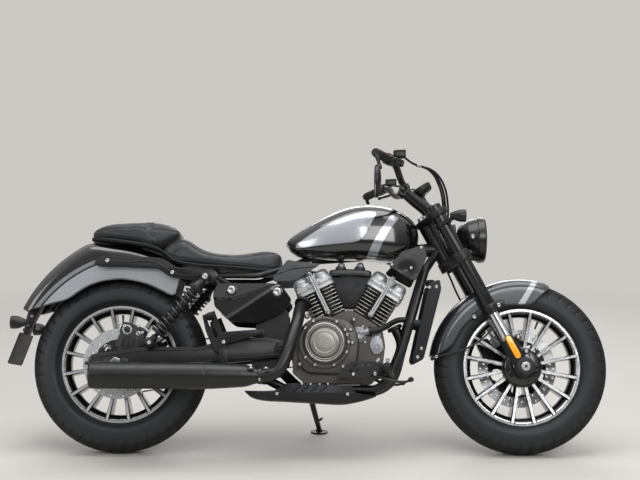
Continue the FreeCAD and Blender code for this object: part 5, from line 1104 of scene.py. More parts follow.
def puffed(name, pile):
    # the form remeshed and blown up by cloth pressure from slightly inside itself, each point's travel capped
    piece = makePiece(name, pile, "chassis", [seatVinyl], ["seat"], smooth=180)
    mesh = piece.data
    count = len(mesh.vertices)
    flat, way = np.zeros(count * 3), np.zeros(count * 3)
    mesh.vertices.foreach_get("co", flat)
    mesh.vertices.foreach_get("normal", way)
    mesh.vertices.foreach_set("co", flat - way * clothWork["inset"] / metre)
    bpy.context.view_layer.objects.active = piece
    piece.select_set(True)
    remesh = piece.modifiers.new("remesh", "REMESH")
    remesh.mode = "VOXEL"
    remesh.voxel_size = clothWork["voxel"] / metre
    bpy.ops.object.modifier_apply(modifier=remesh.name)
    mesh = piece.data
    count = len(mesh.vertices)
    start, end = np.zeros(count * 3), np.zeros(count * 3)
    mesh.vertices.foreach_get("co", start)
    cloth = piece.modifiers.new("cloth", "CLOTH")
    cloth.settings.use_pressure = True
    cloth.settings.uniform_pressure_force = clothWork["pressure"]
    cloth.settings.effector_weights.gravity = 0
    cloth.settings.quality = 6
    cloth.settings.tension_stiffness = cloth.settings.compression_stiffness = 12
    cloth.settings.bending_stiffness = 2.0
    cloth.point_cache.frame_start, cloth.point_cache.frame_end = 1, clothWork["frames"]
    for step in range(1, clothWork["frames"] + 1):
        bpy.context.scene.frame_set(step)
    evaluated = piece.evaluated_get(bpy.context.evaluated_depsgraph_get())
    evaluated.data.vertices.foreach_get("co", end)
    piece.modifiers.remove(cloth)
    travel = (end - start).reshape(-1, 3)
    reach = np.linalg.norm(travel, axis=1, keepdims=True)
    cap = clothWork["cap"] / metre
    travel = travel * np.minimum(1, cap / np.maximum(reach, 1e-9))
    mesh.vertices.foreach_set("co", (start.reshape(-1, 3) + travel).ravel())
    bpy.context.scene.frame_set(1)
    mesh.polygons.foreach_set("use_smooth", np.ones(len(mesh.polygons), bool))
    piece.select_set(False)
    smoother = piece.modifiers.new("smooth", "SUBSURF")
    smoother.levels = smoother.render_levels = 1
    bpy.context.view_layer.objects.active = piece
    bpy.ops.object.modifier_apply(modifier=smoother.name)
    return piece


def fromFrame(points):
    # frame metres back to upright millimetres
    away = (np.asarray(points, float) - groundPoint) * metre
    return np.stack([away @ alongWay, away @ axleWay, away @ upWay], axis=-1)


def onSurface(tree, points, lift=0.0):
    # the nearest places on a piece to a run of upright points, lifted along the surface's normal
    found = [tree.find_nearest(Vector(point)) for point in toFrame(points).tolist()]
    return fromFrame([list(place + way * lift / metre) for place, way, _, _ in found])


def sewSeam(piece, runs, width, depth):
    # a sewn channel: points near the run sink by depth times one minus the squared share of the width
    mesh = piece.data
    count = len(mesh.vertices)
    flat, way = np.zeros(count * 3), np.zeros(count * 3)
    mesh.vertices.foreach_get("co", flat)
    mesh.vertices.foreach_get("normal", way)
    flat, way = flat.reshape(-1, 3), way.reshape(-1, 3)
    sink = np.zeros(count)
    for run in runs:
        line = toFrame(run)
        low, high = line.min(axis=0) - width / metre, line.max(axis=0) + width / metre
        near = np.flatnonzero(((flat > low) & (flat < high)).all(axis=1))
        gap = np.linalg.norm(flat[near][:, None] - line[None], axis=2).min(axis=1) * metre
        sink[near] = np.maximum(sink[near], depth * np.clip(1 - (gap / width) ** 2, 0, 1))
    mesh.vertices.foreach_set("co", (flat - way * sink[:, None] / metre).ravel())
    mesh.update()


def surfaceTree(piece):
    work = bmesh.new()
    work.from_mesh(piece.data)
    tree = BVHTree.FromBMesh(work)
    work.free()
    return tree


def bothRuns(points, count):
    # the same seam on the right and on the left
    run = curveThrough(points, count)
    return [run, run * (1, -1, 1)]


seams = {
    # along the rider's hip line, over the nose, and where the two cushions meet
    "rider": [[(-596, 96, 775), (-560, 112, 800), (-520, 120, 806), (-470, 126, 776), (-420, 130, 750),
               (-350, 128, 740), (-280, 112, 744), (-210, 88, 760), (-166, 62, 766), (-152, 30, 762),
               (-151, 0, 762)], [(-600, 98, 752), (-560, 122, 724), (-500, 142, 706), (-420, 152, 700),
                                 (-330, 146, 694), (-240, 122, 686), (-180, 92, 684), (-152, 60, 700),
                                 (-146, 20, 708)]],
    "pillion": [[(-884, 20, 822), (-872, 56, 832), (-840, 82, 842), (-770, 98, 848), (-690, 106, 850),
                 (-610, 110, 846), (-556, 108, 836), (-530, 92, 828)], [(-880, 40, 808), (-840, 84, 802),
                         (-770, 102, 794), (-700, 110, 784), (-640, 114, 776)]]}


def makeSeat():
    trim = Pile()
    trees = {}
    for name in ("rider", "pillion"):
        shape = cushions[name]
        pile = Pile()
        pile.grid(cushionGrid(shape), around=True, ends=True)
        piece = puffed(name + "Cushion", pile)
        runs = [run for points in seams[name] for run in bothRuns(points, 160)]
        tree = surfaceTree(piece)
        runs = [onSurface(tree, run) for run in runs]
        sewSeam(piece, runs, 7.0, 2.6)
        trees[name] = surfaceTree(piece)
        for run in runs:
            line = onSurface(trees[name], run, 0.6)
            addTube(trim, line, 1.7, 8, 0, (0, 1, 0))
    # the passenger's strap: a flat band over the cushion with its edges folded and stitched
    strap = {"middle": (-650, 0, 812), "half": 118, "rise": 62}
    turn = np.linspace(math.radians(-38), math.radians(218), 120)
    ring = (np.stack([0 * turn, strap["half"] * np.cos(turn), strap["rise"] * np.sin(turn)],
                     axis=1) + strap["middle"])
    rows = []
    for offset, lift in ((-13.5, 0.2), (-13.0, 2.6), (-11.0, 3.2), (-9.5, 2.5), (9.5, 2.5), (11.0, 3.2),
                         (13.0, 2.6), (13.5, 0.2)):
        rows.append(onSurface(trees["pillion"], ring + (offset, 0, 0), lift))
    band = np.stack(rows, axis=1)
    pile = Pile()
    pile.grid(np.concatenate([band, onSurface(trees["pillion"], ring, -2.0)[:, None]], axis=1), around=True,
              ends=True)
    makePiece("pillionStrap", pile, "chassis", [seatVinyl], ["seat"], smooth=60)
    for offset in (-8.0, 8.0):
        line = onSurface(trees["pillion"], ring + (offset, 0, 0), 2.7)
        for start in range(2, len(line) - 3, 3):
            addTube(trim, line[start:start + 3], 0.7, 6, 1, (0.9, 0.1, 0.3))
    makePiece("seatPiping", trim, "chassis", [seatVinyl, seamThread], ["seat"], smooth=60)
    # moulded base pan under both cushions
    base = Pile()
    low = np.array([(-876, 806), (-850, 803), (-789, 795), (-700, 782), (-640, 770), (-600, 752), (-560, 722),
                    (-500, 702), (-444, 694), (-346, 690), (-248, 684), (-185, 682)], float)
    wide = np.array([40, 66, 92, 102, 106, 104, 112, 128, 138, 132, 112, 84], float)
    spine = spline(low[:, 0], np.stack([low[:, 1], wide], axis=1), np.linspace(-876, -185, 90))
    x = np.linspace(-876, -185, 90)
    ring = np.array([(-1.0, 5.0), (-1.02, 2.0), (-0.98, -5.0), (-0.9, -7.0), (0.9, -7.0), (0.98, -5.0),
                     (1.02, 2.0), (1.0, 5.0)])
    surface = np.stack([np.repeat(x[:, None], 8, axis=1), spine[:, 1:] * ring[:, 0],
                        spine[:, :1] + ring[:, 1]], axis=-1)
    base.grid(surface, around=True, ends=True)
    makePiece("seatBase", base, "chassis", [mouldedBlack], ["seat"], smooth=40)


makeSeat()


print("stage: engine")
engine = {"baffle": [(62, 566), (84, 548), (132, 548), (156, 566), (188, 664), (32, 664)],
          "crank": (98.0, 378.0), "front": 31.6, "rear": -26.2, "deck": 140.0, "fins": 8, "finStart": 152.0,
          "finPitch": 13.8, "finHalf": 1.95, "finReach": (66.0, 72.0), "notch": (13.0, 58.0),
          "headLow": 258.0, "lobes": (-43.0, 40.0), "lobeHalf": (31.0, 70.0, 34.0), "lobeAt": 296.0,
          "barY": 80.0, "barSpan": (168.0, 318.0)}


def onCylinder(angle, along, ahead, y):
    # a place by its distance from the crank along a cylinder, ahead of its axis, and across
    turn = math.radians(angle)
    along, ahead, y = np.broadcast_arrays(np.asarray(along, float), np.asarray(ahead, float),
                                          np.asarray(y, float))
    x = engine["crank"][0] + math.sin(turn) * along + math.cos(turn) * ahead
    z = engine["crank"][1] + math.cos(turn) * along - math.sin(turn) * ahead
    return np.stack([x, y, z], axis=-1)


def cylinderAxes(angle):
    turn = math.radians(angle)
    return (np.array([math.sin(turn), 0, math.cos(turn)]), np.array([math.cos(turn), 0, -math.sin(turn)]),
            yAxis)


def addPillow(pile, centre, halves, axes=(xAxis, yAxis, zAxis), squareUp=0.5, squareAround=0.5, kind=0,
              rows=24, columns=48):
    # a squarish ball: cos^p(u) cos^q(v), cos^p(u) sin^q(v) and sin^p(u) along its three axes
    u = np.linspace(-np.pi / 2, np.pi / 2, rows)[:, None]
    v = np.linspace(0, 2 * np.pi, columns, endpoint=False)[None]
    belt = power(np.cos(u), squareUp)
    a = halves[0] * belt * power(np.cos(v), squareAround)
    b = halves[1] * belt * power(np.sin(v), squareAround)
    c = halves[2] * power(np.sin(u), squareUp) + 0 * v
    grid = (np.asarray(centre, float) + a[..., None] * axes[0] + b[..., None] * axes[1] + c[...,
            None] * axes[2])
    return pile.grid(grid, kind, around=True, ends=True)


def addBlock(pile, angle, outline, levels, kind=0, capKind=None):
    # an outline square to a cylinder, carried up through levels of (along, inset); its ends may differ in
    # finish
    rings = [onCylinder(angle, along, ring[:, 0], ring[:, 1]) for along, inset in levels
             for ring in [offsetOutline(outline, inset)]]
    pile.grid(np.stack(rings), kind, around=True, ends=True)
    if capKind is not None:
        pile.kinds[-2:] = [capKind, capKind]
    return pile


def makeCylinders():
    ahead, wide = engine["finReach"]
    notchX, notchY = engine["notch"]
    corners = [(-ahead, -wide), (-notchX, -wide), (-notchX, -notchY), (notchX, -notchY), (notchX, -wide),
               (ahead, -wide), (ahead, wide), (notchX, wide), (notchX, notchY), (-notchX, notchY),
               (-notchX, wide), (-ahead, wide)]
    finLine = rounded(corners, 9, 5)
    core = rounded([(-50, -52), (50, -52), (50, 52), (-50, 52)], 16, 6)
    pile = Pile()
    half = engine["finHalf"]
    for angle in (engine["front"], engine["rear"]):
        addBlock(pile, angle, core, [(engine["deck"], 0), (engine["headLow"], 0)])
        for i in range(engine["fins"]):
            at = engine["finStart"] + engine["finPitch"] * i
            addBlock(pile, angle, finLine, [(at - half * 0.7, 7.0), (at - half, 0.6), (at - half * 0.6, 0.0),
                                            (at + half * 0.6, 0.0), (at + half, 0.6), (at + half * 0.7, 7.0)],
                     1, 0)
        # the foot flange on the crankcase deck and its nuts
        foot = rounded([(-62, -66), (62, -66), (62, 66), (-62, 66)], 14, 6)
        addBlock(pile, angle, foot, [(engine["deck"] + 0.3, 0), (engine["deck"] + 7, 0),
                                     (engine["deck"] + 8, 1)])
    makePiece("finnedCylinders", pile, "chassis", [finBlack, finEdge], ["cylinders"], smooth=35)


def makeHeads():
    pile = Pile()
    for angle in (engine["front"], engine["rear"]):
        up, ahead, side = cylinderAxes(angle)
        axes = (ahead, side, up)
        base = rounded([(-76, -72), (74, -72), (74, 72), (-76, 72)], 20, 7)
        low = engine["headLow"]
        addBlock(pile, angle, base, [(low, 3), (low + 2, 0.5), (low + 9, 0), (low + 12, 2.2), (low + 14, 2.2),
                                     (low + 17, 0), (low + 30, 1.0), (low + 42, 6), (low + 46, 14)])
        for out in engine["lobes"]:
            centre = onCylinder(angle, engine["lobeAt"], out, 0)
            addPillow(pile, centre, engine["lobeHalf"], axes, 0.62, 0.62, 0, 28, 56)
        # a saddle between the lobes with the plug's well, and bolts along the joint
        addPillow(pile, onCylinder(angle, engine["lobeAt"] - 4, 0, 0), (22, 62, 20), axes, 0.6, 0.6)
        for y in (-1, 1):
            places = [onCylinder(angle, low + 22, out, y * 71.5) for out in (-66, -22, 20, 64)]
            addBolts(pile, places, side * y, 6.0, 6.0, 1)
            addBolts(pile, [onCylinder(angle, 327, -2, y * 62)], up, 7.5, 9, 1)
        bar = engine["barY"]
        for y in (-bar, bar):
            # twin silver tappet tubes with an eye at the foot and a forked bracket at the head
            start, end = engine["barSpan"]
            along = np.linspace(start, end, 14)
            for out in (-3.4, 5.2):
                radius = np.where((along < start + 8) | (along > end - 26), 5.0, 4.1)
                addTube(pile, onCylinder(angle, along, out, y), radius, 16, 0, (0, 1, 0))
            eye = softProfile([(-9, 0), (-9, 9), (-6, 11), (5, 11), (7, 9), (7, 0)], 1.5)
            way = side * np.sign(y)
            addTurned(pile, eye, onCylinder(angle, start - 2, 1, y - np.sign(y) * 4), way, 32)
            addBolts(pile, [onCylinder(angle, start - 2, 1, y + np.sign(y) * 2.5)], way, 7.5, 5.0, 1)
            for out in (-1, 1):
                arm = [onCylinder(angle, end - 30, 1 + out * 4, y), onCylinder(angle, end - 12, 1 + out * 10,
                        y * 0.95), onCylinder(angle, end + 2, 1 + out * 15, y * 0.88)]
                addTube(pile, curveThrough(arm, 10), 4.6, 12, 0, (0, 1, 0))
            addPillow(pile, onCylinder(angle, end + 4, 1, y * 0.92), (9, 8, 12), axes, 0.6, 0.6)
            addBolts(pile, [onCylinder(angle, end + 6, 1, y * 0.92 + np.sign(y) * 6.5)], way, 5.5, 4.5, 1)
    # the dark baffle that closes the valley between the two heads
    addPlate(pile, engine["baffle"], -42, 42, 8, 2.0, 2, 5)
    makePiece("cylinderHeads", pile, "chassis", [silverCasting, brightBolt, mouldedBlack],
              ["cylinder_heads"], smooth=42)


def makeIntake():
    pile = Pile()
    path = curveThrough([(30, 0, 676), (60, 0, 679), (110, 0, 680), (160, 0, 678), (190, 0, 673)], 30)
    ring = rounded([(-58, -10), (58, -10), (58, 14), (-58, 14)], 9, 7)
    section = np.stack([0 * ring[:, 0], ring[:, 0], ring[:, 1]], axis=-1)
    squeeze = np.ones(30)
    squeeze[[0, -1]], squeeze[[1, -2]] = 0.82, 0.94
    surface = path[:, None] + section * squeeze[:, None, None]
    pile.grid(surface, 0, around=True, ends=True)
    for x in (74, 146):
        for y in (-1, 1):
            # throttle caps: a black boss with a bright domed cap held by two screws
            addSoft(pile, [(-12, 0), (-12, 21), (4, 21), (6, 18), (6, 0)], 2, (x, y * 34, 696), zAxis, 28)
            dome = [(4, 0), (4, 17), (7, 17), (9, 13.5), (13, 12.5), (18, 9.5), (20.5, 5), (21, 0)]
            addSoft(pile, dome, 1.5, (x, y * 34, 697), zAxis, 28, 1)
            addSoft(pile, [(0, 0), (0, 13), (6, 12.5), (12, 9), (14, 4), (14.2, 0)], 1.2,
                    (x + 2, y * 52, 706), unit([0, y, 0.35]), 32, 1)
            addBolts(pile, [(x - 15, y * 34, 702), (x + 15, y * 34, 702)], zAxis, 3.6, 3, 1, 12)
    # rubber sleeves down to each head
    for x, tilt in ((52, -0.42), (158, 0.45)):
        addSoft(pile, [(-14, 0), (-14, 24), (10, 24), (12, 26), (20, 26), (22, 22), (30, 22), (30, 0)], 2,
                  (x, 0, 662), unit([tilt, 0, -1]), 40)
    makePiece("intakeRunner", pile, "chassis", [greyPlastic, rawCasting], ["intake"],
              smooth=38)


clutch = {"centre": (13.0, 410.0), "face": 140.3, "boltRadius": 88.5,
          "boltTurns": (19, 32, 60, 118, 144, 218, 247, 293, 337, 361)}


def addCoverPlate(pile, outline, yFrom, yTo, corner, kind=0, draft=6.0):
    # a cast cover: walls that lean in and a rolled edge, both sides of the machine share it
    ring = rounded(np.array(outline, float), corner, 8)
    sign = 1 if yTo > yFrom else -1
    deep = abs(yTo - yFrom)
    levels = [(0, 0), (deep * 0.55, draft * 0.3), (deep * 0.84, draft * 0.65), (deep * 0.96, draft * 1.2),
              (deep, draft * 2.0)]
    rows = [offsetOutline(ring, inset) for _, inset in levels]
    grid = np.stack([np.stack([row[:, 0], np.full(len(row), yFrom + sign * rise), row[:, 1]], axis=1)
                     for row, (rise, _) in zip(rows, levels)])
    return pile.grid(grid, kind, around=True, ends=True)


def makeEngineCovers():
    pile = Pile()
    face = clutch["face"]
    x, z = clutch["centre"]
    addCoverPlate(pile, [(-86, 330), (-52, 296), (92, 292), (132, 322), (142, 380), (140, 440), (112, 494),
                         (20, 512), (-44, 498), (-86, 456)], -110.3, -face, 26)
    steps = [(-6, 0), (-6, 97), (3, 96.5), (6, 93), (6.5, 90), (6.5, 84), (4.5, 82.5), (4.5, 80), (10, 79),
             (13, 76), (14, 71), (14, 68.5), (16, 67.5), (20, 66.5)]
    addSoft(pile, steps + [(20, 0)], 1.2, (x, -face, z), -yAxis, 88)
    # a bright machined ring round the lid
    addSoft(pile, [(17, 0), (17, 72), (21.0, 71.5), (22.0, 69.5), (22.0, 67), (19.0, 66), (17.5, 60),
                   (17.5, 0)], 0.6, (x, -face, z), -yAxis, 88, 6)
    ring = [(15, 0), (15, 65), (21, 64.5), (23.0, 63.5), (23.4, 62.5), (22.4, 60.5), (19.5, 59), (18.5, 57.5),
            (20.5, 50), (22.0, 45), (23.4, 44), (24.2, 42.5), (24.2, 38), (23.6, 37), (23.6, 35.5),
            (24.4, 34.5), (24.8, 20), (24.8, 0)]
    addSoft(pile, ring, 0.8, (x, -face, z), -yAxis, 88, 1)
    turns = np.radians(180 - np.array(clutch["boltTurns"], float))
    radius = clutch["boltRadius"]
    places = np.stack([x - np.cos(turns) * radius, np.full(len(turns), -face - 6.0),
                       z + np.sin(turns) * radius], axis=1)
    addBolts(pile, places, -yAxis, 6.4, 6.5, 2)
    for place in [(109, 458), (116, 410), (81, 322), (121, 495), (-52, 506), (27, 520), (-78, 330)]:
        addSoft(pile, [(0, 0), (0, 10), (7, 9), (8, 7.5), (8, 0)], 1, (place[0], -face + 5, place[1]), -yAxis,
                24)
        addBolts(pile, [(place[0], -face - 2.5, place[1])], -yAxis, 6.2, 6, 2)
    # water pump: a round cap with its outlet, beside the cover
    pump = softProfile([(0, 0), (0, 30), (8, 30), (11, 27), (12, 22), (18, 20.5), (20, 18), (20, 8),
                        (17.5, 6), (17.5, 0)], 1.5)
    addTurned(pile, pump, (140, -110.3, 441), -yAxis, 40, 3)
    addTube(pile, curveThrough([(146, -118, 444), (164, -121, 450), (184, -120, 455)], 16), 12.5, 24, 3,
            (0, 1, 0))
    addSoft(pile, [(0, 0), (0, 15.5), (3, 16.5), (10, 16.5), (13, 15.5), (13, 0)], 1, (176, -120.4, 453),
            (1, 0, 0.18), 24, 4)
    pumpBolts = [(150, 418), (163, 414), (155, 472), (169, 463), (118, 434)]
    addBolts(pile, [(px, -111.5, pz) for px, pz in pumpBolts], -yAxis, 6.0, 9, 2)
    hose = [(186, -120, 455), (212, -118, 460), (238, -104, 470), (262, -82, 486), (292, -66, 500),
            (330, -60, 500)]
    addTube(pile, curveThrough(hose, 40), 10.5, 24, 4, (0, 1, 0))
    # grey sensor plate with its eye
    addPlate(pile, [(206, 440), (224, 426), (232, 389), (217, 371), (195, 367), (180, 400), (186, 426)], -122,
             -116, 8, 1.5, 5)
    addPlate(pile, [(196, 430), (214, 420), (218, 392), (206, 378), (192, 396)], -117, -96, 5, 1.5, 4)
    addSoft(pile, [(0, 0), (0, 10), (3, 9.5), (4, 7.5), (2.0, 6.8), (2.0, 0)], 0.6, (206, -122, 398), -yAxis,
            24, 5)
    addBolts(pile, [(209, -111, 345), (246, -109, 349), (214, -111, 436)], -yAxis, 8, 8, 2)
    # left side: generator cover with its stepped lid and bolts
    left = [(-112, 330), (-80, 300), (30, 290), (150, 300), (178, 350), (178, 420), (130, 460), (-80, 455),
            (-112, 430)]
    addCoverPlate(pile, left, 110.3, face, 22)
    lid = [(-4, 0), (-4, 82), (4, 81), (6, 78), (6, 72), (9, 70), (11, 64), (11, 42), (13, 40), (14.4, 34),
           (14.4, 0)]
    addSoft(pile, lid, 1.5, (engine["crank"][0] - 6, face, engine["crank"][1]), yAxis, 68)
    turn = np.radians(np.arange(9) * 40 + 10)
    rim = np.stack([92 + np.cos(turn) * 75, np.full(9, face + 6), 378 + np.sin(turn) * 75], axis=1)
    addBolts(pile, rim, yAxis, 6, 6, 2)
    addSoft(pile, [(0, 0), (0, 34), (5, 33), (7, 28), (7, 14), (9, 12), (9, 0)], 1.2, (-66, face, 384), yAxis,
            32)
    addBolts(pile, [(-66 + 27 * math.cos(t), face + 6, 384 + 27 * math.sin(t)) for t in (0.5, 2.1, 3.7, 5.2)],
             yAxis, 5, 5, 2)
    shaft = [(-12, 0), (-12, 13), (2, 13), (3, 8), (14, 8), (15, 6), (15, 0)]
    addSoft(pile, shaft, 1, (-88, face, 330), yAxis, 24, 2)
    makePiece("engineCovers", pile, "chassis", [bronzeCase, bronzeLid, brightBolt, rawCasting, sheathBlack,
                                                dialGreyPlate, brushedRing],
              ["engine_covers"], smooth=34)


# ring of the clutch lid, brushed aluminium under lacquer
brushedRing = finish("brushed aluminium ring", ("#a3a19c", "#b6b4b0"), (0.26, 0.34), 30, 1.6, 0.002,
                     Metallic=0.8)
# the sensor plate's grey paint over steel
dialGreyPlate = finish("grey painted sensor plate", ("#8d9096", "#9a9da2"), (0.36, 0.48), 24, 1.6, 0.03,
                       Metallic=0.3)
makeCylinders()
makeHeads()
makeIntake()
makeEngineCovers()

exhaust = {"y": -235.0, "end": -830.0, "z": 283.5, "seam": -415.0,
           "rearPipe": [(-66, -62, 562), (-79, -96, 536), (-84, -136, 505), (-96, -180, 455),
                        (-112, -212, 395), (-134, -230, 335), (-160, -235, 298), (-196, -235, 285),
                        (-222, -235, 283)],
           "frontPipe": [(276, -42, 474), (300, -42, 420), (290, -42, 340), (262, -42, 272), (214, -42, 240),
                         (140, -42, 236), (0, -42, 236), (-62, -44, 238), (-112, -66, 272), (-138, -120, 296),
                         (-158, -190, 296), (-190, -228, 286), (-222, -235, 283)]}


def makeExhaust():
    pile = Pile()
    end, seam, mid = exhaust["end"], exhaust["seam"], exhaust["z"]
    centre = (end, exhaust["y"], mid)
    length = seam - end
    drum = [(2, 0), (2, 17), (-1, 19), (-1, 22), (2, 24), (4, 34), (3, 40), (0.5, 42), (0, 44), (2, 47),
            (7, 48.5), (length - 3, 48.5), (length - 1.5, 47.6), (length + 1, 47.6), (length + 3, 48.5),
            (length + 20, 48.0), (length + 70, 45.0), (length + 131, 41), (length + 150, 38.5),
            (length + 172, 31), (length + 190, 26.5), (length + 197, 25.5), (length + 198, 23),
            (length + 199, 0)]
    addSoft(pile, drum, 3, centre, xAxis, 88)
    # the outlet as a dark disc on the closed end, painted shade for the opening; clamp ring at the mouth and
    # the two oval fixings
    addSoft(pile, [(-1.4, 0), (-1.4, 15.5), (1, 16.2), (1, 0)], 0.5, centre, xAxis, 32, 1)
    addSoft(pile, [(188, 0), (188, 28.5), (190, 30), (202, 30), (204, 28.5), (204, 0)], 1,
            (seam, exhaust["y"], mid), xAxis, 44)
    addBolts(pile, [(seam + 196, exhaust["y"] - 26, mid - 14)], unit([0, -1, -0.4]), 6, 6, 2)
    for x in (-250, -196):
        addPillow(pile, (x, exhaust["y"] - 30, mid + 24), (13, 4.5, 8), (xAxis, unit([0, -0.75, 0.66]),
                unit([0, 0.66, 0.75])), 0.7, 0.9, 0)
        addBolts(pile, [(x, exhaust["y"] - 32, mid + 27)], unit([0, -0.75, 0.66]), 5, 3.5, 2)
    addTube(pile, curveThrough(exhaust["rearPipe"], 90), 22.5, 40, 0, (0.2, 0.9, 0.1))
    addTube(pile, curveThrough(exhaust["frontPipe"], 140), 19.0, 32, 0, (0.1, 1.0, 0.1))
    for centreAt, way, reach in (((-68, -66, 560), (-0.25, -0.75, -0.6), 30),
                                 ((276, -42, 474), (0.42, 0, -0.9), 27)):
        addSoft(pile, [(-4, 0), (-4, reach), (0, reach + 2), (8, reach + 2), (11, reach), (11, 0)], 1.5,
                centreAt, unit(way), 28, 3)
    # hanger from the muffler up to the passenger peg's bracket
    addPlate(pile, [(-372, 330), (-342, 328), (-338, 372), (-352, 388), (-374, 384)], -170, -164, 6, 1.2, 3)
    addTube(pile, np.array([(-356, -167, 344), (-356, -200, 332), (-356, -224, 326)]), 8, 16, 3, (1, 0, 0))
    makePiece("exhaustSystem", pile, "chassis", [exhaustBlack, sheathBlack, brightBolt, castBlack],
              ["exhaust_pipes", "muffler"], smooth=36)


makeExhaust()

pan = {"half": 150.0, "shoulder": 227.0,
       "bottom": [(-280, 229), (-262, 212), (-240, 203), (-160, 196), (-75, 192), (6, 188), (90, 186),
                  (150, 197), (186, 207), (205, 214)],
       "top": [(-280, 233), (-200, 232), (-168, 234), (-122, 262), (-60, 262), (114, 252), (126, 226),
               (205, 218)]}


def makePan():
    pile = Pile()
    x = np.concatenate([np.linspace(-280, -240, 8), np.linspace(-230, 130, 50), np.linspace(140, 205, 12)])
    low = spline([p[0] for p in pan["bottom"]], [p[1] for p in pan["bottom"]], x)
    top = np.interp(x, [p[0] for p in pan["top"]], [p[1] for p in pan["top"]])
    nose, tip = np.clip(x - 130, 0, None) / 75, np.clip(-240 - x, 0, None) / 40
    narrow = (1 - 0.34 * nose ** 1.6) * (1 - 0.2 * tip)
    shoulder = np.minimum(pan["shoulder"], top - 3)
    shoulder = np.maximum(shoulder, low + 4)
    half = pan["half"] * narrow
    rise = np.clip(top - shoulder, 2, 60)
    ring = [(half - 17 * rise / 35 - 14, top), (half - 17 * rise / 35 - 3, top),
            (half - 17 * rise / 35, top - 1.5), (half - 1.0, shoulder + 2), (half + 0.0, shoulder),
            (half - 0.5, shoulder - 3), (half - 5, low + (shoulder - low) * 0.35),
            (half - 13, low + (shoulder - low) * 0.12), (half - 28, low + 1), (half - 40, low)]
    right = np.stack([np.stack([x, -y, z], axis=1) for y, z in ring], axis=1)
    left = right[:, ::-1] * (1, -1, 1)
    pile.grid(np.concatenate([right, left], axis=1), 0, around=True, ends=True)
    for y in (-1, 1):
        for at in (-94, -62, -29, 5):
            # slanted louvres on the sloping side: a pressed hood, and under it a darker tube as the painted
            # shade of the slot
            foot, head = np.array([at - 9.0, y * 149.0, 232.0]), np.array([at + 15.0, y * 139.8, 256.0])
            path = np.linspace(foot, head, 9)
            addTube(pile, path + (3.6, 0, 0), [1.2, 2.4, 2.9, 3.1, 3.1, 3.1, 2.9, 2.4, 1.2], 10, 0, (0, 1, 0))
            addTube(pile, path + (0, y * 0.2, 0), [1.0, 1.8, 2.0, 2.0, 2.0, 2.0, 2.0, 1.8, 1.0], 8, 1,
                    (0, 1, 0))
        addBolts(pile, [(px, y * 133, 258) for px in (-70, -38, -4, 26)], unit([0, y, 0.5]), 4.5, 3, 2)
        addBolts(pile, [(-160, y * 150, 222), (98, y * 150, 222)], yAxis * y, 6.5, 3.5, 2)
    makePiece("bellyPan", pile, "chassis", [mouldedBlack, sheathBlack, brightBolt],
              ["belly_pan"], smooth=34)


makePan()


def addSheet(pile, lower, upper, columns, rows, y, thickness, holes, kind=0):
    # a flat patch between two runs with holes: points near a hole's edge slide onto it, less the cells inside
    low = np.stack([np.interp(np.linspace(0, 1, columns), np.linspace(0, 1, len(lower)),
                              [p[i] for p in lower]) for i in (0, 1)], axis=1)
    high = np.stack([np.interp(np.linspace(0, 1, columns), np.linspace(0, 1, len(upper)),
                               [p[i] for p in upper]) for i in (0, 1)], axis=1)
    share = np.linspace(0, 1, rows)[None, :, None]
    grid = low[:, None] * (1 - share) + high[:, None] * share
    x, z = grid[..., 0], grid[..., 1]
    near, pull = np.full(x.shape, 1e9), np.zeros(x.shape + (2,))
    for hx, hz, radius in holes:
        gap = np.stack([x - hx, z - hz], axis=-1)
        reach = np.linalg.norm(gap, axis=-1)
        closer = reach - radius < near
        near = np.where(closer, reach - radius, near)
        pull = np.where(closer[..., None], gap / np.maximum(reach, 1e-6)[..., None], pull)
    step = np.linalg.norm(high - low, axis=1).mean() / (rows - 1)
    edge = (np.abs(near) < step * 0.6)
    grid = grid - np.where(edge, near, 0)[..., None] * pull
    near = np.where(edge, 0.0, near)
    number = np.arange(columns * rows).reshape(columns, rows)
    quads = np.stack([number[:-1, :-1], number[1:, :-1], number[1:, 1:], number[:-1, 1:]],
                     axis=-1).reshape(-1, 4)
    front = np.stack([grid[..., 0], np.full_like(x, y), grid[..., 1]], axis=-1)
    return addCells(pile, front, quads, near, step, thickness, kind)


pegs = {"plateY": 172.0, "rider": (236.0, 318.0), "rear": (-405.0, 500.0), "radius": 15.5,
        "holes": [(124, 325, 6.0), (149, 325, 6.0), (174, 325, 6.0), (108, 306, 6.0), (133, 306, 6.0),
                  (158, 308, 6.0)],
        "leverPivot": (196.0, 294.0),
        "slots": [(x, z, 7.0) for fromX, fromZ, toX, toZ in ((-413, 492, -405, 472), (-396, 453, -386, 432))
                  for x, z in zip(np.linspace(fromX, toX, 6), np.linspace(fromZ, toZ, 6))]}


def addPeg(pile, x, z, yFrom, length, radius):
    # a folding peg: hinge fork with its bolt, and a ribbed rubber with a rounded end
    ribs = 7
    run = np.linspace(0, length - 16, ribs * 6 + 1)
    wave = radius - 1.6 * (0.5 - 0.5 * np.cos(run / (length - 16) * ribs * 2 * np.pi)) ** 3
    profile = np.concatenate([[(0, 0)], np.stack([run, wave], axis=1), [(length - 6, radius * 0.96),
            (length - 2, radius * 0.72), (length, radius * 0.4), (length, 0)]])
    addTurned(pile, profile, (x, yFrom + 14, z), yAxis, 24, 1)
    addPillow(pile, (x - 3, yFrom + 7, z), (17, 11, 13), (xAxis, yAxis, zAxis), 0.5, 0.5, 0, 16, 28)
    addBolts(pile, [(x - 6, yFrom + 6, z + 12)], zAxis, 5, 4, 2)


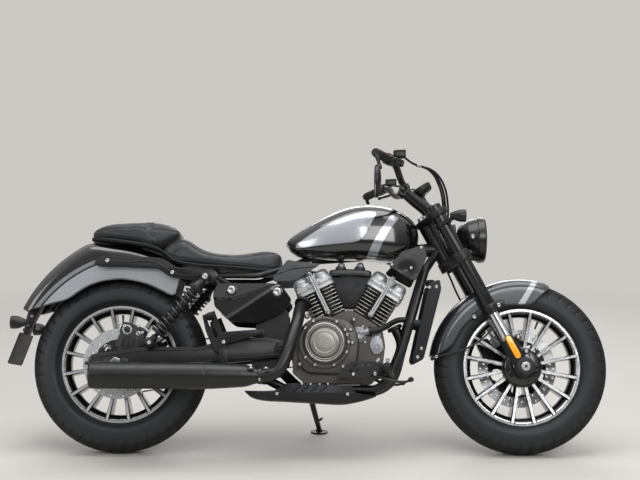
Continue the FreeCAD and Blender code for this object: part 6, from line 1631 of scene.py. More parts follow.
def makePegs():
    pile = Pile()
    y = pegs["plateY"]
    addSheet(pile, [(56, 285), (118, 280), (182, 277), (240, 290)], [(108, 338), (150, 340), (196, 340),
            (246, 328)], 60, 24, y, 6.0, pegs["holes"])
    for x, z in ((118, 293), (209, 345)):
        addBolts(pile, [(x, y + 6, z)], yAxis, 6.5, 5, 2)
    stem = [(262, 92, 290), (255, 128, 300), (248, 160, 312), (240, 176, 318)]
    addTube(pile, curveThrough(stem, 14), 12, 20, 0, (1, 0, 0))
    addPeg(pile, *pegs["rider"], y + 6, 92, pegs["radius"])
    # the passenger's bracket: a leaning plate with two slots and a slim arm to its front stud
    addSheet(pile, [(-386, 372), (-404, 402), (-424, 448), (-438, 506)],
             [(-346, 376), (-350, 420), (-372, 470), (-394, 524)], 110, 40, 148, 8, pegs["slots"])
    addPlate(pile, [(-366, 446), (-235, 456), (-208, 456), (-208, 436), (-236, 434), (-352, 400)], 148.5, 155,
             9, 1.6, 0, 6)
    addPeg(pile, *pegs["rear"], 156, 70, 11.5)
    addBolts(pile, [(-222, 155, 446)], yAxis, 8, 5)
    addBolts(pile, [(-358, 156, 408)], yAxis, 8, 6, 2)
    tube = [(-222, 112, 446), (-222, 140, 446), (-222, 150, 446)]
    addTube(pile, np.array(tube, float), 9, 16, 0, (1, 0, 0))
    makePiece("footPegs", flip(pile), "chassis", [powderBlack, softRubber, brightBolt],
              ["footpegs"], smooth=34)
    # brake pedal and gear lever: bent flat bars with a round pad
    lever = Pile()
    y = 178.5
    px, pz = pegs["leverPivot"]
    route = curveThrough([(px - 4, y + 4, pz + 4), (216, y + 4, 284), (250, y + 4, 272), (290, y + 4, 266),
                          (312, y + 4, 268), (326, y + 5, 274)], 40)
    addTube(lever, route, np.linspace(6.5, 4.6, 40), 14, 0, (0, 1, 0))
    addSoft(lever, [(0, 0), (0, 13), (3, 14), (10, 14), (13, 12.5), (13, 0)], 1.2, (px, y, pz), yAxis, 24)
    addBolts(lever, [(px, y + 12.5, pz)], yAxis, 7, 5, 2)
    run = np.linspace(0, 38, 31)
    pad = np.concatenate([[(0, 0)], np.stack([run, 9.2 - 0.9 * (run % 5 < 1.6)], axis=1),
                          [(40, 8), (41, 5), (41, 0)]])
    addTurned(lever, pad, (325, y + 3, 274), yAxis, 24, 1)
    addTube(lever, curveThrough([(px, y - 1, pz - 10), (px - 40, 165, pz - 12), (px - 90, 152, pz - 10)], 12),
            3.2, 12, 2, (0, 0, 1))
    makePiece("footLevers", flip(lever), "chassis", [powderBlack, softRubber, brightBolt],
              ["foot_levers"], smooth=36)


makePegs()


print("stage: fork and steering")
fork = {"y": 107.0, "outer": 25.5, "inner": 20.5, "lowerClamp": (450.0, 488.0), "upperClamp": (644.0, 666.0),
        "offset": 45.0, "reflector": (84.0, 46.0, 11.0), "lugs": (47.0, 107.0)}


def openBend(points, radius, steps=9):
    # straight runs joined by arcs, with both ends kept
    points = np.asarray(points, float)
    inner = rounded(points, radius, steps)[steps:-steps]
    return np.concatenate([points[:1], inner, points[-1:]])


def forkPlate(pile, outline, low, high, corner, edge, kind=0, steps=6):
    # a flat plate square to the fork: its outline in places ahead of the legs' plane and across
    ring = rounded(np.asarray(outline, float), corner, steps)
    levels = [(low, edge), (low + edge * 0.3, edge * 0.3), (low + edge, 0), (high - edge, 0),
              (high - edge * 0.3, edge * 0.3), (high, edge)]
    rows = []
    for along, inset in levels:
        row = offsetOutline(ring, inset)
        rows.append(forkPoint(along) + row[:, :1] * forkAhead + row[:, 1:] * yAxis)
    return pile.grid(np.stack(rows), kind, around=True, ends=True)


def makeFork():
    pile = Pile()
    y = fork["y"]
    foot = forkPoint(0, y=y)
    # lower casting: a foot round the axle, a straight body and a collar lip
    casting = [(-34, 0), (-34, 14), (-31, 22), (-24, 27), (-10, 28.5), (60, 28.5), (66, 29), (96, 29),
               (100, 28), (112, 28), (118, 25.5), (118, 0)]
    addSoft(pile, casting, 4, foot, forkUp, 44)
    addSoft(pile, [(-26, 0), (-26, 31), (-23, 34), (24, 34), (27, 31), (27, 20), (27, 0)], 2,
            frontAxle + yAxis * (y + 2), yAxis, 40)
    addTurned(pile, [(110, 0), (110, fork["inner"]), (236, fork["inner"]), (236, 0)], foot, forkUp, 40, 1)
    seal = [(226, 0), (226, 24), (228, 27.5), (236, 27.5), (237, 26.5), (239, 26.5), (240, 29.5), (256, 29.5),
            (260, 27.5), (263, 26), (263, 0)]
    addSoft(pile, seal, 1.0, foot, forkUp, 44, 2)
    tube = [(258, 0), (258, fork["outer"]), (684, fork["outer"]), (687, 24.5), (690, 22), (690, 0)]
    addSoft(pile, tube, 1.0, foot, forkUp, 44, 3)
    cap = [(686, 0), (686, 19), (691, 19), (692, 18), (692, 10), (695.5, 10), (696, 9), (696, 0)]
    addSoft(pile, cap, 0.6, foot, forkUp, 32, 4)
    for along in fork["lugs"]:
        centre = forkPoint(along, 38, y)
        addSoft(pile, [(-11, 0), (-11, 11), (11, 11), (13, 9.5), (13, 0)], 1.5, centre, yAxis, 24)
        web = [forkPoint(along, 20, y), forkPoint(along, 38, y)]
        addTube(pile, np.array(web), 9.5, 20, 0, (0, 1, 0))
        addBolts(pile, [centre + yAxis * 12], yAxis, 7.5, 5, 4)
    # amber reflector on its flat pad, a bar with round ends; its amber material carries a faint painted glow
    at, half, wide = fork["reflector"]
    turn = np.linspace(-np.pi / 2, np.pi / 2, 14)
    tip = np.stack([np.cos(turn) * wide + half - wide, np.sin(turn) * wide], axis=1)
    ends = np.concatenate([tip, -tip])
    for grow, low, high, kind in ((3.0, 22, 29.5, 0), (0.0, 26, 33.0, 5)):
        ring = offsetOutline(ends, -grow)
        levels = [(low, 0.0), (high - 2.0, 0.0), (high - 0.5, 0.6), (high, 2.0)]
        rows = []
        for out, inset in levels:
            row = offsetOutline(ring, inset)
            rows.append(foot + yAxis * out + (at + row[:, :1]) * forkUp + row[:, 1:] * forkAhead)
        pile.grid(np.stack(rows), kind, around=True, ends=True)
    # pinch bolts on the axle's foot, and the drain screw
    addBolts(pile, [forkPoint(-20, 22, y - 12), forkPoint(-20, 22, y + 12)], forkAhead, 5.5, 5, 4)
    addBolts(pile, [forkPoint(20, -27, y)], -forkAhead, 4.5, 3.5, 4, 14)
    makePiece("forkLegs", flip(pile), "steering", [castBlack, hardChrome, powderBlack, anodisedBlack,
                                                   brightBolt, amberPaintedGlow], ["fork_legs"],
              smooth=36)
    clampPile = Pile()
    half = [(36, 118), (22, 138), (-2, 144), (-26, 136), (-40, 112), (-47, 68), (-65, 30), (-78, 14),
            (-80, 0)]
    nose = [(26, 88), (20, 60), (26, 34), (28, 0)]
    outline = half + [(a, -b) for a, b in half[::-1][1:]] + [(a, -b) for a, b in nose[:-1]] + nose[::-1]
    for low, high in (fork["lowerClamp"], fork["upperClamp"]):
        forkPlate(clampPile, outline, low, high, 14, 3.0)
    for low, high in (fork["lowerClamp"], fork["upperClamp"]):
        for side in (-1, 1):
            middle = (low + high) / 2
            eye = [(low - 1.5, 0), (low - 1.5, 33), (low + 1.5, 36), (high - 1.5, 36), (high + 1.5, 33),
                   (high + 1.5, 0)]
            addSoft(clampPile, eye, 1.0, forkPoint(0, y=side * y), forkUp, 40)
            lug = forkPoint(middle, 36, side * (y - 14))
            addSoft(clampPile, [(-13, 0), (-13, 9.5), (13, 9.5), (13, 0)], 1.5, lug, yAxis, 24)
            addBolts(clampPile, [lug - yAxis * side * 12], -yAxis * side, 6.5, 5, 1)
    stem = forkPoint(0, -fork["offset"])
    top = fork["upperClamp"][1]
    addTurned(clampPile, [(440, 0), (440, 15), (top, 15), (top, 0)], stem, forkUp, 24)
    nut = [(top, 0), (top, 23), (top + 4, 23), (top + 5, 19), (top + 14, 18), (top + 16, 15), (top + 16, 7),
           (top + 12, 7), (top + 12, 0)]
    addSoft(clampPile, nut, 0.8, stem, forkUp, 32, 1)
    makePiece("tripleClamps", clampPile, "steering", [castBlack, brightBolt],
              ["triple_clamps"], smooth=36)


makeFork()

bar = {"radius": 12.7, "bend": 60.0,
       "route": [(318, 70, 1006), (296, 158, 1012), (270, 228, 1068), (192, 412, 1063)], "riserY": 45.0,
       "clampX": 318.0, "clampZ": 1006.0, "gripLength": 115.0}
barOut = np.array(bar["route"][3], float)
barIn = unit(np.array(bar["route"][2], float) - barOut)


def makeBar():
    half = [(318, 0, 1006)] + bar["route"]
    full = [(x, -y, z) for x, y, z in reversed(half[1:])] + half[1:]
    pile = Pile()
    addTube(pile, openBend(full, bar["bend"], 13), bar["radius"], 32, 0, (0.3, 0, 1))
    for side in (-1, 1):
        base = forkPoint(666.3, -11.1, side * bar["riserY"])
        knee = base + forkUp * 20
        head = np.array((bar["clampX"], side * bar["riserY"], bar["clampZ"]))
        addTube(pile, curveThrough([base, knee, (knee * 0.5 + head * 0.5), head], 24),
                np.linspace(18, 13.5, 24), 32, 0, (0, 1, 0))
        addSoft(pile, [(-1, 0), (-1, 21), (4, 22), (8, 21), (8, 0)], 1.5, base, forkUp, 28)
        cap = [(-17, 0), (-17, 18), (-14, 21), (-1.6, 21.5), (-1.0, 20.3), (1.0, 20.3), (1.6, 21.5), (14, 21),
               (17, 18), (17, 0)]
        addSoft(pile, cap, 1.2, head, yAxis, 32)
        addBolts(pile, [head + (dx, dy, 19) for dx in (-13, 13) for dy in (-10, 10)], zAxis, 4.2, 4, 1, 14)
    makePiece("handlebar", pile, "steering", [powderBlack, brightBolt], ["handlebar"],
              smooth=40)
    grip = Pile()
    ribs = 16
    run = np.linspace(8, bar["gripLength"] - 12, ribs * 6 + 1)
    wave = 16.6 - 1.3 * (0.5 - 0.5 * np.cos((run - 8) / (run[-1] - 8) * ribs * 2 * np.pi)) ** 4
    outline = [(0, 0), (0, 14), (1.5, 17), (5, 17.2), (7, 16.8)] + list(zip(run, wave))
    outline += [(bar["gripLength"] - 10, 16), (bar["gripLength"] - 8, 19), (bar["gripLength"] - 4, 20),
                (bar["gripLength"], 19), (bar["gripLength"], 0)]
    addTurned(grip, outline, barOut, barIn, 32)
    makePiece("grips", flip(grip), "steering", [softRubber], ["grips"], smooth=50)
    # bar ends, switches, perches and levers
    work = Pile()
    addSoft(work, [(-13.5, 0), (-13.5, 12), (-12, 15), (-2, 17), (0, 16), (0, 0)], 1.5, barOut, barIn, 28)
    addSoft(work, [(-14.2, 0), (-14.2, 8), (-12, 8.5), (-12, 0)], 0.5, barOut, barIn, 24, 1)
    start = barOut + barIn * (bar["gripLength"] + 0.5)
    switch = [(0, 0), (0, 19), (2, 21.5), (15.6, 21.8), (16.4, 21.0), (17.6, 21.0), (18.4, 21.8), (31, 21.5),
              (34, 19), (34, 0)]
    addSoft(work, switch, 0.8, start, barIn, 32)
    rearward = unit(np.cross(barIn, zAxis))
    back = rearward if rearward[0] < 0 else -rearward
    for along, up, size in ((10, 6, 4.0), (23, 6, 4.0), (16, -8, 5.0)):
        addSoft(work, [(0, 0), (0, size), (5, size * 0.9), (6, size * 0.6), (6, 0)], 0.8,
                  start + barIn * along + back * 18.5 + zAxis * up, back, 24)
    addPillow(work, start + barIn * 17 + zAxis * 20, (9, 4.5, 5.5), (barIn, np.cross(barIn, zAxis), zAxis),
              0.5, 0.5, 2, 12, 24)
    perch = start + barIn * 46
    addSoft(work, [(-11.5, 0), (-11.5, 17), (-9, 19.5), (9, 19.5), (11.5, 17), (11.5, 0)], 1.5, perch, barIn,
            28)
    drop, ahead = np.array([0, 0, -12.0]), np.array([58.0, 0, 0])
    pivot = perch + ahead * 0.6 + drop
    addTube(work, curveThrough([perch + (8, 0, -4), perch + ahead * 0.35 + drop * 0.6, pivot], 12),
            np.linspace(12, 8.5, 12), 20, 0, (0, 1, 0))
    addSoft(work, [(-9, 0), (-9, 8.5), (9, 8.5), (9, 0)], 1.2, pivot, zAxis, 24)
    addBolts(work, [pivot + zAxis * 8.5], zAxis, 5.5, 3.5, 3)
    elbow = start - barIn * 23 + ahead + drop
    tip = barOut + barIn * 13.8 + ahead * 0.72 + drop
    blade = curveThrough([pivot, pivot * 0.45 + elbow * 0.55 + (5, 0, 0), elbow,
                          elbow * 0.5 + tip * 0.5 + (1.5, 0, 0), tip], 40)
    addTube(work, blade, np.concatenate([np.linspace(7.0, 4.8, 34), [5.2, 6.0, 6.9, 7.2, 6.4, 3.5]]), 18, 1,
            (0, 0, 1))
    potFoot = perch + ahead * 0.5 - drop * 1.0
    potAxes = (unit([1, 0, 0.05]), yAxis, unit([-0.05, 0, 1]))
    addPillow(work, potFoot + (0, 0, 10), (22.5, 22.5, 10.5), potAxes, 0.22, 0.4, 0, 20, 48)
    addPillow(work, potFoot + (0, 0, 22.5), (23, 23, 3.6), potAxes, 0.35, 0.4, 4, 14, 48)
    addTube(work, np.array([perch + (6, 0, 6), potFoot + (0, 0, 6)]), 8, 20, 0, (0, 1, 0))
    addBolts(work, [potFoot + (dx, dy, 25.4) for dx, dy in ((-15, -15), (15, 15))], zAxis, 2.6, 1.4, 3, 12)
    makePiece("handControls", flip(work), "steering", [castBlack, powderBlack, redPlastic, brightBolt,
                                                       mouldedBlack], ["controls"],
              smooth=38)


makeBar()

mirror = {"centre": (196.0, 430.0, 957.0), "radius": 58.0, "depth": 22.0}


def makeMirrors():
    pile = Pile()
    radius, depth = mirror["radius"], mirror["depth"]
    face = np.array(mirror["centre"]) - xAxis * depth / 2
    shell = [(2.0, 0), (2.0, radius - 5), (0.2, radius - 4), (0, radius - 1.5), (1.5, radius), (9, radius),
             (15, radius - 6), (20, radius - 20), (22, radius - 40), (22.4, 0)]
    addSoft(pile, shell, 1.5, face, xAxis, 68)
    addSoft(pile, [(1.2, 0), (1.2, radius - 5.2), (2.6, radius - 5.2), (2.6, 0)], 0.3, face, xAxis, 68, 1)
    tip = barOut - barIn * 7
    rim = np.array(mirror["centre"]) + (0, 0, radius - 8)
    stem = curveThrough([tip + (0, 0, -6), tip * 0.6 + rim * 0.4 + (3, 2, 0), rim + (4, 0, 6),
                         rim + (2, 0, -4)], 20)
    addTube(pile, stem, np.linspace(8.0, 5.6, 20), 20, 0, (1, 0, 0))
    addSoft(pile, [(-9, 0), (-9, 9), (9, 9), (9, 0)], 1.5, rim + (5, 0, 2), xAxis, 24)
    makePiece("barEndMirrors", flip(pile), "steering", [powderBlack, mirrorSilver],
              ["mirrors"], smooth=40)


makeMirrors()

dial = {"centre": (398.0, 0.0, 992.0), "radius": 43.0, "tilt": 35.0}


def makeDial():
    pile = Pile()
    tilt = math.radians(dial["tilt"])
    face = np.array([-math.sin(tilt), 0, math.cos(tilt)])
    centre, radius = np.array(dial["centre"]), dial["radius"]
    side = np.cross(yAxis, face)
    bowl = [(0, 0), (0, radius - 14), (4, radius - 6), (14, radius - 1.5), (24, radius), (24, 0)]
    addSoft(pile, bowl, 3, centre, face, 52)
    ring = [(22, 0), (22, radius), (30, radius), (33, radius - 1.5), (34, radius - 4), (33, radius - 6.5),
            (29, radius - 7), (29, 0)]
    addSoft(pile, ring, 0.8, centre, face, 68, 1)
    addTurned(pile, [(29.0, 0), (29.0, radius - 7), (29.8, radius - 7), (29.8, 0)], centre, face, 52, 2)
    count = 41
    turn = np.radians(np.linspace(-130, 130, count))
    for i, angle in enumerate(turn):
        way = side * math.cos(angle) + yAxis * math.sin(angle)
        length = 6.5 if i % 5 == 0 else 3.4
        start = centre + face * 30.0 + way * (radius - 9)
        addTube(pile, np.array([start, start - way * length]), 0.55 if i % 5 == 0 else 0.32, 6, 3, face)
    needle = side * math.cos(math.radians(-130)) + yAxis * math.sin(math.radians(-130))
    addTube(pile, np.array([centre + face * 30.8 - needle * 6,
                            centre + face * 30.8 + needle * (radius - 13)]), [1.1, 0.35], 8, 4, face)
    addSoft(pile, [(29.6, 0), (29.6, 4), (32, 3.4), (32, 0)], 0.5, centre, face, 24)
    addTurned(pile, [(32.2, 0), (32.2, radius - 7), (32.6, radius - 7), (32.6, 0)], centre, face, 52, 5)
    foot = forkPoint(666.3)
    top = foot + forkUp * np.linalg.norm(centre - foot)
    addTube(pile, curveThrough([foot, foot * 0.4 + top * 0.6, top * 0.6 + (centre + face * 4) * 0.4,
                                centre + face * 4], 24), 8.5, 20, 0, (0, 1, 0))
    makePiece("speedDial", pile, "steering", [powderBlack, castBlack, dialGrey, silverCasting, redPlastic,
                                              absGloss], ["instrument"], smooth=35)


makeDial()

lamp = {"front": (626.0, 0.0, 816.0), "depth": 108.0}


def makeHeadlight():
    pile = Pile()
    front, depth = np.array(lamp["front"]), lamp["depth"]
    bowl = [(depth, 0), (depth, 24), (depth * 0.93, 44), (depth * 0.82, 60), (depth * 0.62, 75),
            (depth * 0.34, 83), (30, 84), (30, 87), (27, 88), (10, 88), (4, 87), (0, 84), (0.0, 80.5),
            (3, 79), (11, 78), (11, 0)]
    addSoft(pile, bowl, 2.0, front, -xAxis, 88)
    # reflector: a hollow bowl, with stepped shells and the bulb's shade before it
    rise = np.linspace(0, 1, 13)
    cup = ([(10.8, 0), (10.8, 77)] + [(9 + 1.4 * (i % 2), 77 * (1 - r)) for i, r in enumerate(rise[1:-1])]
           + [(9.4, 0)])
    addTurned(pile, cup, front, -xAxis, 68, 1)
    shade = [(9.6, 0), (9.6, 21), (4.5, 21), (3.0, 19), (3.0, 0)]
    addSoft(pile, shade, 1.0, front, -xAxis, 44, 2)
    for z in (-1, 1):
        ring = rounded([(-15, z * 26), (15, z * 26), (22, z * 54), (-22, z * 54)], 5, 5)
        rows = [offsetOutline(ring, inset) for inset in (0, 0, 1.5)]
        levels = (10, 6, 5)
        grid = np.stack([np.stack([np.full(len(row), front[0] - level), row[:, 0], front[2] + row[:, 1]],
                                  axis=1) for row, level in zip(rows, levels)])
        pile.grid(grid, 1, around=True, ends=True)
    lens = [(3.6, 0), (3.6, 79), (2.4, 79), (1.2, 60), (0.4, 30), (0.2, 0)]
    addTurned(pile, lens, front, -xAxis, 68, 3)
    addBolts(pile, [front + (-18, 0, -87)], -zAxis, 4, 3, 4, 14)
    for side in (-1, 1):   # ears from the fork's tubes
        addSoft(pile, [(0, 0), (0, 15), (6, 14), (8, 10), (8, 0)], 1.5, front + (-54, side * 77, 0),
                yAxis * side, 24)
        addBolts(pile, [front + (-54, side * 83, 0)], yAxis * side, 8, 6, 4)
    foot = forkPoint(488.3)
    heel = front - xAxis * depth * 0.9
    knee = foot + forkUp * 27
    addTube(pile, curveThrough([foot, knee, (knee + heel) / 2 + (0, 0, 4), heel + (6, 0, 0)], 20), 9.5, 20, 2,
            (0, 1, 0))
    makePiece("headlight", pile, "steering", [anodisedBlack, mirrorSilver, powderBlack, lensClear,
                                              brightBolt], ["headlight"], smooth=32)


makeHeadlight()


def addSignal(pile, lens, way, length=60.0, radius=24.0):
    # a black cone-backed lamp from its tail to its clear lens, which way looks out of
    tail = np.asarray(lens, float) - way * length
    body = [(0, 0), (0, 8), (3, 10.5), (length * 0.42, 20.5), (length * 0.60, 23.4), (length * 0.94, radius),
            (length - 1.5, radius - 0.6), (length - 1.5, 21.4), (length - 8, 21), (length - 8, 0)]
    addSoft(pile, body, 1.4, tail, way, 40)
    cup = [(length - 7.8, 0), (length - 7.8, 20.8), (length - 2.6, 20.8), (length - 7.2, 8),
           (length - 7.2, 0)]
    addTurned(pile, cup, tail, way, 28, 1)
    # the bulb behind the lens, in amber with a faint painted glow though the lamp is off
    addSoft(pile, [(length - 7, 0), (length - 7, 5), (length - 3.5, 4.6), (length - 2.6, 0)], 0.8, tail, way,
            20, 2)
    dome = [(length - 2.4, 0), (length - 2.4, 21.2), (length - 1.0, 21.2), (length + 0.0, 15),
            (length + 0.4, 0)]
    addTurned(pile, dome, tail, way, 28, 3)
    return pile


signals = {"front": (537.0, 170.0, 882.0), "ring": (600.0, 616.0)}


def makeFrontSignals():
    pile = Pile()
    lens = np.array(signals["front"])
    addSignal(pile, lens, xAxis)
    low, high = signals["ring"]
    band = [(low, 0), (low, 29), (low + 1.5, 31.5), (high - 1.5, 31.5), (high, 29), (high, 0)]
    addSoft(pile, band, 1.0, forkPoint(0, y=fork["y"]), forkUp, 40)
    start = forkPoint((low + high) / 2, y=fork["y"] + 27)
    addTube(pile, curveThrough([start, start * 0.5 + (lens - xAxis * 30) * 0.5 + (0, 0, 1),
                                lens - xAxis * 30], 12), np.linspace(8.5, 6.5, 12), 20, 0, (0, 0, 1))
    makePiece("frontSignals", flip(pile), "steering", [powderBlack, mirrorSilver, amberPaintedGlow, lensClear],
              ["front_signals"], smooth=36)


makeFrontSignals()

brake = {"front": (640.0, 66.5, 392.0), "frontTurn": 62.0, "rear": (-700.0, -86.5, 450.0), "rearTurn": 20.0,
         "size": (95.0, 44.0, 52.0)}


def addCaliper(pile, centre, turn, slotWay):
    # two rounded halves either side of the disc, bridged over its edge, with piston bores and bolts
    angle = math.radians(turn)
    along = np.array([math.cos(angle), 0, -math.sin(angle)])
    up = np.array([math.sin(angle), 0, math.cos(angle)])
    length, wide, high = brake["size"]
    centre = np.asarray(centre, float)
    axes = (along, yAxis, up)
    for side in (-1, 1):
        body = centre + yAxis * side * (wide / 2 - 8)
        addPillow(pile, body, (length / 2, 7.9, high / 2), axes, 0.42, 0.30, 0, 26, 56)
        for at in (-20, 20):
            bore = softProfile([(-2, 0), (-2, 17), (1.5, 17), (3, 15.5), (3, 11), (1.6, 10), (1.6, 0)], 1.0)
            addTurned(pile, bore, body + along * at - up * 2 * slotWay + yAxis * side * 6.0, yAxis * side, 28,
                      1)
    bridge = centre + up * slotWay * (high / 2 - 9)
    addPillow(pile, bridge, (length / 2 - 6, wide / 2 - 3, 8.8), axes, 0.4, 0.3, 0, 20, 48)
    for at in (-length / 2 + 12, length / 2 - 12):
        for out in (yAxis, -yAxis):
            addBolts(pile, [centre + along * at + out * (wide / 2 - 0.5) + up * 8 * slotWay], out, 6.5, 4, 2)
    addTube(pile, np.array([centre + along * 30 + up * slotWay * 20,
                            centre + along * 36 + up * slotWay * 32]), 3.4, 12, 2, (0, 1, 0))
    return pile


def makeFrontBrake():
    pile = Pile()
    centre = brake["front"]
    away = unit(np.array(centre) * (1, 0, 1) - frontAxle)
    angle = math.radians(brake["frontTurn"])
    slotWay = 1 if away @ np.array([math.sin(angle), 0, math.cos(angle)]) > 0 else -1
    addCaliper(pile, centre, brake["frontTurn"], slotWay)
    for along in (62.0, 108.0):
        end = forkPoint(along, 0, fork["y"] - 14)
        start = np.array([centre[0], 84.0, centre[2]])
        addTube(pile, curveThrough([start, start * 0.5 + end * 0.5 + (0, 3, 0), end + (-8, -6, 0)], 10), 9.0,
                20, 0, (0, 0, 1))
    makePiece("frontCaliper", pile, "steering", [castBlack, powderBlack, brightBolt],
              ["front_caliper"], smooth=40)
    axle = Pile()
    reach = fork["y"] + 29
    head = [(-reach - 6, 5), (-reach - 6, 13), (-reach - 4.6, 14.5), (-reach - 4.0, 16.8), (-reach, 17),
            (-reach, 10), (reach, 10), (reach, 5)]
    for profile in (head, [head[-1], head[0]]):   # the bolt, then its bore
        addTurned(axle, profile, frontAxle, yAxis)
    makePiece("frontAxleBolt", axle, "steering", [brightBolt], ["front_axle"], smooth=30)


makeFrontBrake()

leads = {"route": [(352, -214, 1062), (420, -180, 1052), (466, -130, 1000), (482, -80, 920), (480, -32, 862),
                   (491, -12, 828), (517.6, -12, 827)],
         "hose": [(352, 214, 1062), (400, 190, 1040), (424, 165, 985), (428, 153, 900), (446, 150, 830),
                  (482, 151, 745), (510, 150, 690), (535, 138, 620), (580, 124, 535), (622, 104, 450)],
         "bend": 60.0}


def makeLeads():
    pile = Pile()
    lead = openBend(leads["route"], leads["bend"], 9)[::2]
    pot = barOut + barIn * (bar["gripLength"] + 46.5) + (49, 0, 12)
    fan = np.sin(np.linspace(0, math.pi, len(lead)))[:, None]
    for offset in ((0, 0, 0), (-9, 7, -9), (-16, 13, -20)):   # clutch and throttle cables run in a bundle
        run = np.concatenate([[pot * (1, -1, 1)], lead + fan * offset])
        addTube(pile, curveThrough(run, 90), 4.0, 12, 0, (0.2, 1, 0.1))
    hose = np.concatenate([[pot], openBend(leads["hose"], leads["bend"], 9)[::2]])
    addTube(pile, curveThrough(hose, 110), 4.0, 12, 0, (0.2, 1, 0.1))
    for at, way in ((leads["route"][0], (68, 34, -10)), (leads["hose"][0], (48, -24, -22)),
                    (leads["hose"][-1], (42, -20, -85))):
        addSoft(pile, [(-2, 0), (-2, 6), (14, 6), (18, 4.6), (18, 0)], 1.0,
                np.array(at) - unit(way) * (9 if at is leads["hose"][-1] else 0), unit(way), 20, 1)
    makePiece("controlLeads", pile, "steering", [sheathBlack, brightBolt], ["cables"],
              smooth=50)


makeLeads()


print("stage: rear suspension and running gear")
shock = {"low": (-628.0, 160.0, 404.0), "high": (-429.0, 160.0, 648.0), "coil": (0.185, 0.795), "turns": 9.0,
         "coilRadius": 24.2, "wire": 4.7}


def makeShocks():
    pile = Pile()
    low, high = np.array(shock["low"]), np.array(shock["high"])
    span = np.linalg.norm(high - low)
    way = unit(high - low)
    ahead = np.cross(yAxis, way)

    def at(share):
        return span * share

    # damper: rod, lower cup, body, upper cup and the neck to the eye
    body = [(at(0.02), 0), (at(0.02), 10), (at(0.05), 12.5), (at(0.10), 12.5), (at(0.11), 8), (at(0.135), 8),
            (at(0.137), 26), (at(0.15), 28.5), (at(0.172), 28.5), (at(0.178), 26), (at(0.178), 10.5),
            (at(0.34), 10.5), (at(0.345), 16.5), (at(0.80), 16.5), (at(0.802), 26), (at(0.81), 28.5),
            (at(0.85), 28.5), (at(0.862), 26), (at(0.87), 22), (at(0.92), 15), (at(0.96), 12.5),
            (at(0.985), 12), (at(0.985), 0)]
    addSoft(pile, body, 1.2, low, way, 40)
    # helical spring: the wire's centre goes round as the distance along grows, with flat ends
    start, end = (at(share) for share in shock["coil"])
    turns, count = shock["turns"], 360
    t = np.linspace(0, 1, count)
    rise = t - 0.045 * np.sin(2 * np.pi * t)
    angle = 2 * np.pi * turns * t
    path = low + (start + shock["wire"] + (end - start - 2 * shock["wire"]) * rise)[:, None] * way
    path = path + shock["coilRadius"] * (np.cos(angle)[:, None] * ahead + np.sin(angle)[:, None] * yAxis)
    addTube(pile, path, shock["wire"], 12, 1, way)
    # preload collar with its notches
    notch = np.arange(8) * 2 * np.pi / 8
    collar = low + at(0.162) * way + 28 * (np.cos(notch)[:, None] * ahead + np.sin(notch)[:, None] * yAxis)
    for place in collar:
        addTurned(pile, [(-3, 0), (-3, 2.4), (3, 2.4), (3, 0)], place, way, 10, 3)
    for place in (low, high):
        eye = [(-14, 0), (-14, 14), (-12, 16.5), (-9, 18), (9, 18), (12, 16.5), (14, 14), (14, 0)]
        addSoft(pile, eye, 1.2, place, yAxis, 28)
        addSoft(pile, [(13.5, 0), (13.5, 13), (15.5, 13), (16, 12), (16, 0)], 0.5, place, yAxis, 24, 3)
    addBolts(pile, [low + yAxis * 15.5], yAxis, 9.0, 6.5, 2, 6)
    addBolts(pile, [high + yAxis * 15.5], yAxis, 11.5, 7.0, 2, 30, 0.5)
    makePiece("twinShocks", flip(pile), "chassis", [powderBlack, springBlack, brightBolt, sheathBlack],
              ["shocks"], smooth=38)


makeShocks()

strut = {"outline": [(-852, 701), (-838, 717), (-800, 731), (-700, 729), (-599, 723), (-580, 715),
                     (-540, 688), (-433, 684), (-402, 682), (-380, 660), (-398, 632), (-432, 632),
                     (-539, 647), (-564, 652), (-608, 681), (-720, 686), (-828, 688)],
         "low": 122.0, "high": 130.5, "bolts": [(-798, 711), (-555, 668)]}


def makeStruts():
    pile = Pile()
    addPlate(pile, strut["outline"], strut["low"], strut["high"], 12, 2.6, 0, 6)
    # a pressed rib along the strut and the bosses behind its bolts
    rib = curveThrough([(-815, strut["high"] - 0.6, 710), (-700, strut["high"] - 0.6, 708),
                        (-612, strut["high"] - 0.6, 702), (-560, strut["high"] - 0.6, 671),
                        (-430, strut["high"] - 0.6, 660)], 60)
    addTube(pile, rib, np.concatenate([[1.0, 2.4], np.full(56, 3.0), [2.4, 1.0]]), 10, 0, (0, 1, 0))
    for x, z in strut["bolts"]:
        addTurned(pile, [(95.3, 0), (95.3, 12), (strut["low"] + 3, 12), (strut["low"] + 3, 0)], (x, 0, z),
                  yAxis, 24)
        addBolts(pile, [(x, strut["high"], z)], yAxis, 8.5, 6, 1)
    addSoft(pile, [(strut["low"], 0), (strut["low"], 21), (142, 17), (145.7, 15), (145.7, 0)], 1.5,
            (shock["high"][0], 0, shock["high"][2]), yAxis, 24)
    makePiece("fenderStruts", flip(pile), "chassis", [powderBlack, brightBolt],
              ["fender_struts"], smooth=36)


makeStruts()

arm = {"low": 111.5, "high": 139.5, "tail": 110.0, "rise": 42.0, "pivot": (-150.0, 390.0),
       "front": [(-128, 418), (-128, 356), (-300, 338)], "back": [(-445, 392), (-345, 425), (-210, 430)],
       "round": [(1.03, -0.60), (-0.43, -1.02), (-0.88, -0.74), (-0.99, -0.02), (-0.88, 0.74), (-0.22, 0.98),
                 (0.95, 1.45)]}


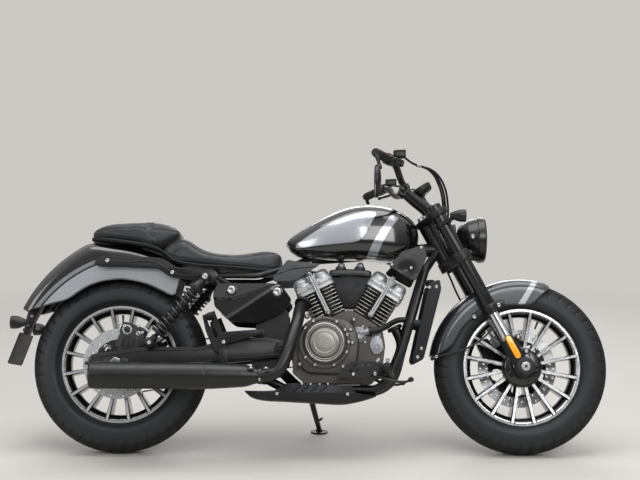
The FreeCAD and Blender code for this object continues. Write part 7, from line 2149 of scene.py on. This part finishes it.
def makeArm():
    pile = Pile()
    axleX, axleZ = rearAxle[0], rearAxle[2]
    outline = (arm["front"] + [(axleX + x * arm["tail"], axleZ + z * arm["rise"]) for x, z in arm["round"]]
               + arm["back"])
    addPlate(pile, outline, arm["low"], arm["high"], 16, 5.0, 0, 6)
    # a raised outline inside each arm, the axle's slot plate, nut and adjuster
    inner = offsetOutline(rounded(np.array(outline, float), 16, 6), 13)
    path = np.stack([inner[:, 0], np.full(len(inner), arm["high"] - 0.4), inner[:, 1]], axis=1)
    addTube(pile, np.concatenate([path, path[:1]]), 2.2, 8, 0, (0, 1, 0))
    addPlate(pile, [(axleX - 46, axleZ - 20), (axleX + 46, axleZ - 20), (axleX + 46, axleZ + 20),
                    (axleX - 46, axleZ + 20)], arm["high"] - 1, arm["high"] + 3.5, 16, 1.2, 0, 6)
    tube = np.array([(axleX - 104, 125.5, axleZ), (axleX - 116, 125.5, axleZ)], float)
    addTube(pile, tube, 6.0, 16, 0, (0, 1, 0))
    addBolts(pile, [(axleX - 116, 125.5, axleZ)], -xAxis, 8, 6, 1, 6)
    ear = [(arm["low"], 0), (arm["low"], 21), (141, 17.5), (145.7, 15), (145.7, 0)]
    addSoft(pile, ear, 1.5, (shock["low"][0], 0, shock["low"][2]), yAxis, 24)
    px, pz = arm["pivot"]
    addSoft(pile, [(arm["high"] - 2, 0), (arm["high"] - 2, 24), (arm["high"] + 2, 23), (arm["high"] + 3, 20),
                   (arm["high"] + 3, 0)], 1, (px, 0, pz), yAxis, 40)
    addBolts(pile, [(px, arm["high"] + 3, pz)], yAxis, 13, 7, 0, 6)
    both = flip(pile)
    for x, z, radius in ((px, pz, 26.0), (-335.0, 368.0, 20.8)):
        half = 100.7 if radius > 22 else arm["low"] + 3
        addSoft(both, [(-half, 0), (-half, radius), (half, radius), (half, 0)], 2, (x, 0, z), yAxis, 32)
    addTurned(both, [(-113, 0), (-113, 10), (113, 10), (113, 0)], (px, 0, pz), yAxis, 24, 1)
    makePiece("swingArm", both, "chassis", [powderBlack, brightBolt], ["swingarm"], smooth=36)
    axle = Pile()
    reach = 145.5
    addTurned(axle, [(-reach, 6.25), (-reach, 12.5), (reach, 12.5), (reach, 6.25)], rearAxle, yAxis, 48)
    addTurned(axle, [(reach, 6.25), (-reach, 6.25)], rearAxle, yAxis, 48)
    for side in (-1, 1):
        start = rearAxle + yAxis * side * 143.2
        hexagon = [(0, 12.6), (0, 20), (1, 21), (9, 21), (10, 19.5), (10, 12.6)]
        for profile in (hexagon, [hexagon[-1], hexagon[0]]):
            addTurned(axle, profile, start, yAxis * side, 6)
    makePiece("rearAxleBolt", axle, "chassis", [brightBolt], ["rear_axle"], smooth=30)


makeArm()


def makeRearBrake():
    pile = Pile()
    centre = np.array(brake["rear"])
    away = unit(centre * (1, 0, 1) - rearAxle)
    angle = math.radians(brake["rearTurn"])
    slotWay = 1 if away @ np.array([math.sin(angle), 0, math.cos(angle)]) > 0 else -1
    addCaliper(pile, centre, brake["rearTurn"], slotWay)
    addPlate(pile, [(-760, 352), (-690, 352), (-655, 430), (-690, 470), (-745, 450)], -111.2, -101.2, 9, 1.6,
             0, 6)
    addSoft(pile, [(0, 0), (0, 30), (4, 29), (5, 24), (5, 0)], 1, (rearAxle[0], -106, rearAxle[2]), -yAxis,
            28)
    # its round silver face, the bolts that clamp the halves, the hose fitting and a ribbed bracket
    face = softProfile([(-6, 0), (-6, 19), (2, 19), (3.5, 17.5), (3.5, 12), (1.5, 11), (1.5, 0)], 0.8)
    addTurned(pile, face, (-720, -108, 455), -yAxis, 32, 2)
    addSoft(pile, [(-6, 0), (-6, 11), (3, 10.5), (4, 9), (4, 0)], 0.8, (-720, -108, 455), -yAxis, 24)
    addBolts(pile, [(-752, -106, 478), (-679, -106, 469)], -yAxis, 6.5, 5, 2)
    addBolts(pile, [(-678, -107, 441)], -yAxis, 9.5, 6, 2)
    addTube(pile, np.array([(-658, -100, 463), (-644, -100, 450)], float), 5.0, 16, 2, (0, 1, 0))
    addPlate(pile, [(-766, 390), (-748, 441), (-690, 432), (-640, 418), (-612, 396), (-640, 386)], -111.0,
             -103.0, 9, 1.6, 0, 6)
    for x in (-738, -718, -698, -678, -658):
        addTube(pile, np.array([(x, -111.5, 396), (x + 6, -111.5, 424)], float), 2.6, 10, 0, (0, 1, 0))
    makePiece("rearCaliper", pile, "chassis", [castBlack, powderBlack, brightBolt],
              ["rear_caliper"], smooth=40)


makeRearBrake()

tail = {"bar": (-1104.0, 476.0), "y": 172.0, "lens": -1137.0, "plateTop": (-1122.0, 446.0),
        "plateBottom": (-1163.0, 330.0), "half": 100.0, "thick": 5.0}


def makeTail():
    pile = Pile()
    x, z = tail["bar"]
    side = Pile()
    addTube(side, curveThrough([(x, 26, z), (x, 80, z), (x, tail["y"], z)], 16), 7.0, 20, 0, (1, 0, 0))
    addSoft(side, [(0, 0), (0, 13), (5, 12), (7, 9), (7, 0)], 1, (x, 28.3, z), yAxis, 24)
    addSignal(side, (tail["lens"], tail["y"], z), -xAxis)
    makePiece("rearSignals", flip(side), "chassis", [powderBlack, mirrorSilver, amberPaintedGlow, lensClear],
              ["rear_lamps"], smooth=36)
    top, bottom = np.array(tail["plateTop"]), np.array(tail["plateBottom"])
    down = unit(bottom - top)
    length = np.linalg.norm(bottom - top)
    back = np.array([down[1], -down[0]])
    if back[0] > 0:
        back = -back

    def onBoard(along, across, out):
        flat = top + down * along + back * out
        return np.array([flat[0], across, flat[1]])

    def board(low, high, grow, kind, corner, edge):
        half = tail["half"] + grow
        corners = [(-grow, -half), (length + grow, -half), (length + grow, half), (-grow, half)]
        ring = rounded(np.array(corners, float), corner, 8)
        rows = []
        for out, inset in ((low, edge), (low + edge, 0), (high - edge, 0), (high, edge)):
            row = offsetOutline(ring, inset)
            rows.append([onBoard(a, b, out) for a, b in row])
        pile.grid(np.array(rows), kind, around=True, ends=True)

    board(-tail["thick"], 0.0, 0.0, 0, 12, 1.2)
    board(0.0, 1.6, -6.0, 1, 10, 0.5)
    for across in (-60, 60):
        addBolts(pile, [onBoard(length * 0.14, across, 1.4)], unit(onBoard(0, 0, 1) - onBoard(0, 0, 0)), 5.5,
                 3, 2, 20)
    # lamp over the plate, its hood and the arm up to the fender
    hood = [onBoard(-12, b, 8.0) for b in np.linspace(-24, 24, 9)]
    addTube(pile, np.array(hood), [3, 6, 7.5, 8, 8, 8, 7.5, 6, 3], 16, 0, (0, 0, 1))
    outline = [(-1114, 520), (-1128, 446), (-1112, 438), (-1088, 498), (-1062, 548), (-1047, 580),
               (-1062, 612), (-1086, 602)]
    addPlate(pile, outline, -28, 28, 7, 3.0, 0, 5)
    for dx, dz in ((-1096, 512), (-1106, 478)):
        addBolts(pile, [(dx, 28, dz)], yAxis, 6, 4, 2)
        addBolts(pile, [(dx, -28, dz)], -yAxis, 6, 4, 2)
    makePiece("plateBracket", pile, "chassis", [mouldedBlack, blankPlate, brightBolt],
              ["plate_bracket"], smooth=36)


makeTail()

belt = {"front": (-75.0, 385.0), "low": 82.3, "high": 97.7, "frontRadius": 45.0, "rearRadius": 105.0,
        "pulley": 99.0}


def beltRun(frontRadius, rearRadius, step):
    # round the small circle, along the tangent, round the big one and back
    a, b = np.array(belt["front"]), rearAxle[[0, 2]]
    span = np.linalg.norm(a - b)
    base = math.atan2(*(a - b)[::-1])
    out = math.acos((rearRadius - frontRadius) / span)
    small = np.linspace(base - out, base + out, max(8, int(2 * out * frontRadius / step)))
    big = np.linspace(base + out, base + 2 * np.pi - out, int((2 * np.pi - 2 * out) * rearRadius / step))
    one = a + frontRadius * np.stack([np.cos(small), np.sin(small)], axis=1)
    two = b + rearRadius * np.stack([np.cos(big), np.sin(big)], axis=1)
    runs = []
    for start, end in ((one[-1], two[0]), (two[-1], one[0])):
        count = int(np.linalg.norm(end - start) / step)
        share = np.linspace(0, 1, count + 1)[1:-1, None]
        runs.append(start * (1 - share) + end * share)
    return np.concatenate([one, runs[0], two, runs[1]])


def makeBelt():
    pile = Pile()
    path = beltRun(belt["frontRadius"] + 3, belt["rearRadius"] + 3, 3.0)
    way = unit(np.roll(path, -1, axis=0) - np.roll(path, 1, axis=0))
    outward = np.stack([way[:, 1], -way[:, 0]], axis=1)
    steps = np.arange(len(path))
    tooth = 0.5 + 0.5 * np.clip(np.cos(2 * np.pi * steps / 4) * 1.8, -1, 1)
    edgeOut, edgeIn = path + outward * 2.8, path - outward * (0.4 + 2.4 * tooth)[:, None]
    low, high = belt["low"], belt["high"]
    ring = []
    for edge, y in ((edgeIn, low), (edgeOut, low), (edgeOut, high), (edgeIn, high)):
        ring.append(np.stack([edge[:, 0], np.full(len(edge), y), edge[:, 1]], axis=1))
    surface = np.stack(ring)
    surface = np.concatenate([surface, surface[:1]])
    pile.grid(surface, 0, around=True)
    hub = [(low, 0), (low, 47.5), (low + 1, 48), (high - 1, 48), (high, 47.5), (high, 30), (high - 3, 28),
           (high - 3, 18), (high, 17), (high, 0)]
    addSoft(pile, hub, 0.6, (belt["front"][0], 0, belt["front"][1]), yAxis, 44, 1)
    addBolts(pile, [(belt["front"][0], high, belt["front"][1])], yAxis, 14, 8, 2, 6)
    makePiece("driveBelt", pile, "chassis", [softRubber, powderBlack, brightBolt],
              ["drive_belt"], smooth=30)
    wheel = Pile()
    radius = belt["pulley"]
    teeth = 62
    turn = np.linspace(0, 2 * np.pi, teeth * 6, endpoint=False)
    wave = radius - 2.6 * (0.5 - 0.5 * np.clip(np.cos(turn * teeth) * 1.8, -1, 1))
    rim = [(low + 0.2, radius - 14), (low + 0.2, radius - 3), (low + 2, None), (high - 2, None),
           (high - 0.2, radius - 3), (high - 0.2, radius - 14)]
    rows = []
    for y, r in rim:
        reach = wave if r is None else np.full(len(turn), r)
        rows.append(np.stack([rearAxle[0] + reach * np.cos(turn), np.full(len(turn), y),
                              rearAxle[2] + reach * np.sin(turn)], axis=1))
    surface = np.stack(rows)
    wheel.grid(np.concatenate([surface, surface[:1]]), 0, around=True)
    web = [(low + 3, 13), (low + 3, radius - 12), (high - 4, radius - 12), (high - 4, 60), (high - 1, 56),
           (high - 0.4, 52), (high - 0.4, 13)]
    for profile in (web, [web[-1], web[0]]):
        addTurned(wheel, profile, rearAxle, yAxis, 96)
    turn = np.radians(np.arange(5) * 72)
    addBolts(wheel, np.stack([rearAxle[0] + 40 * np.cos(turn), np.full(5, high - 0.6),
                              rearAxle[2] + 40 * np.sin(turn)], axis=1), yAxis, 7.5, 5, 1)
    turn = np.radians(np.arange(10) * 36 + 18)
    pads = np.stack([rearAxle[0] + 72 * np.cos(turn), np.full(10, high - 4.2),
                     rearAxle[2] + 72 * np.sin(turn)], axis=1)
    for place in pads:
        addSoft(wheel, [(0, 0), (0, 8.5), (1.2, 8.5), (1.8, 7.5), (0.6, 7), (0.6, 0)], 0.3, place, yAxis, 24,
                2)
    makePiece("rearPulley", wheel, "rear_wheel", [powderBlack, brightBolt, sheathBlack],
              ["rear_pulley"], smooth=30)


makeBelt()

stand = {"pivot": (-45.0, 178.0, 236.0), "ahead": 40.0, "footY": 330.0, "sole": 34.0, "thick": 8.0}


def makeStand():
    pile = Pile()
    pivot = np.array(stand["pivot"])
    sole = np.array([pivot[0] + stand["ahead"], stand["footY"], stand["footY"] * math.tan(lean)])
    up = np.array([0, -math.sin(lean), math.cos(lean)])
    down = unit(sole - pivot)
    axis = unit(np.cross(down, [-0.975, 0.13, -0.18]))
    top = sole + up * stand["thick"]
    run = curveThrough([pivot, pivot * 0.5 + top * 0.5, top + up * 5.5], 24)
    flatness = np.linspace(12.5, 9.5, 24)
    addTube(pile, run, flatness, 28, 0, axis)
    addSoft(pile, [(0, 0), (0, 32), (1.5, stand["sole"]), (5, stand["sole"]), (7, 31), (8, 24), (8, 0)], 1.2,
            sole, up, 40)
    addSoft(pile, [(7, 0), (7, 17), (13, 12), (16, 9), (16, 0)], 2, sole, up, 24)
    hub = [(-14, 6.1), (-14, 13), (-12, 15), (12, 15), (14, 13), (14, 6.1)]
    for profile in (hub, [hub[-1], hub[0]]):
        addTurned(pile, profile, pivot, axis, 48)
    # heel tab that a boot pushes
    heel = top * 0.72 + pivot * 0.28
    addTube(pile, curveThrough([heel, heel + unit([0.95, 0.2, 0.1]) * 14,
                                heel + unit([0.95, 0.25, 0.4]) * 26], 10), [4, 4.5, 5, 5, 5, 5, 5, 4.8, 4.2,
                                        2.6], 14, 0, (0, 0, 1))
    makePiece("sideStand", pile, "side_stand", [powderBlack], ["side_stand"], smooth=40)


makeStand()

cooler = {"outline": [(350, 338), (340, 352), (404, 640), (444, 650), (448, 612), (380, 352)], "half": 108.0}


def makeRadiator():
    pile = Pile()
    half = cooler["half"]
    outline = np.array(cooler["outline"], float)
    # side shrouds, tanks and the finned core between them
    for side in (-1, 1):
        low, high = sorted((side * (half - 17), side * half))
        addPlate(pile, outline, low, high, 9, 4.5, 0, 6)
    foot, head = np.array((380.0, 352.0)), np.array((448.0, 612.0))
    run = head - foot
    length = np.linalg.norm(run)
    up = run / length
    back = np.array([-up[1], up[0]])
    for low, high in ((4, 24), (length - 16, length + 14)):
        quad = [foot + up * low, foot + up * high, foot + up * high + back * 30, foot + up * low + back * 30]
        addPlate(pile, quad, -half + 14, half - 14, 8, 2.5, 0, 5)
    core = [foot + up * 22 + back * 7, foot + up * (length - 14) + back * 7,
            foot + up * (length - 14) + back * 30, foot + up * 22 + back * 30]
    addPlate(pile, core, -half + 15, half - 15, 1.5, 0.6, 1, 3)
    tubes = int((length - 44) / 9)
    for i in range(tubes):
        at = foot + up * (27 + i * 9) + back * 5.6
        ring = [at - up * 1.1, at + up * 1.1, at + up * 1.1 + back * 3, at - up * 1.1 + back * 3]
        addPlate(pile, ring, -half + 16, half - 16, 0.5, 0.2, 1, 2)
    y = np.arange(-half + 20, half - 19, 6.0)
    step = 0.5
    fins = Pile()
    quad = [foot + up * 24 + back * 6.4, foot + up * (length - 16) + back * 6.4,
            foot + up * (length - 16) + back * 9, foot + up * 24 + back * 9]
    addPlate(fins, quad, -step, step, 0.4, 0.1, 1, 2)
    pile.copies(fins, np.tile(np.eye(3), (len(y), 1, 1)), np.stack([0 * y, y, 0 * y], axis=1))
    for side in (-1, 1):
        for x, z in ((404, 620), (430, 622), (358, 360), (372, 392)):
            addBolts(pile, [(x, side * half, z)], yAxis * side, 6.5, 4, 2)
        start = np.array([344.0, side * 95.0, 488.0])
        addTube(pile, np.array([start, start + (26, 0, -2)]), 12, 24, 0, (0, 1, 0))
    # filler neck and hoses at the top
    addSoft(pile, [(0, 0), (0, 15), (12, 15), (14, 20), (20, 20), (22, 18), (22, 0)], 1.2, (420, 62, 644),
            unit([-0.1, 0, 1]), 24)
    makePiece("radiator", pile, "chassis", [mouldedBlack, finBlack, brightBolt],
              ["radiator"], smooth=34)


makeRadiator()


print("stage: finishes on the frame's own pieces")
nodeFinish = {"frame": powderBlack, "engine_case": bronzeCase}
for label, material in nodeFinish.items():
    mesh = frame["nodes"][label].data
    mesh.materials.clear()
    mesh.materials.append(material)

print("stage: done")
